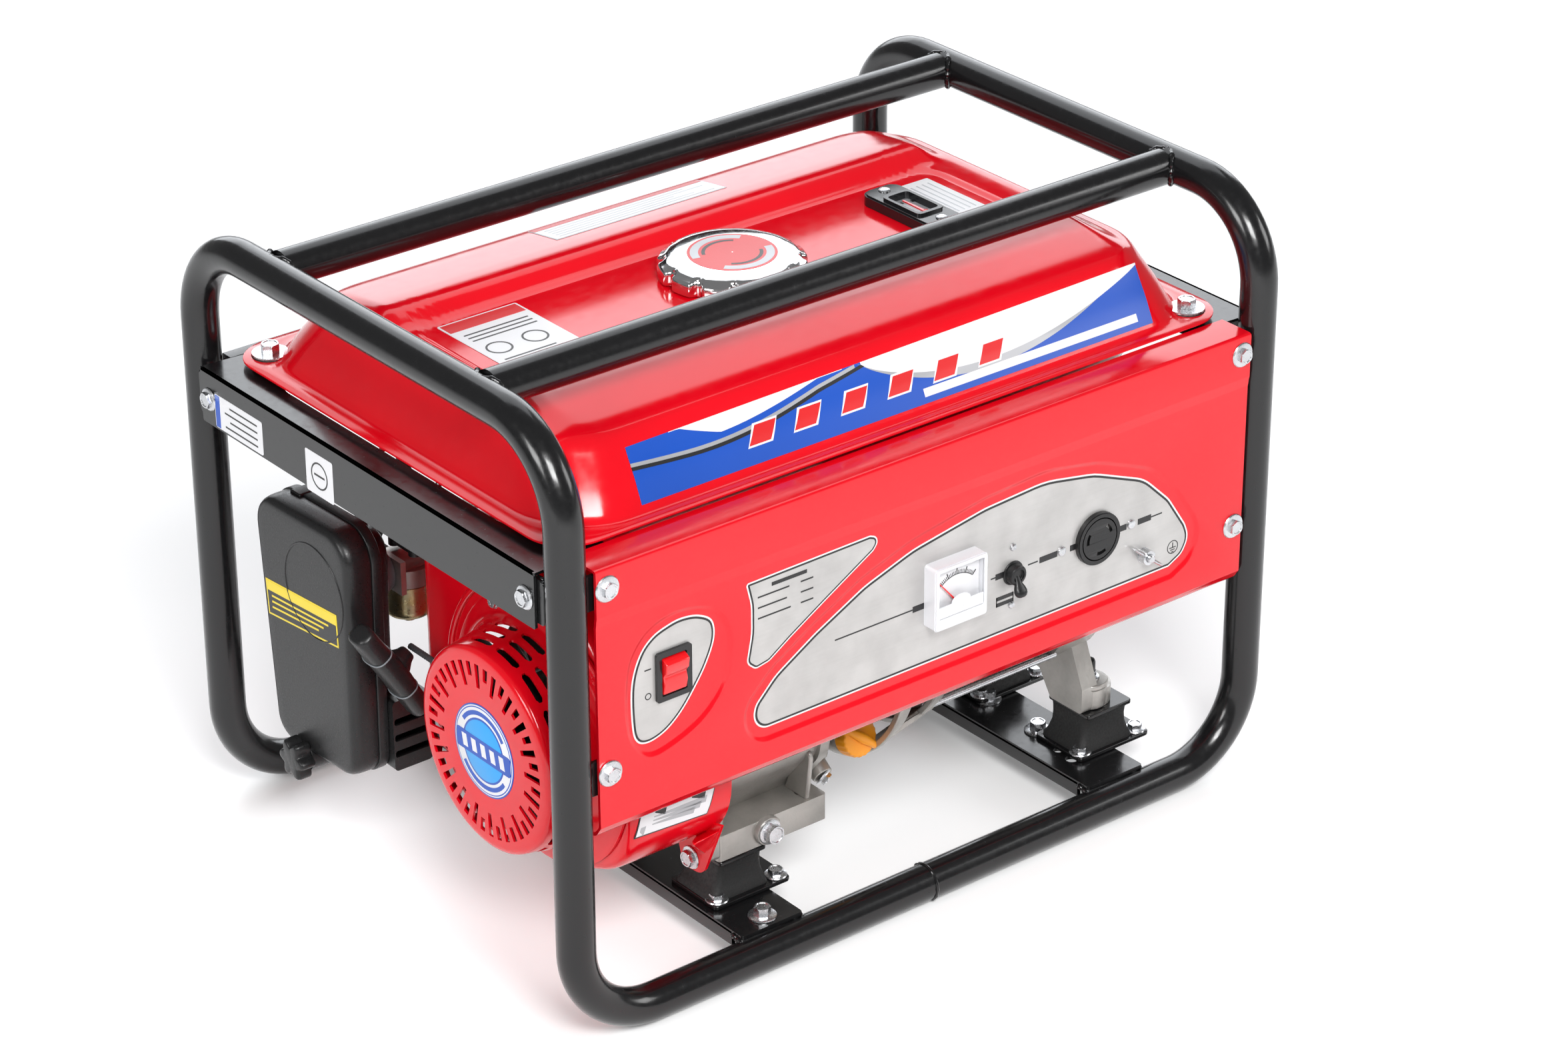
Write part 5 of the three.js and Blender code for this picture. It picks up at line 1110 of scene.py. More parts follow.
crown_label("rear_label", -68, 75, 102, 136, 0.25, SILVER_LABEL)
crown_label("rear_label_field", -67, 74, 103, 129, 0.37, WHITE_LABEL)
crown_label("rear_label_band", -67, 74, 129.6, 135.4, 0.40, RED_LABEL)
for k in range(5):
    crown_label(f"rear_label_row_{k}", -62, 68 - 14 * (k % 3), 106.5 + 4.4 * k, 107.6 + 4.4 * k, 0.46,
                SILVER_LABEL)

badge = prism(circle(30, 64), "z", 399.0, 399.62, [circle(0.5, 8)])
piece("cap_badge", badge, RED_LABEL, "fuel_cap")
arcs = together(prism(arc_band(22.5, 28, start, start + 125), "z", 399.4, 399.68) for start in (40, 220))
piece("cap_badge_arcs", arcs, SILVER_LABEL, "fuel_cap")
inner_arcs = together(prism(arc_band(18, 20.4, start, start + 105), "z", 399.4, 399.68)
                      for start in (50, 230))
piece("cap_badge_inner_arcs", inner_arcs, BLACK_LABEL, "fuel_cap")

# The stripe on the tank's front: a blue base, white wedges above it and dark ribbons between.
WALL_Z = (344.8, 347.4, 360, 371, 377.2, 380.4, 382.8)
WALL_Y = (172.9, 171.4, 162.6, 153.6, 148.9, 146.6, 144.3)


def on_wall(x, share, lift):
    """A point on the tank's front wall, share of the way up the stripe, lifted off the paint."""
    z = 346.6 + 33.4 * share
    y = float(np.interp(z, WALL_Z, WALL_Y))
    return Vector((x + 5 * share, -y - 0.83 * lift, z + 0.56 * lift))


def stripe(name, x0, x1, low, high, lift, material, count=48):
    """A strip on the wall between two curves of x."""

    def place(i, j, off):
        x = x0 + (x1 - x0) * i / count
        bottom, top = low(x), high(x)
        return on_wall(x, bottom + (top - bottom) * j / 8, off)

    shape = grid_shell(count, 8, lambda i, j: place(i, j, lift), lambda i, j: place(i, j, -0.3))
    piece(name, shape, material)


def stripe_top(x):
    return 0.88 + 0.12 * (x + 205) / 425


def left_sweep(x):
    """The curve under the left wedge, rising to the right."""
    t = (x + 205) / 180
    return 0.52 - 0.10 * math.sin(math.pi * min(1, max(0, t * 1.2))) + 0.50 * max(0, t - 0.25) ** 1.8


def right_sweep(x):
    t = (x + 20) / 240
    return stripe_top(x) - 0.62 * math.sin(math.pi * min(1, max(0, t)) ** 0.85) ** 0.8


stripe("stripe_base", -205, 218, lambda x: 0.0, stripe_top, 0.25, BLUE_LABEL, 90)
stripe("stripe_grey", -205, -24, lambda x: min(stripe_top(x), left_sweep(x) + 0.05),
       lambda x: min(stripe_top(x), left_sweep(x) + 0.11), 0.33, SILVER_LABEL)
stripe("stripe_dark", -205, -12, lambda x: min(stripe_top(x), left_sweep(x)),
       lambda x: min(stripe_top(x), left_sweep(x) + 0.055), 0.36, BLACK_LABEL)
stripe("stripe_left_wedge", -172, -34,
       lambda x: min(stripe_top(x) - 0.01, left_sweep(x) + 0.2 + 0.3 * max(0, (-135 - x) / 37)),
       stripe_top, 0.40, WHITE_LABEL)
stripe("stripe_right_shade", -22, 180,
       lambda x: max(0.05, right_sweep(x) - 0.13 * math.sin(math.pi * (x + 22) / 202)),
       right_sweep, 0.33, SILVER_LABEL)
stripe("stripe_right_wedge", -19, 218, right_sweep, stripe_top, 0.40, WHITE_LABEL, 60)
stripe("stripe_low_band", 22, 206, lambda x: 0.10, lambda x: 0.235, 0.36, WHITE_LABEL)
SQUARE_WIDE = 17


def square_point(x, grow, i, j, lift):
    """A point of one leaning red square, or of the white edge round it when grown."""
    low, high = (0.26, 0.60) if grow else (0.29, 0.57)
    return on_wall(x - grow + (SQUARE_WIDE + 2 * grow) * i / 4 + 8 * j / 6, low + (high - low) * j / 6, lift)


for k, x in enumerate((-118, -82, -44, -6, 32, 70)):
    for grow, lift, material, tag in ((1.3, 0.42, WHITE_LABEL, "edge"), (0, 0.48, RED_LABEL, "bar")):
        shape = grid_shell(4, 6, lambda i, j: square_point(x, grow, i, j, lift),
                           lambda i, j: square_point(x, grow, i, j, -0.2))
        piece(f"stripe_{tag}_{k}", shape, material)


# ---------------------------------------------------------------- recoil starter and fan shroud

# Where the crank's axis, which runs along X, crosses the YZ plane.
AXIS_Y, AXIS_Z = -96, 166


def along_x(shape, y, z):
    """Lays a shape made round +Z along the line through (y, z), with its z becoming x."""
    return shape.moved(Matrix(((0, 0, 1, 0), (1, 0, 0, y), (0, 1, 0, z), (0, 0, 0, 1))))


def on_axis(shape):
    """Lays a shape made round +Z along the crank's axis."""
    return along_x(shape, AXIS_Y, AXIS_Z)


def about_axis(radius, a):
    """The (y, z) of a point at an angle about the crank's axis."""
    return AXIS_Y + radius * math.cos(a), AXIS_Z + radius * math.sin(a)


def turned_grid(profile, steps, thick, missing, pinch=None):
    """A turned wall with openings: the profile is (radius, x), and the inside lies a thickness in."""
    count = len(profile) - 1
    inside = inset_profile(profile, thick)

    def place(i, j, line):
        r, x = line[j]
        a = 2 * math.pi * i / steps
        if pinch:
            x += pinch(i % steps, j)
        return Vector((x, AXIS_Y + r * math.sin(a), AXIS_Z + r * math.cos(a)))

    return grid_shell(steps, count, lambda i, j: place(i, j, profile), lambda i, j: place(i, j, inside),
                      missing, True)


def inset_profile(profile, thick):
    """The profile line moved inwards along its own normals."""
    points = [Vector(p) for p in profile]
    moved = []
    for i, p in enumerate(points):
        run = (points[min(i + 1, len(points) - 1)] - points[max(i - 1, 0)]).normalized()
        moved.append(p - Vector((run.y, -run.x)) * thick)
    return moved


FACE_X, BACK_X = -276.5, -231.5
STEPS = 160


def face_slot_missing(i, j):
    """Radial slots in the face: forty of them, every other one longer."""
    k, part = divmod(i, 4)
    if part not in (1, 2) or not 3 <= j <= 5:
        return False
    return j > 3 or k % 2 == 0


face_profile = [(9, FACE_X + 0.8), (30, FACE_X + 0.6), (40.5, FACE_X), (44, FACE_X), (51, FACE_X),
                (59, FACE_X), (60.5, FACE_X), (65, FACE_X + 0.15), (67.5, FACE_X + 0.7), (69.4, FACE_X + 2),
                (70.2, FACE_X + 4.2), (71.0, -267.5),
                (71.8, -262.5), (72.9, -258), (73.6, -253), (74.6, -248.5), (75.2, -243.5), (76.4, -240.5),
                (78.3, -237.5), (81.5, -235.3), (86, -234.2), (90.8, -233.9), (92, -233.2), (92, BACK_X)]


def side_slot_missing(i, j):
    """Three rows of oblong slots round the wall, left plain at the rope's exit."""
    if j not in (11, 13, 15):
        return False
    k, part = divmod(i, 10)
    degrees = i * 360 / STEPS
    blank = 232 < degrees < 308 if j == 13 else 245 < degrees < 300
    return 1 <= part <= 8 and not blank


def slot_pinch(i, j):
    """Rounds the ends of the oblong slots by drawing their corners together."""
    part = i % 10
    if part not in (1, 9) or not 11 <= j <= 16:
        return 0
    return 1.5 if j in (11, 13, 15) else -1.5


def drum_missing(i, j):
    return face_slot_missing(i, j) or side_slot_missing(i, j)


drum = turned_grid(face_profile, STEPS, 1.8, drum_missing, slot_pinch)
post_profile = [(0, FACE_X + 1), (9.2, FACE_X + 1), (9.2, FACE_X + 2.5), (8, FACE_X + 3), (8, -248.5),
                (0, -248.5)]
post = on_axis(lathe(post_profile, 40))
piece("recoil_drum", drum, RED_PAINT, replaces=["recoil_housing"], sharp=40)
piece("recoil_post", post, MACHINED)
rope_eye = [(p.x, -24.2, p.y) for p in circle(5.2, 24, (-255.5, 187))]
piece("rope_eye", sweep(rope_eye, 1.5, 12, closed=True), BLACK_PLASTIC)
flange_screw = hex_head(7, 3.6, flange=5.6)
flange_screws = together(
    flange_screw.facing((-1, 0, 0), (-233.9, *about_axis(86.6, math.radians(degrees))))
    for degrees in (60, -60, -180))
piece("recoil_screws", flange_screws, ZINC)
badge_coats = ((32, BLUE_LABEL), (31, WHITE_LABEL), (30.2, BLUE_LABEL), (29.4, WHITE_LABEL),
               (22.4, BLUE_LABEL), (21, SKY_LABEL))
for k, (radius, material) in enumerate(badge_coats):
    rim = 0.5 + 0.1 * k
    disc = lathe([(0, 0), (radius, 0), (radius, rim), (radius - 0.3, rim + 0.1), (0, rim + 0.1)], 96)
    piece(f"recoil_badge_{k}", disc.facing((-1, 0, 0), (FACE_X + 0.75, AXIS_Y, AXIS_Z)), material)
badge_bands = [arc_band(24.4, 27.4, start, start + 110, (AXIS_Y, AXIS_Z)) for start in (35, 215)]
badge_arcs = together(prism(band, "x", FACE_X - 0.32, FACE_X + 0.2) for band in badge_bands)
piece("recoil_badge_arcs", badge_arcs, BLUE_LABEL)
band = rectangle(AXIS_Y - 29, AXIS_Y + 29, AXIS_Z - 7, AXIS_Z + 7, 2)
piece("recoil_badge_band", prism(band, "x", FACE_X - 0.46, FACE_X + 0.2), BLUE_LABEL)
band_marks = Shape([], [])
for k in range(5):
    centre = AXIS_Y - 20 + 10 * k
    corners = (-3.4, -4.4), (1.6, -4.4), (3.4, 4.4), (-1.6, 4.4)
    slant = [Vector((centre + u, AXIS_Z + v)) for u, v in corners]
    band_marks = band_marks + prism(slant, "x", FACE_X - 0.56, FACE_X)
piece("recoil_badge_bars", band_marks, WHITE_LABEL)


# The fan shroud's outline seen along the crank: (y, z, corner radius).
SHROUD = [(36, 118, 16), (36, 262, 12), (-30, 273, 50), (-140, 262, 60), (-190, 190, 60), (-186, 100, 55),
          (-110, 68, 60), (-20, 82, 50)]


def by_angle(outline, count):
    """The outline's distance from the crank's axis in evenly spread directions."""
    n = len(outline)
    centre = Vector((AXIS_Y, AXIS_Z))
    reach = []
    for k in range(count):
        a = 2 * math.pi * k / count
        ray = Vector((math.sin(a), math.cos(a)))
        best = 0
        for i in range(n):
            p, q = outline[i - 1] - centre, outline[i] - centre
            edge = q - p
            denominator = ray.x * edge.y - ray.y * edge.x
            if abs(denominator) < 1e-9:
                continue
            t = (p.x * edge.y - p.y * edge.x) / denominator
            s = (p.x * ray.y - p.y * ray.x) / denominator
            if t > 0 and -1e-6 <= s <= 1 + 1e-6:
                best = max(best, t)
        reach.append(best)
    return reach


SHROUD_STEPS = 180
shroud_reach = by_angle(rounded(SHROUD, 0, 6), SHROUD_STEPS)
SHROUD_FRONT = -231.0
SHROUD_WALL = 1.8


def shroud_point(i, j, inner):
    """Rings from the flywheel opening outwards over the front, round the edge and back along the side."""
    a = 2 * math.pi * i / SHROUD_STEPS
    edge = shroud_reach[i % SHROUD_STEPS]
    rows = ((79, 0.0, 0), (92.6, 0.0, 0), (0, 0.0, 9), (0, 0.3, 6), (0, 1.2, 3.4), (0, 3.0, 1.4),
            (0, 5.4, 0.4), (0, 8.5, 0), (0, 30, 0), (0, 40.8, 0), (0, 41.2, 0), (0, 60, 0), (0, 80.5, 0))
    radius, depth, by = rows[j]
    r = min(radius, edge - 10) if radius else max(edge - by, 0)
    x = SHROUD_FRONT + depth
    if inner:
        x += SHROUD_WALL if j < 5 else 0
        r -= SHROUD_WALL if j > 3 else 0
    return Vector((x, AXIS_Y + r * math.sin(a), AXIS_Z + r * math.cos(a)))


def shroud_missing(i, j):
    """Open towards the cylinder on the side that faces it."""
    if j < 10:
        return False
    a = 2 * math.pi * (i + 0.5) / SHROUD_STEPS
    r = shroud_reach[i % SHROUD_STEPS]
    y, z = AXIS_Y + r * math.sin(a), AXIS_Z + r * math.cos(a)
    return y > -14 and z > 96


shroud = grid_shell(SHROUD_STEPS, 12, lambda i, j: shroud_point(i, j, False), lambda i,
                    j: shroud_point(i, j, True),
                    shroud_missing, True)
piece("shroud", shroud, RED_PAINT, replaces=["fan_shroud"], sharp=35)
lug = rounded([(-186, 108), (-166, 62, 12), (-145, 60, 9), (-137, 88), (-150, 100)], 0, 10)
piece("shroud_lug", prism(lug, "x", -158, -155.6, [circle(4, 24, (-154, 70))]), RED_PAINT, bevel=0.5)
gusset = loft([[(-155.6, -184, 104), (-155.6, -166, 76), (-155.6, -160, 92)],
               [(-176, -180, 98), (-174, -178, 95), (-174, -176, 99)]])
piece("shroud_gusset", gusset, RED_PAINT, bevel=1.0)
swirl = [(-231.2, AXIS_Y + 101 * math.cos(math.radians(a)), AXIS_Z + 101 * math.sin(math.radians(a)))
         for a in range(8, 74, 3)]
piece("shroud_bead", sweep(swirl, [0.4] + [2.6] * (len(swirl) - 2) + [0.4], 14), RED_PAINT)
ear_bolt = hex_head(10, 5, flange=8).facing((-1, 0, 0), (-158, -154, 70))
piece("shroud_bolt", ear_bolt, ZINC)

lower_wall = sorted((p.y, p.x) for p in rounded(SHROUD, 0, 4) if p.x < -140 and 90 < p.y < 190)
LOWER_Z, LOWER_Y = [p[0] for p in lower_wall], [p[1] for p in lower_wall]


def wall_label(name, left, right, top, bottom, lift, material):
    """A label on the shroud's front wall, leaning a little with the wall's curve."""

    def place(i, j, off):
        z = bottom - 4 * i / 20 + (top - bottom + 4 * i / 20) * j / 16
        lean = 5.5 * (z - 122) / 22
        y = float(np.interp(z, LOWER_Z, LOWER_Y))
        return Vector((left + lean + (right - left) * i / 20, y - off, z))

    piece(name, grid_shell(20, 16, lambda i, j: place(i, j, lift), lambda i, j: place(i, j, -0.3)), material)


wall_label("shroud_label_edge", -228, -168.5, 150, 125, 0.25, BLACK_LABEL)
wall_label("shroud_label", -227.1, -169.4, 149.5, 126, 0.37, WHITE_LABEL)
for k, (left, right, top, thick, tone) in enumerate(
    ((-216, -207, 141.5, 2.2, BLACK_LABEL), (-187, -176, 141.5, 2.2, BLACK_LABEL),
     (-216, -174, 137, 0.8, SILVER_LABEL), (-216, -178, 134.4, 0.8, SILVER_LABEL),
     (-216, -182, 131.8, 0.8, SILVER_LABEL), (-225, -221, 132, 3, SILVER_LABEL))):
    wall_label(f"shroud_label_mark_{k}", left, right, top, top - thick, 0.46, tone)

groove = [(9.6, -264), (59, -264), (60, -263.4), (60, -261.6), (59, -261), (54, -260), (54, -255),
          (59, -254), (60, -253.4), (60, -251.6), (59, -251), (9.6, -251), (9.6, -264)]
pulley = on_axis(lathe(groove, 72))
piece("rope_pulley", pulley, BLACK_PLASTIC, "recoil_pulley", replaces=["recoil_pulley"])
spoke = block(-264.6, -263.8, -2, 2, 14, 50)
spokes = together(spoke.turned(60 * k, "X").at(0, AXIS_Y, AXIS_Z) for k in range(6))
piece("pulley_ribs", spokes, BLACK_PLASTIC, "recoil_pulley")


def rounded_section(half_u, half_v, squareness, count=28):
    ring = []
    for k in range(count):
        a = 2 * math.pi * k / count
        c, s = math.cos(a), math.sin(a)
        u, v = math.copysign(abs(c) ** squareness, c), math.copysign(abs(s) ** squareness, s)
        ring.append((half_u * u, half_v * v))
    return ring


def grip_shape():
    rings = []
    half = ((41, 5.6, 5.2, 0), (40.4, 8.4, 7.0, 0), (38.5, 9.9, 7.6, 0), (34, 10.6, 7.6, 0),
            (24, 11.2, 7.7, 0.1), (13, 11.9, 8.2, 0.5), (6, 12, 8.4, 0.8))
    other_half = [(-along, u, v, shift) for along, u, v, shift in half]
    for along, u, v, shift in (*other_half, *half[::-1]):
        rings.append([(along, a, b + shift - 0.4) for a, b in rounded_section(u, v, 0.75)])
    return loft(rings)


GRIP_TURN = Matrix.Translation((-273, 13, 176)) @ Matrix.Rotation(math.radians(90 - 32), 4, "Y")
grip = grip_shape().moved(GRIP_TURN)
grip_neck = lathe([(0, 4), (9.5, 4), (9.5, 8.5), (8.2, 10.5), (6.6, 13), (5.6, 16), (4.6, 17), (0, 17)], 36)
piece("grip", grip + grip_neck.moved(GRIP_TURN), BLACK_PLASTIC, "starter_grip", replaces=["starter_grip"],
      sharp=60)
lines = [[Vector((along, a, b - 0.3)) for a, b in rounded_section(11.8, 8.15, 0.75, 36)]
         for along in (-17.5, 17.5)]
rings = together(sweep(line, 0.55, 8, closed=True) for line in lines)
piece("grip_rings", rings.moved(GRIP_TURN), GREY_PLASTIC, "starter_grip")


def braid(points, radius, turns):
    """A cord whose surface ripples like plaited strands."""
    count, sides = len(points), 28
    rings = []
    for i, point in enumerate(points):
        ring = []
        for k in range(sides):
            a = 2 * math.pi * k / sides
            twist = turns * i / count * 2 * math.pi
            r = radius - 0.16 + 0.16 * math.cos(4 * a + twist) * math.cos(4 * a - twist)
            ring.append((point[0] + r * math.cos(a), point[1], point[2] + r * math.sin(a)))
        rings.append(ring)
    return loft(rings)


rope_line = [(-255.5, -32 + 47 * k / 96, 187) for k in range(97)]
rope = braid(rope_line, 2.2, 9)
rope_piece = piece("rope", rope, ROPE_CORD, None, replaces=["starter_rope"], sharp=80)
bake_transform(rope_piece)


def refined(node, material, body="frame", bevel=0.6):
    """A softened copy of a CAD node: flat faces made whole and edges rounded."""
    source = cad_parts[node].data
    shell = bmesh.new()
    shell.from_mesh(source)
    bmesh.ops.remove_doubles(shell, verts=shell.verts, dist=0.00002)
    bmesh.ops.dissolve_limit(shell, angle_limit=math.radians(1.0), verts=shell.verts, edges=shell.edges)
    shape = Shape([v.co / MM for v in shell.verts], [tuple(v.index for v in f.verts) for f in shell.faces])
    shell.free()
    piece(f"{node}_body", shape, material, body, replaces=[node], bevel=bevel, sharp=38)


# ---------------------------------------------------------------- engine

refined("crankcase_cover", CAST, bevel=0.9)
refined("cylinder_head", CAST, bevel=0.6)
refined("rocker_cover", CAST, bevel=1.0)
refined("crankshaft", MACHINED, "crankshaft", bevel=0.5)
refined("flywheel", MACHINED, "crankshaft", bevel=0.4)
refined("spark_plug", ZINC, bevel=0.3)

FILLER = Vector((-17, -112, 97))
FILLER_TILT = math.radians(14.5)
FILLER_OUT = Vector((0, -math.cos(FILLER_TILT), math.sin(FILLER_TILT)))


def on_filler(shape):
    return shape.facing(FILLER_OUT, FILLER)


collar = lathe([(9.2, 22), (13.6, 22), (14.2, 24), (14.2, 31.5), (13.6, 32.9), (9.2, 32.9), (9.2, 22)], 48)
piece("filler_collar", on_filler(collar), CAST)


def dipstick_cap():
    rings = []
    for z, radius, depth in ((33.4, 13.4, 0), (34, 14, 0), (36, 14, 0.6), (42, 14, 1), (43.6, 13.4, 0.8),
                             (44.3, 12.2, 0.3), (44.5, 8, 0)):
        ring = []
        for k in range(120):
            a = 2 * math.pi * k / 120
            r = radius - 0.55 * depth * (0.5 + 0.5 * math.cos(20 * a))
            ring.append((r * math.cos(a), r * math.sin(a), z))
        rings.append(ring)
    return loft(rings)


wing_rings = []
for u in range(-15, 16):
    share = abs(u) / 15
    wide = 3.6 * (1 - 0.35 * share)
    top = 50 - 3.2 * share ** 2
    wing_rings.append([(u, -wide, 43), (u, -wide, top - 2), (u, -wide * 0.6, top - 0.5), (u, 0, top),
                       (u, wide * 0.6, top - 0.5), (u, wide, top - 2), (u, wide, 43)])
wings = loft(wing_rings).turned(-40, "Z")
stick = rod((0, 0, -6), (0, 0, 34), 2, 16) + lathe([(0, 24), (8.4, 24), (8.4, 34), (0, 34)], 32)
piece("oil_cap", on_filler(dipstick_cap() + wings + stick), YELLOW_PLASTIC, "dipstick", replaces=["dipstick"],
      bevel=0.4)


# The cylinder leans back by 25 degrees from level.
COS_TILT, SIN_TILT = math.cos(math.radians(25)), math.sin(math.radians(25))


def along_plug(out):
    """A point on the spark plug's axis, on the under side of the head."""
    along, down = 163, 42 + out
    return Vector((-147, AXIS_Y + along * COS_TILT + down * SIN_TILT,
                   AXIS_Z + along * SIN_TILT - down * COS_TILT))


boot_dir = (along_plug(42) - along_plug(11)).normalized()
boot = lathe([(5.6, 0), (7.4, 0), (8, 1.2), (8, 5), (7.2, 6), (7.2, 8), (8, 9), (8, 24), (7, 29), (0, 31),
              (0, 21), (5.6, 21), (5.6, 0)], 36)
cap_at = along_plug(35)
lead = sweep(bent([cap_at, (cap_at.x - 36, cap_at.y, cap_at.z), (cap_at.x - 36, 20, 150)], 14, 12), 3.5, 20)
piece("ignition_lead", boot.facing(boot_dir, along_plug(11)) + lead, RUBBER, replaces=["plug_lead"])


def on_cylinder(x, y, z):
    """From the leaning cylinder's own frame to the part's."""
    return Vector((x - 125, AXIS_Y + y * SIN_TILT + z * COS_TILT, AXIS_Z - y * COS_TILT + z * SIN_TILT))


def leaning(shape):
    return Shape([on_cylinder(*v) for v in shape.verts], shape.faces)


# The crankcase and its cover, seen along the crank: (y, z, corner radius).
CASE = rounded([(-133, 79), (-138, 88, 12), (-158, 112, 22), (-166, 150, 30), (-166, 190, 40),
                (-120, 244, 40), (-40, 244, 40), (4, 190, 30), (4, 79, 4)], 0, 7)
COVER = rounded([(-112, 72, 12), (-122, 118, 14), (-166, 150, 24), (-166, 200, 40), (-120, 244, 40),
                 (-60, 244, 40), (-10, 200, 40), (-10, 110, 30), (-34, 72, 14)], 0, 7)
crank_hole = [circle(13.2, 40, (AXIS_Y, AXIS_Z))]
case = prism(CASE, "x", -149.5, -50.4)
foot = prism(rectangle(-140, -50.3, -160, 14, 2.5), "z", 61.3, 80.3, [circle(4.6, 24, (-62.4, -147.8))])
block_end = prism(rounded([(-160, 63, 4), (-139, 61.4, 3), (-139, 84, 3), (-160, 84, 6)], 0, 10), "x", -153,
                  -138)
piece("crankcase", case, CAST, replaces=["engine_block"], sharp=50)
piece("crankcase_foot", foot, CAST, bevel=1.0)
piece("crankcase_foot_end", block_end, CAST, bevel=1.6, steps=3)
for name, edge, x0, x1, material in (
        ("block", inset(CASE, -3.4), -58, -50.4, CAST),
        ("gasket", inset(COVER, -1.4), -50.4, -49.4, RUBBER),
        ("cover", inset(COVER, -3.2), -49.4, -43, CAST)):
    piece(f"joint_flange_{name}", prism(edge, "x", x0, x1, crank_hole), material, bevel=0.8)
rib_edge = rounded([(-158, 80), (-135, 80), (-150, 118), (-163, 118, 6)], 0, 10)
ribs = together(prism(rib_edge, "x", x - 1.8, x + 1.8) for x in (-64.5, -137))
piece("crankcase_ribs", ribs, CAST, bevel=1.2)
barrel = leaning(lathe([(0, 50), (41, 50), (41, 143.7), (0, 143.7)], 56))
piece("barrel", barrel, CAST)
fin_edge = rectangle(-52, 52, -46, 46, 10)
fins = together(leaning(prism(fin_edge, "z", 84 + 9.5 * k, 86.6 + 9.5 * k)) for k in range(6))
piece("barrel_fins", fins, CAST, bevel=0.6)
main_boss = on_axis(lathe([(13.2, -186), (42, -186), (46, -183), (46, -149), (13.2, -149), (13.2, -186)], 64))
piece("main_bearing_boss", main_boss, CAST, bevel=0.5)
piece("governor_boss", lathe([(0, 236), (8, 236), (6.4, 244), (6, 276.7), (0, 276.7)], 28).at(-138, -50, 0),
      CAST)

for spot in ((-139, -149), (-94, 4)):
    height = 84 if spot[0] < -130 else 80.2
    piece(f"foot_bolt_{-spot[0]}_{abs(spot[1])}", hex_head(9, 5, washer=8).at(spot[0], spot[1], height), ZINC)
piece("cover_bolt", hex_head(8, 4.4, flange=6.8).facing((0.35, -0.80, -0.5), (-42, -146, 84)), ZINC)
piece("cover_bolt_boss", rod((-42, -130, 94), (-42, -146, 84), 8, 32, 7.2), CAST, bevel=0.6)
drain_boss = lathe([(0, 0), (10.5, 0), (10.5, 2.4), (9.6, 4), (0, 4)], 40)
piece("drain_boss", drain_boss.facing((0, -1, 0), (-101, -159.6, 72)), CAST)
piece("drain_bolt", hex_head(12, 6, washer=8.6).facing((0, -1, 0.05), (-101, -163.6, 72)), ZINC)
COVER_BOLTS = (-158, 152), (-158, 196), (-121, 236), (-58, 236), (-117, 84)
piece("cover_bosses", together(rod((-49.8, y, z), (-20, y, z), 7.4, 24) for y, z in COVER_BOLTS), CAST,
      bevel=0.6)
cover_bolt = hex_head(8, 4, flange=6.4)
piece("cover_bolts", together(cover_bolt.facing((1, 0, 0), (-20, y, z)) for y, z in COVER_BOLTS), ZINC)

direction = on_cylinder(0, 0, 1) - on_cylinder(0, 0, 0)
cover_screw = hex_head(7, 3.4, flange=5.2)
cover_screws = together(
    cover_screw.facing(direction, on_cylinder(u * 33, v * 27, 187.2)) for u in SIDES for v in SIDES)
piece("rocker_cover_screws", cover_screws, ZINC)


# ---------------------------------------------------------------- alternator

bell = [(93, -8), (93, -4), (91.6, -2.6), (89.4, 6), (86.6, 20), (84, 34), (82.2, 44), (81.5, 46.7)]
BELL_STEPS = 144


def bell_missing(i, j):
    """Four windows that let the cooling air out, and a notch for the oil filler's neck."""
    degrees = (i + 0.5) * 360 / BELL_STEPS
    for window in (60, 120, 240, 300):
        if abs(degrees - window) < 16 and 3 <= j <= 4:
            return True
    return 183 < degrees < 211 and j <= 4


front_bell = turned_grid(bell, BELL_STEPS, 4.5, bell_missing)
piece("front_bell", front_bell, CAST, replaces=["alternator_front_bracket"], bevel=0.8, sharp=30)
rib = loft([[(-7.6, -1.6, 88), (-7.6, 1.6, 88), (-7.6, 1.2, 92.9), (-7.6, -1.2, 92.9)],
            [(46, -1.6, 80), (46, 1.6, 80), (46, 1.2, 82.6), (46, -1.2, 82.6)]])
bell_ribs = together(
    rib.turned(-degrees, "X").at(0, AXIS_Y, AXIS_Z) for degrees in (15, 45, 90, 135, 165, 225, 270, 315, 345))
piece("front_bell_ribs", bell_ribs, CAST, bevel=0.5)
refined("alternator_rotor", MACHINED, "crankshaft", bevel=0.4)


def stator():
    """A stack of laminations with four long flats where the through bolts run."""
    shape = Shape([], [])
    count = 21
    for k in range(count):
        x0 = 47 + 105 * k / count
        ring = []
        for i in range(120):
            a = 2 * math.pi * i / 120
            r = 79 if k % 2 == 0 else 78.3
            turn = (a - math.pi / 4) % (math.pi / 2)
            gap = min(turn, math.pi / 2 - turn)
            r = min(r, 76.5 / math.cos(gap) if gap < 0.24 else r)
            ring.append(Vector(about_axis(r, a)))
        hole = circle(47, 60, (AXIS_Y, AXIS_Z))
        shape = shape + prism(ring, "x", x0, x0 + 105 / count - 0.05, [hole])
    return shape


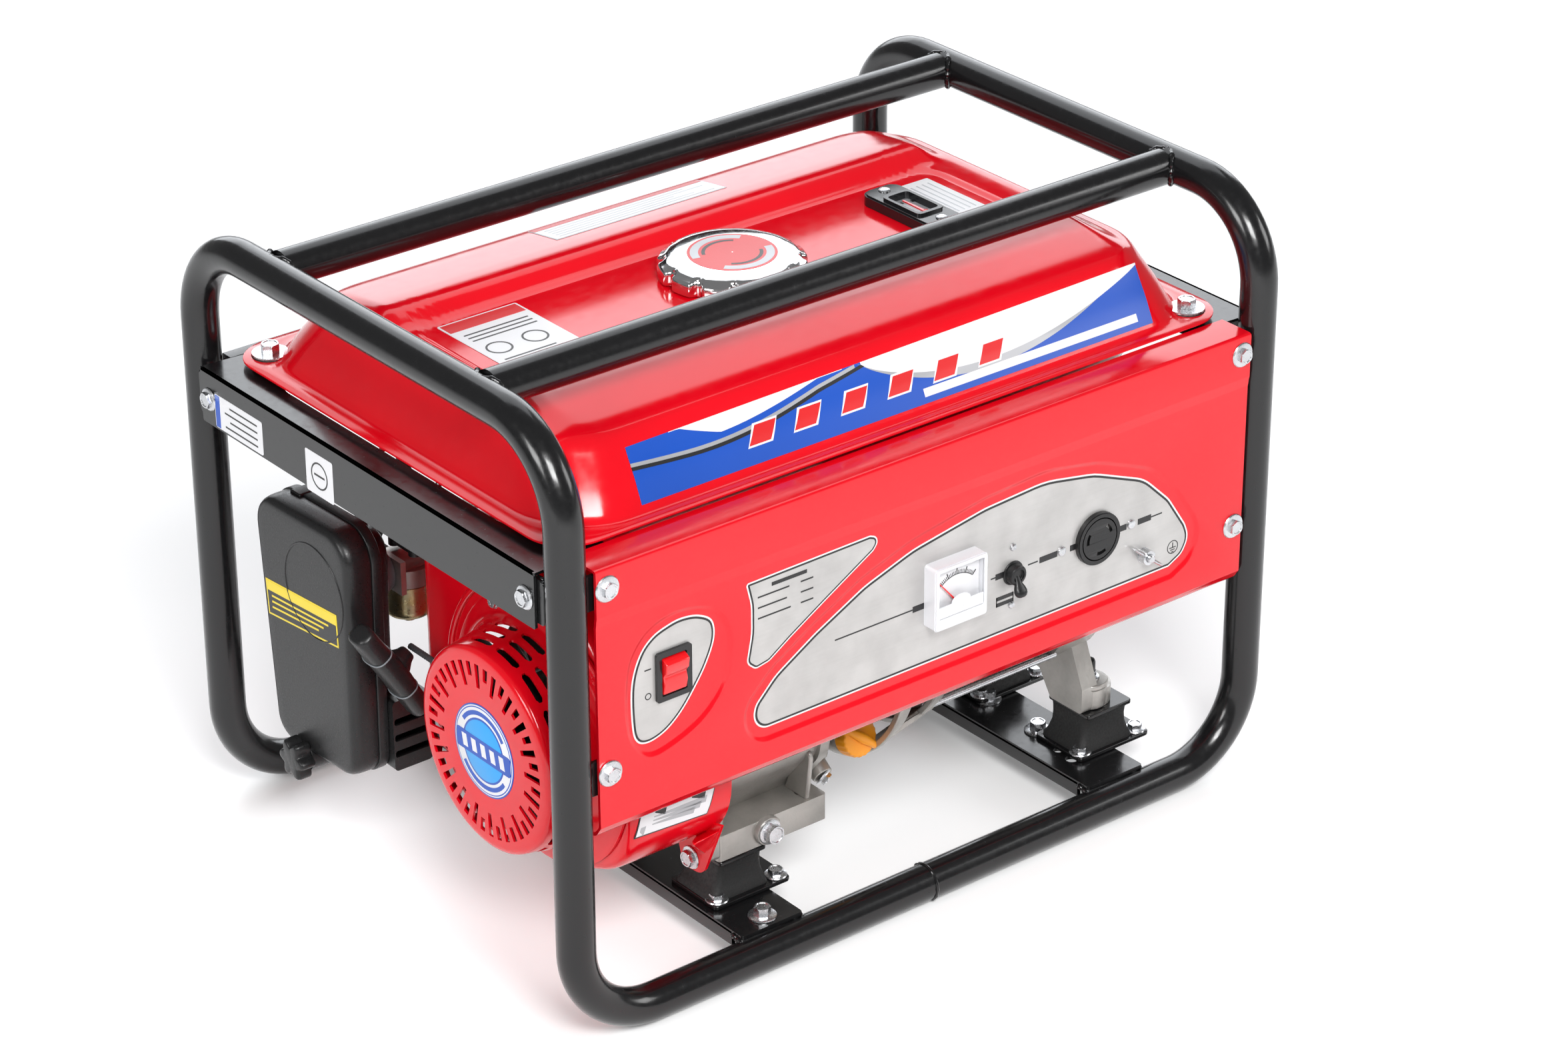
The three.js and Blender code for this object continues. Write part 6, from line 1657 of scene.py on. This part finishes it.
LAMINATION = surface("stator_laminations", (0.30, 0.30, 0.30), 0.42, metal=0.9, vary=0.18, patch=120,
                     grain=1300, relief=0.03, worn=(0.27, 0.23, 0.20))
piece("stator_stack", stator(), LAMINATION, replaces=["alternator_stator"], bevel=0.0)
windings = Shape([], [])
for x0, x1 in ((37.2, 46.8), (152.2, 161.8)):
    for row, radius in enumerate((54.5, 58.5, 62.5, 66)):
        loop = [((x0 + x1) / 2 + 1.6 * math.sin(24 * a + row), *about_axis(radius, a))
                for a in [2 * math.pi * k / 96 for k in range(96)]]
        windings = windings + sweep(loop, 2.9, 10, closed=True)
piece("stator_windings", windings, COPPER)
QUARTERS = [math.radians(degrees) for degrees in (45, 135, 225, 315)]
through_bolts = together(rod((40, *about_axis(79.5, a)), (156, *about_axis(79.5, a)), 2.6, 16)
                         for a in QUARTERS)
piece("stator_bolts", through_bolts, ZINC)

refined("alternator_end_bracket", CAST, bevel=0.9)
for tag, y in (("front", -150), ("rear", -42)):
    lean = -1 if y < AXIS_Y else 1
    boss = lathe([(0, 61.5), (12.6, 61.5), (13, 63), (13, 76), (13.8, 77), (13.8, 79.4), (13.2, 80.2),
                  (8, 80.6), (0, 80.6)], 48)
    piece(f"alternator_boss_{tag}", boss.at(188, y + 2.5 * lean, 0), CAST, bevel=0.4)
    nut = hex_head(10, 4, washer=7.6).at(188, y + 2.5 * lean, 80.6)
    piece(f"alternator_nut_{tag}", nut, ZINC)
    plug = lathe([(0, 84), (4.6, 84), (4.8, 86), (4.8, 93), (4.2, 94.6), (2.6, 95.4), (0, 95.6)], 32)
    piece(f"alternator_stud_cap_{tag}", plug.at(188, y + 2.5 * lean, 0), BLACK_PLASTIC)
    arms = Shape([], [])
    for x in (177, 186):
        path = [(x + 2, y, 74), (x, y - 12 * lean, 92), (x - 2, AXIS_Y + 34 * lean, 112)]
        arms = arms + sweep(path, [5.2, 4.4, 3.6], 16)
    piece(f"alternator_arms_{tag}", arms, CAST)
end_profile = [(50, 236), (56, 235.9), (60, 235.2), (65, 233.4), (68.6, 231), (71, 227.4), (72, 223),
               (73, 205), (74, 190), (74, 186.3)]
piece("end_cover_wall", turned_grid(end_profile, 96, -2.6, lambda i, j: False), BLACK_PLASTIC,
      replaces=["alternator_cover"], sharp=40)
vents = []
for row in (-2, -1, 0, 1, 2):
    half = 38 - abs(row) * 6
    z = AXIS_Z + row * 14
    vents.append(rectangle(AXIS_Y - half, AXIS_Y + half, z - 2.5, z + 2.5, 2.4))
end_face = prism(circle(52, 96, (AXIS_Y, AXIS_Z)), "x", 233.2, 236, vents)
piece("end_cover_face", end_face, BLACK_PLASTIC, bevel=0.5)
end_screw = hex_head(7, 3, flange=5.4)
end_screws = together(end_screw.facing((1, 0, 0), (229.6, *about_axis(62, a))) for a in QUARTERS)
piece("end_cover_screws", end_screws, ZINC)


# ---------------------------------------------------------------- air cleaner and carburettor

# The (y, z) of the cover's knob and of the carburettor's intake.
KNOB_Y, KNOB_Z = 100, 79
INTAKE = 66, 218


def edge_ring(by, x):
    """The air cleaner's outline at one x, brought in by a distance."""
    corners = [(33 + by, 266 - by, 24 - by), (148 - by, 262 - by, 24 - by), (134 - by, 80 + by, 20 - by),
               (36 + by, 84 + by, 18 - by)]
    return [(x, p.x, p.y) for p in rounded(corners, 0, 7.5)]


cover_rings = [edge_ring(by, x) for by, x in (
    (3.6, -271.5), (3.4, -270), (1.2, -270), (1, -270.4), (1, -277), (1.2, -281), (1.9, -284.4),
    (3.4, -286.9),
    (5.4, -288.1), (8, -288.4), (13, -288.45))]
knob_bore = circle(4.4, 24, (KNOB_Y, KNOB_Z))
piece("cleaner_cover", loft(cover_rings), BLACK_PLASTIC, replaces=["air_cleaner_cover"], sharp=50)
knob_boss = prism(circle(11, 32, (KNOB_Y, KNOB_Z)), "x", -288.6, -270.1, [knob_bore])
piece("cleaner_knob_boss", knob_boss, BLACK_PLASTIC, bevel=0.5)
emboss_ring = [(-288.2, p.x, p.y) for p in circle(34, 72, (76, 212))]
piece("cleaner_emboss", sweep(emboss_ring, 0.8, 10, closed=True), BLACK_PLASTIC)
base_rings = [edge_ring(by, x) for by, x in (
    (2.4, -269.7), (0.5, -269.6), (0, -269.1), (0, -262.6), (0.6, -262.1), (7.4, -262), (8, -261.6),
    (8.6, -253.4), (10.4, -251.5), (14, -251))]
piece("cleaner_base", loft(base_rings), BLACK_PLASTIC, replaces=["air_cleaner_base"], sharp=45)
side_slots = [rectangle(-261, -234, z, z + 5, 1.6) for z in (98, 110, 122)]
box_loop = rectangle(-262, -232, 88, 140, 3)
snorkel_walls = together([
    prism(box_loop, "y", 30, 32, side_slots),
    prism(box_loop, "y", 32, 72, [inset(box_loop, 2)]),
    prism(box_loop, "y", 70, 72)])
piece("snorkel", snorkel_walls, BLACK_PLASTIC, bevel=0.5)
elbow = [(22, -253.8), (22, -251.4), (21.4, -250.4), (19, -248.6), (16.6, -246), (15.4, -243), (15, -241),
         (11, -241), (11, -253.8), (22, -253.8)]
piece("intake_elbow", along_x(lathe(elbow, 56), *INTAKE), GREY_PLASTIC)
refined("air_filter_element", FOAM, bevel=1.2)
clips = together(prism(rectangle(y - 6, y + 6, 255, 263.8, 1.5), "x", -272.5, -258) for y in (60, 118))
piece("cleaner_clip_bosses", clips, BLACK_PLASTIC, bevel=0.8)


def knob_shape():
    rings = []
    for x, scale in ((-288.9, 0.97), (-289.6, 1), (-297, 1), (-298.8, 0.96), (-299.7, 0.88), (-300, 0.74)):
        ring = []
        for k in range(120):
            a = 2 * math.pi * k / 120
            r = (12.4 + 2.4 * math.cos(6 * a)) * scale
            ring.append((x, KNOB_Y + r * math.cos(a), KNOB_Z + r * math.sin(a)))
        rings.append(ring)
    return loft(rings)


knob = knob_shape() + rod((-289, KNOB_Y, KNOB_Z), (-254, KNOB_Y, KNOB_Z), 3.6, 24)
piece("cover_knob", knob, BLACK_PLASTIC, "air_cleaner_knob", replaces=["air_cleaner_knob"], sharp=40)

cleaner_label = [Vector(p) for p in ((135, 199), (50, 206), (49, 182), (133, 173))]
for k, (by, material) in enumerate(((0, YELLOW_LABEL), (1.4, BLACK_LABEL))):
    edge = inset(cleaner_label, by)
    piece(f"cleaner_label_{k}", prism(edge, "x", -288.2, -288.62 - 0.1 * k), material)
band = [Vector(p) for p in ((134, 198), (51, 204.8), (50.8, 198), (133.8, 191.2))]
piece("cleaner_label_band", prism(band, "x", -288.2, -288.8), YELLOW_LABEL)
label_rows = Shape([], [])
for k in range(3):
    z = 188 - 4.2 * k
    row = [Vector(p) for p in ((128, z - 0.4), (60 + 6 * k, z + 5.4), (60 + 6 * k, z + 6.8), (128, z + 1.0))]
    label_rows = label_rows + prism(row, "x", -288.2, -288.82)
piece("cleaner_label_rows", label_rows, YELLOW_LABEL)

refined("carburettor", CAST, bevel=0.7)
bowl = lathe([(0, 175), (4.4, 175), (5, 175.6), (5, 180), (11.6, 180), (14.6, 181.2), (16.4, 183.8),
              (17, 187), (17, 203.4), (17.4, 204), (17.4, 205), (0, 205)], 48).at(-222, 66, 0)
piece("float_bowl", bowl, BRASS, replaces=["carburettor_bowl"])
piece("bowl_nut", hex_head(10, 4, flange=6.4).facing((0, 0, -1), (-222, 66, 179.8)), BRASS)
choke = together([
    lathe([(0, 233), (4, 233), (4, 238.2), (3.4, 238.8), (0, 238.8)], 28).at(-231, 66, 0),
    prism(rectangle(-234, -228, 40, 68, 2.6), "z", 235.5, 237.5),
    lathe([(0, 234.5), (4.5, 234.5), (4.5, 240.6), (3.6, 241.5), (0, 241.5)], 28).at(-231, 42, 0)])
piece("choke", choke, BLACK_PLASTIC, "choke_lever", replaces=["choke_lever"], bevel=0.4)
governor = together([
    lathe([(0, 277), (8, 277), (8, 282.4), (7.4, 283), (0, 283)], 32).at(-138, -50, 0),
    sweep([(-138, -50, 280), (-205, 50, 280)], 2.2, 16),
    rod((-205, 50, 282.2), (-205, 50, 240), 2, 16)])
piece("governor", governor, ZINC, "governor_arm", replaces=["governor_arm"])
TAP_X, TAP_Y = -196, 104
tap_body = lathe([(0, 265.7), (2.8, 265.7), (2.8, 282), (9.5, 282), (9.5, 303), (13, 303.2), (13, 305.7),
                  (4, 305.7), (4, 327.7), (0, 327.7)], 36)
piece("tap_body", tap_body.at(TAP_X, TAP_Y, 0), BRASS, replaces=["fuel_tap"], bevel=0.4)
tap_hub = prism(circle(6.5, 32, (TAP_X, 292.7)), "y", 86, 94)
tap_lever = tap_hub + prism(rectangle(-224, TAP_X, 288.7, 296.7, 3), "y", 87, 90)
piece("tap_lever", tap_lever, RED_PLASTIC, "fuel_tap_lever", replaces=["fuel_tap_lever"], bevel=0.7)
hose = bent([(TAP_X, TAP_Y, 279.7), (TAP_X, TAP_Y, 236), (-222, 118, 213), (-222, 85, 213)], 12, 10)
piece("fuel_line", sweep(hose, 5, 24), RUBBER, replaces=["fuel_hose"])
hose_clip = lathe([(5, -1), (5.9, -1), (5.9, 1), (5, 1), (5, -1)], 32)
hose_clips = together(hose_clip.at(TAP_X, TAP_Y, z) for z in (274, 277))
piece("hose_clips", hose_clips, ZINC)


# ---------------------------------------------------------------- muffler

# The (y, z) of the tail pipe's axis, and where the guard is bolted down.
TAIL_PIPE = 112, 250
GUARD_BOLTS_X = -10, 134


def drum_section(x, by):
    edge = rectangle(40 + by, 148 - by, 184 + by, 278 - by, 34 - by, 7.5)
    return [(x, p.x, p.y) for p in edge]


drum_rings = [drum_section(x, by) for x, by in (
    (-44, 14), (-43.8, 10), (-42.6, 6), (-40, 3), (-37, 1.6), (-35.4, 0), (-33.6, 0), (-33, 1.4), (-31, 1.6),
    (60, 1.6), (60.6, 0.6), (63.4, 0.6), (64, 1.6), (155, 1.6), (157, 1.4), (157.6, 0), (159.4, 0),
    (161, 1.6),
    (164, 3), (166.6, 6), (167.8, 10), (168, 14))]
muffler = loft(drum_rings)
muffler = muffler + prism(rectangle(32, 80, 204, 232, 6), "x", -65.7, -61, [circle(9, 32, (60, 218))])
muffler = muffler + rod((-64, 60, 218), (-40, 60, 218), 12, 36)
tail = [(8.5, 150), (11, 150), (11, 180.6), (10.4, 182), (9, 182), (8.5, 181), (8.5, 150)]
muffler = muffler + along_x(lathe(tail, 40), *TAIL_PIPE)
piece("silencer", muffler, EXHAUST, replaces=["muffler"], sharp=40)
stopper = along_x(lathe([(0, 158), (8.6, 158), (8.6, 159), (0, 159)], 40), *TAIL_PIPE)
piece("spark_arrester", stopper, SHEET_STEEL)


def guard():
    """The bent heat shield behind and over the silencer, with long slots in its upright."""
    top = prism(rectangle(-36, 160, 46, 150, 4), "z", 285, 286)
    slots = [rectangle(-22 + 20 * k, -14 + 20 * k, 200, 262, 3.9) for k in range(9)]
    upright = prism(rectangle(-36, 160, 178, 282, 4), "y", 153, 154, slots)
    bend = []
    for k in range(9):
        a = math.pi / 2 * k / 8
        bend.append((150 + 4 * math.sin(a), 282 + 4 * math.cos(a)))
    for k in range(8, -1, -1):
        a = math.pi / 2 * k / 8
        bend.append((150 + 3 * math.sin(a), 282 + 3 * math.cos(a)))
    corner = prism([Vector(p) for p in bend], "x", -36, 160)
    posts = together(rod((x, 96, 278.3), (x, 96, 285.4), 5, 24) for x in GUARD_BOLTS_X)
    return top + upright + corner + posts


piece("heat_shield", guard(), SHEET_STEEL, replaces=["muffler_guard"])
shield_bolts = together(hex_head(10, 5, flange=8).at(x, 96, 286) for x in GUARD_BOLTS_X)
piece("heat_shield_bolts", shield_bolts, ZINC)


# ---------------------------------------------------------------- rubber mounts


def mount(base_x, top_x, y, depth):
    """A waisted rubber block between a steel base plate and a steel top plate."""
    b0, b1 = base_x
    t0, t1 = top_x
    plates = prism(rectangle(b0, b1, y - depth, y + depth, 4), "z", 29, 32)
    plates = plates + prism(rectangle(t0, t1, y - 21, y + 21, 3), "z", 58, 61)
    rings = []
    for z, left, right, half in ((32, -6, 2, 21), (34, -5.6, 1.8, 20.8), (38, -3, 0.4, 19),
                                 (44, -0.6, -1.2, 17.9), (50, 0, -1.8, 17.8), (55, 0.6, -2, 18.8),
                                 (58, 1, -2, 20)):
        edge = rectangle(t0 + left, t1 + right, y - half, y + half, 5, 10)
        rings.append([(p.x, p.y, z) for p in edge])
    return plates, loft(rings)


for name, base_x, top_x, y, depth in (
    ("left_front", (-147, -84), (-140, -101), -140, 25), ("left_rear", (-147, -84), (-140, -101), -5, 25),
    ("right_front", (165, 230), (174, 215), -148, 24), ("right_rear", (165, 230), (174, 215), -44, 24)):
    plates, rubber = mount(base_x, top_x, y, depth)
    piece(f"mount_{name}", rubber, RUBBER, replaces=[f"rubber_mount_{name}"], sharp=60)
    piece(f"mount_{name}_plates", plates, BLACK_PAINT, bevel=0.6)
    bolt = hex_head(9, 5, flange=7.6)
    bolts = together(bolt.at(x, y - (depth - 8), 32) for x in (base_x[0] + 7, base_x[1] - 7))
    piece(f"mount_{name}_bolts", bolts, ZINC)
for x, y in ((-126, -187), (173, -119), (175, -64)):
    piece(f"member_bolt_{abs(x)}_{abs(y)}", hex_head(10, 6, washer=9.4).at(x, y, 28.7), ZINC)


# ---------------------------------------------------------------- stickers

for y0, y1, z0, z1, tag in ((113, 170, 299.5, 323.5, "wide"), (31, 62, 296, 325.5, "small")):
    edge = rectangle(y0, y1, z0, z1, 1.5)
    piece(f"sticker_{tag}", prism(edge, "x", -296.9, -297.25), WHITE_LABEL)
piece("sticker_wide_band", prism(rectangle(164, 169.4, 300, 323), "x", -296.9, -297.35), BLUE_LABEL)
sticker_rows = [rectangle(119, 158 - 6 * (k % 2), 303 + 5 * k, 304.2 + 5 * k) for k in range(4)]
sticker_marks = together(prism(row, "x", -296.9, -297.34) for row in sticker_rows)
sign_hole = circle(8.3, 40, (46.5, 310.5))
sticker_marks = sticker_marks + prism(circle(9.5, 40, (46.5, 310.5)), "x", -296.9, -297.34, [sign_hole])
sticker_marks = sticker_marks + prism(rectangle(40.5, 52.5, 309.8, 311.2), "x", -296.9, -297.34)
piece("sticker_marks", sticker_marks, BLACK_LABEL)


# ---------------------------------------------------------------- floor, light and camera

floor_mesh = bpy.data.meshes.new("floor")
floor_mesh.from_pydata([(-9, -9, 0), (9, -9, 0), (9, 9, 0), (-9, 9, 0)], [], [(0, 1, 2, 3)])
floor = bpy.data.objects.new("floor", floor_mesh)
bpy.context.scene.collection.objects.link(floor)
floor_paint, _, floor_shader = nodes_of("studio_floor")
floor_shader.inputs["Base Color"].default_value = (0.88, 0.88, 0.88, 1)
floor_shader.inputs["Emission Color"].default_value = (1, 1, 1, 1)
floor_shader.inputs["Emission Strength"].default_value = 0.16
floor_shader.inputs["Roughness"].default_value = 0.9
floor_shader.inputs["Specular IOR Level"].default_value = 0.1
floor_mesh.materials.append(floor_paint)


def softbox(name, place, aim, size, power, colour=(1, 1, 1)):
    light = bpy.data.lights.new(name, "AREA")
    light.shape = "RECTANGLE"
    light.size, light.size_y = size
    light.energy = power
    light.color = colour
    lamp = bpy.data.objects.new(name, light)
    lamp.location = place
    lamp.rotation_euler = (Vector(aim) - Vector(place)).to_track_quat("-Z", "Y").to_euler()
    bpy.context.scene.collection.objects.link(lamp)


COOL = (0.93, 0.96, 1.0)
softbox("key", (-1.1, -2.3, 2.3), (0, 0, 0.2), (1.2, 1.0), 92)
softbox("left_fill", (-3.0, -0.5, 1.8), (0, 0, 0.2), (1.2, 1.0), 40)
softbox("right_fill", (2.6, -1.9, 1.5), (0, 0, 0.2), (1.2, 1.2), 26)
softbox("overhead", (0.9, 1.6, 2.7), (0, 0.1, 0.2), (2.6, 1.8), 26, COOL)
softbox("backdrop", (2.3, 2.9, 1.7), (0, 0, 0.4), (4.6, 2.2), 95, COOL)

world = bpy.data.worlds.new("studio")
bpy.context.scene.world = world
world.use_nodes = True
world.node_tree.nodes["Background"].inputs["Color"].default_value = (1, 1, 1, 1)
world.node_tree.nodes["Background"].inputs["Strength"].default_value = 0.2
bpy.context.scene.view_settings.view_transform = "Standard"

camera = bpy.data.cameras.new("camera")
camera.lens = 100.11
camera.sensor_width = 36
camera.clip_end = 50
eye = bpy.data.objects.new("camera", camera)
bpy.context.scene.collection.objects.link(eye)
# The camera's place and turn, solved from the photograph.
azimuth, elevation, roll = (math.radians(v) for v in (-38.564, 27.149, -0.232))
back = Vector((math.sin(azimuth) * math.cos(elevation), -math.cos(azimuth) * math.cos(elevation),
               math.sin(elevation)))
right = Z.cross(back).normalized()
up = back.cross(right)
right, up = right * math.cos(roll) + up * math.sin(roll), up * math.cos(roll) - right * math.sin(roll)
turn = Matrix((right, up, back)).transposed().to_4x4()
eye.matrix_world = Matrix.Translation(Vector((-1609.75, -2072.30, 1545.59)) * MM) @ turn
bpy.context.scene.camera = eye
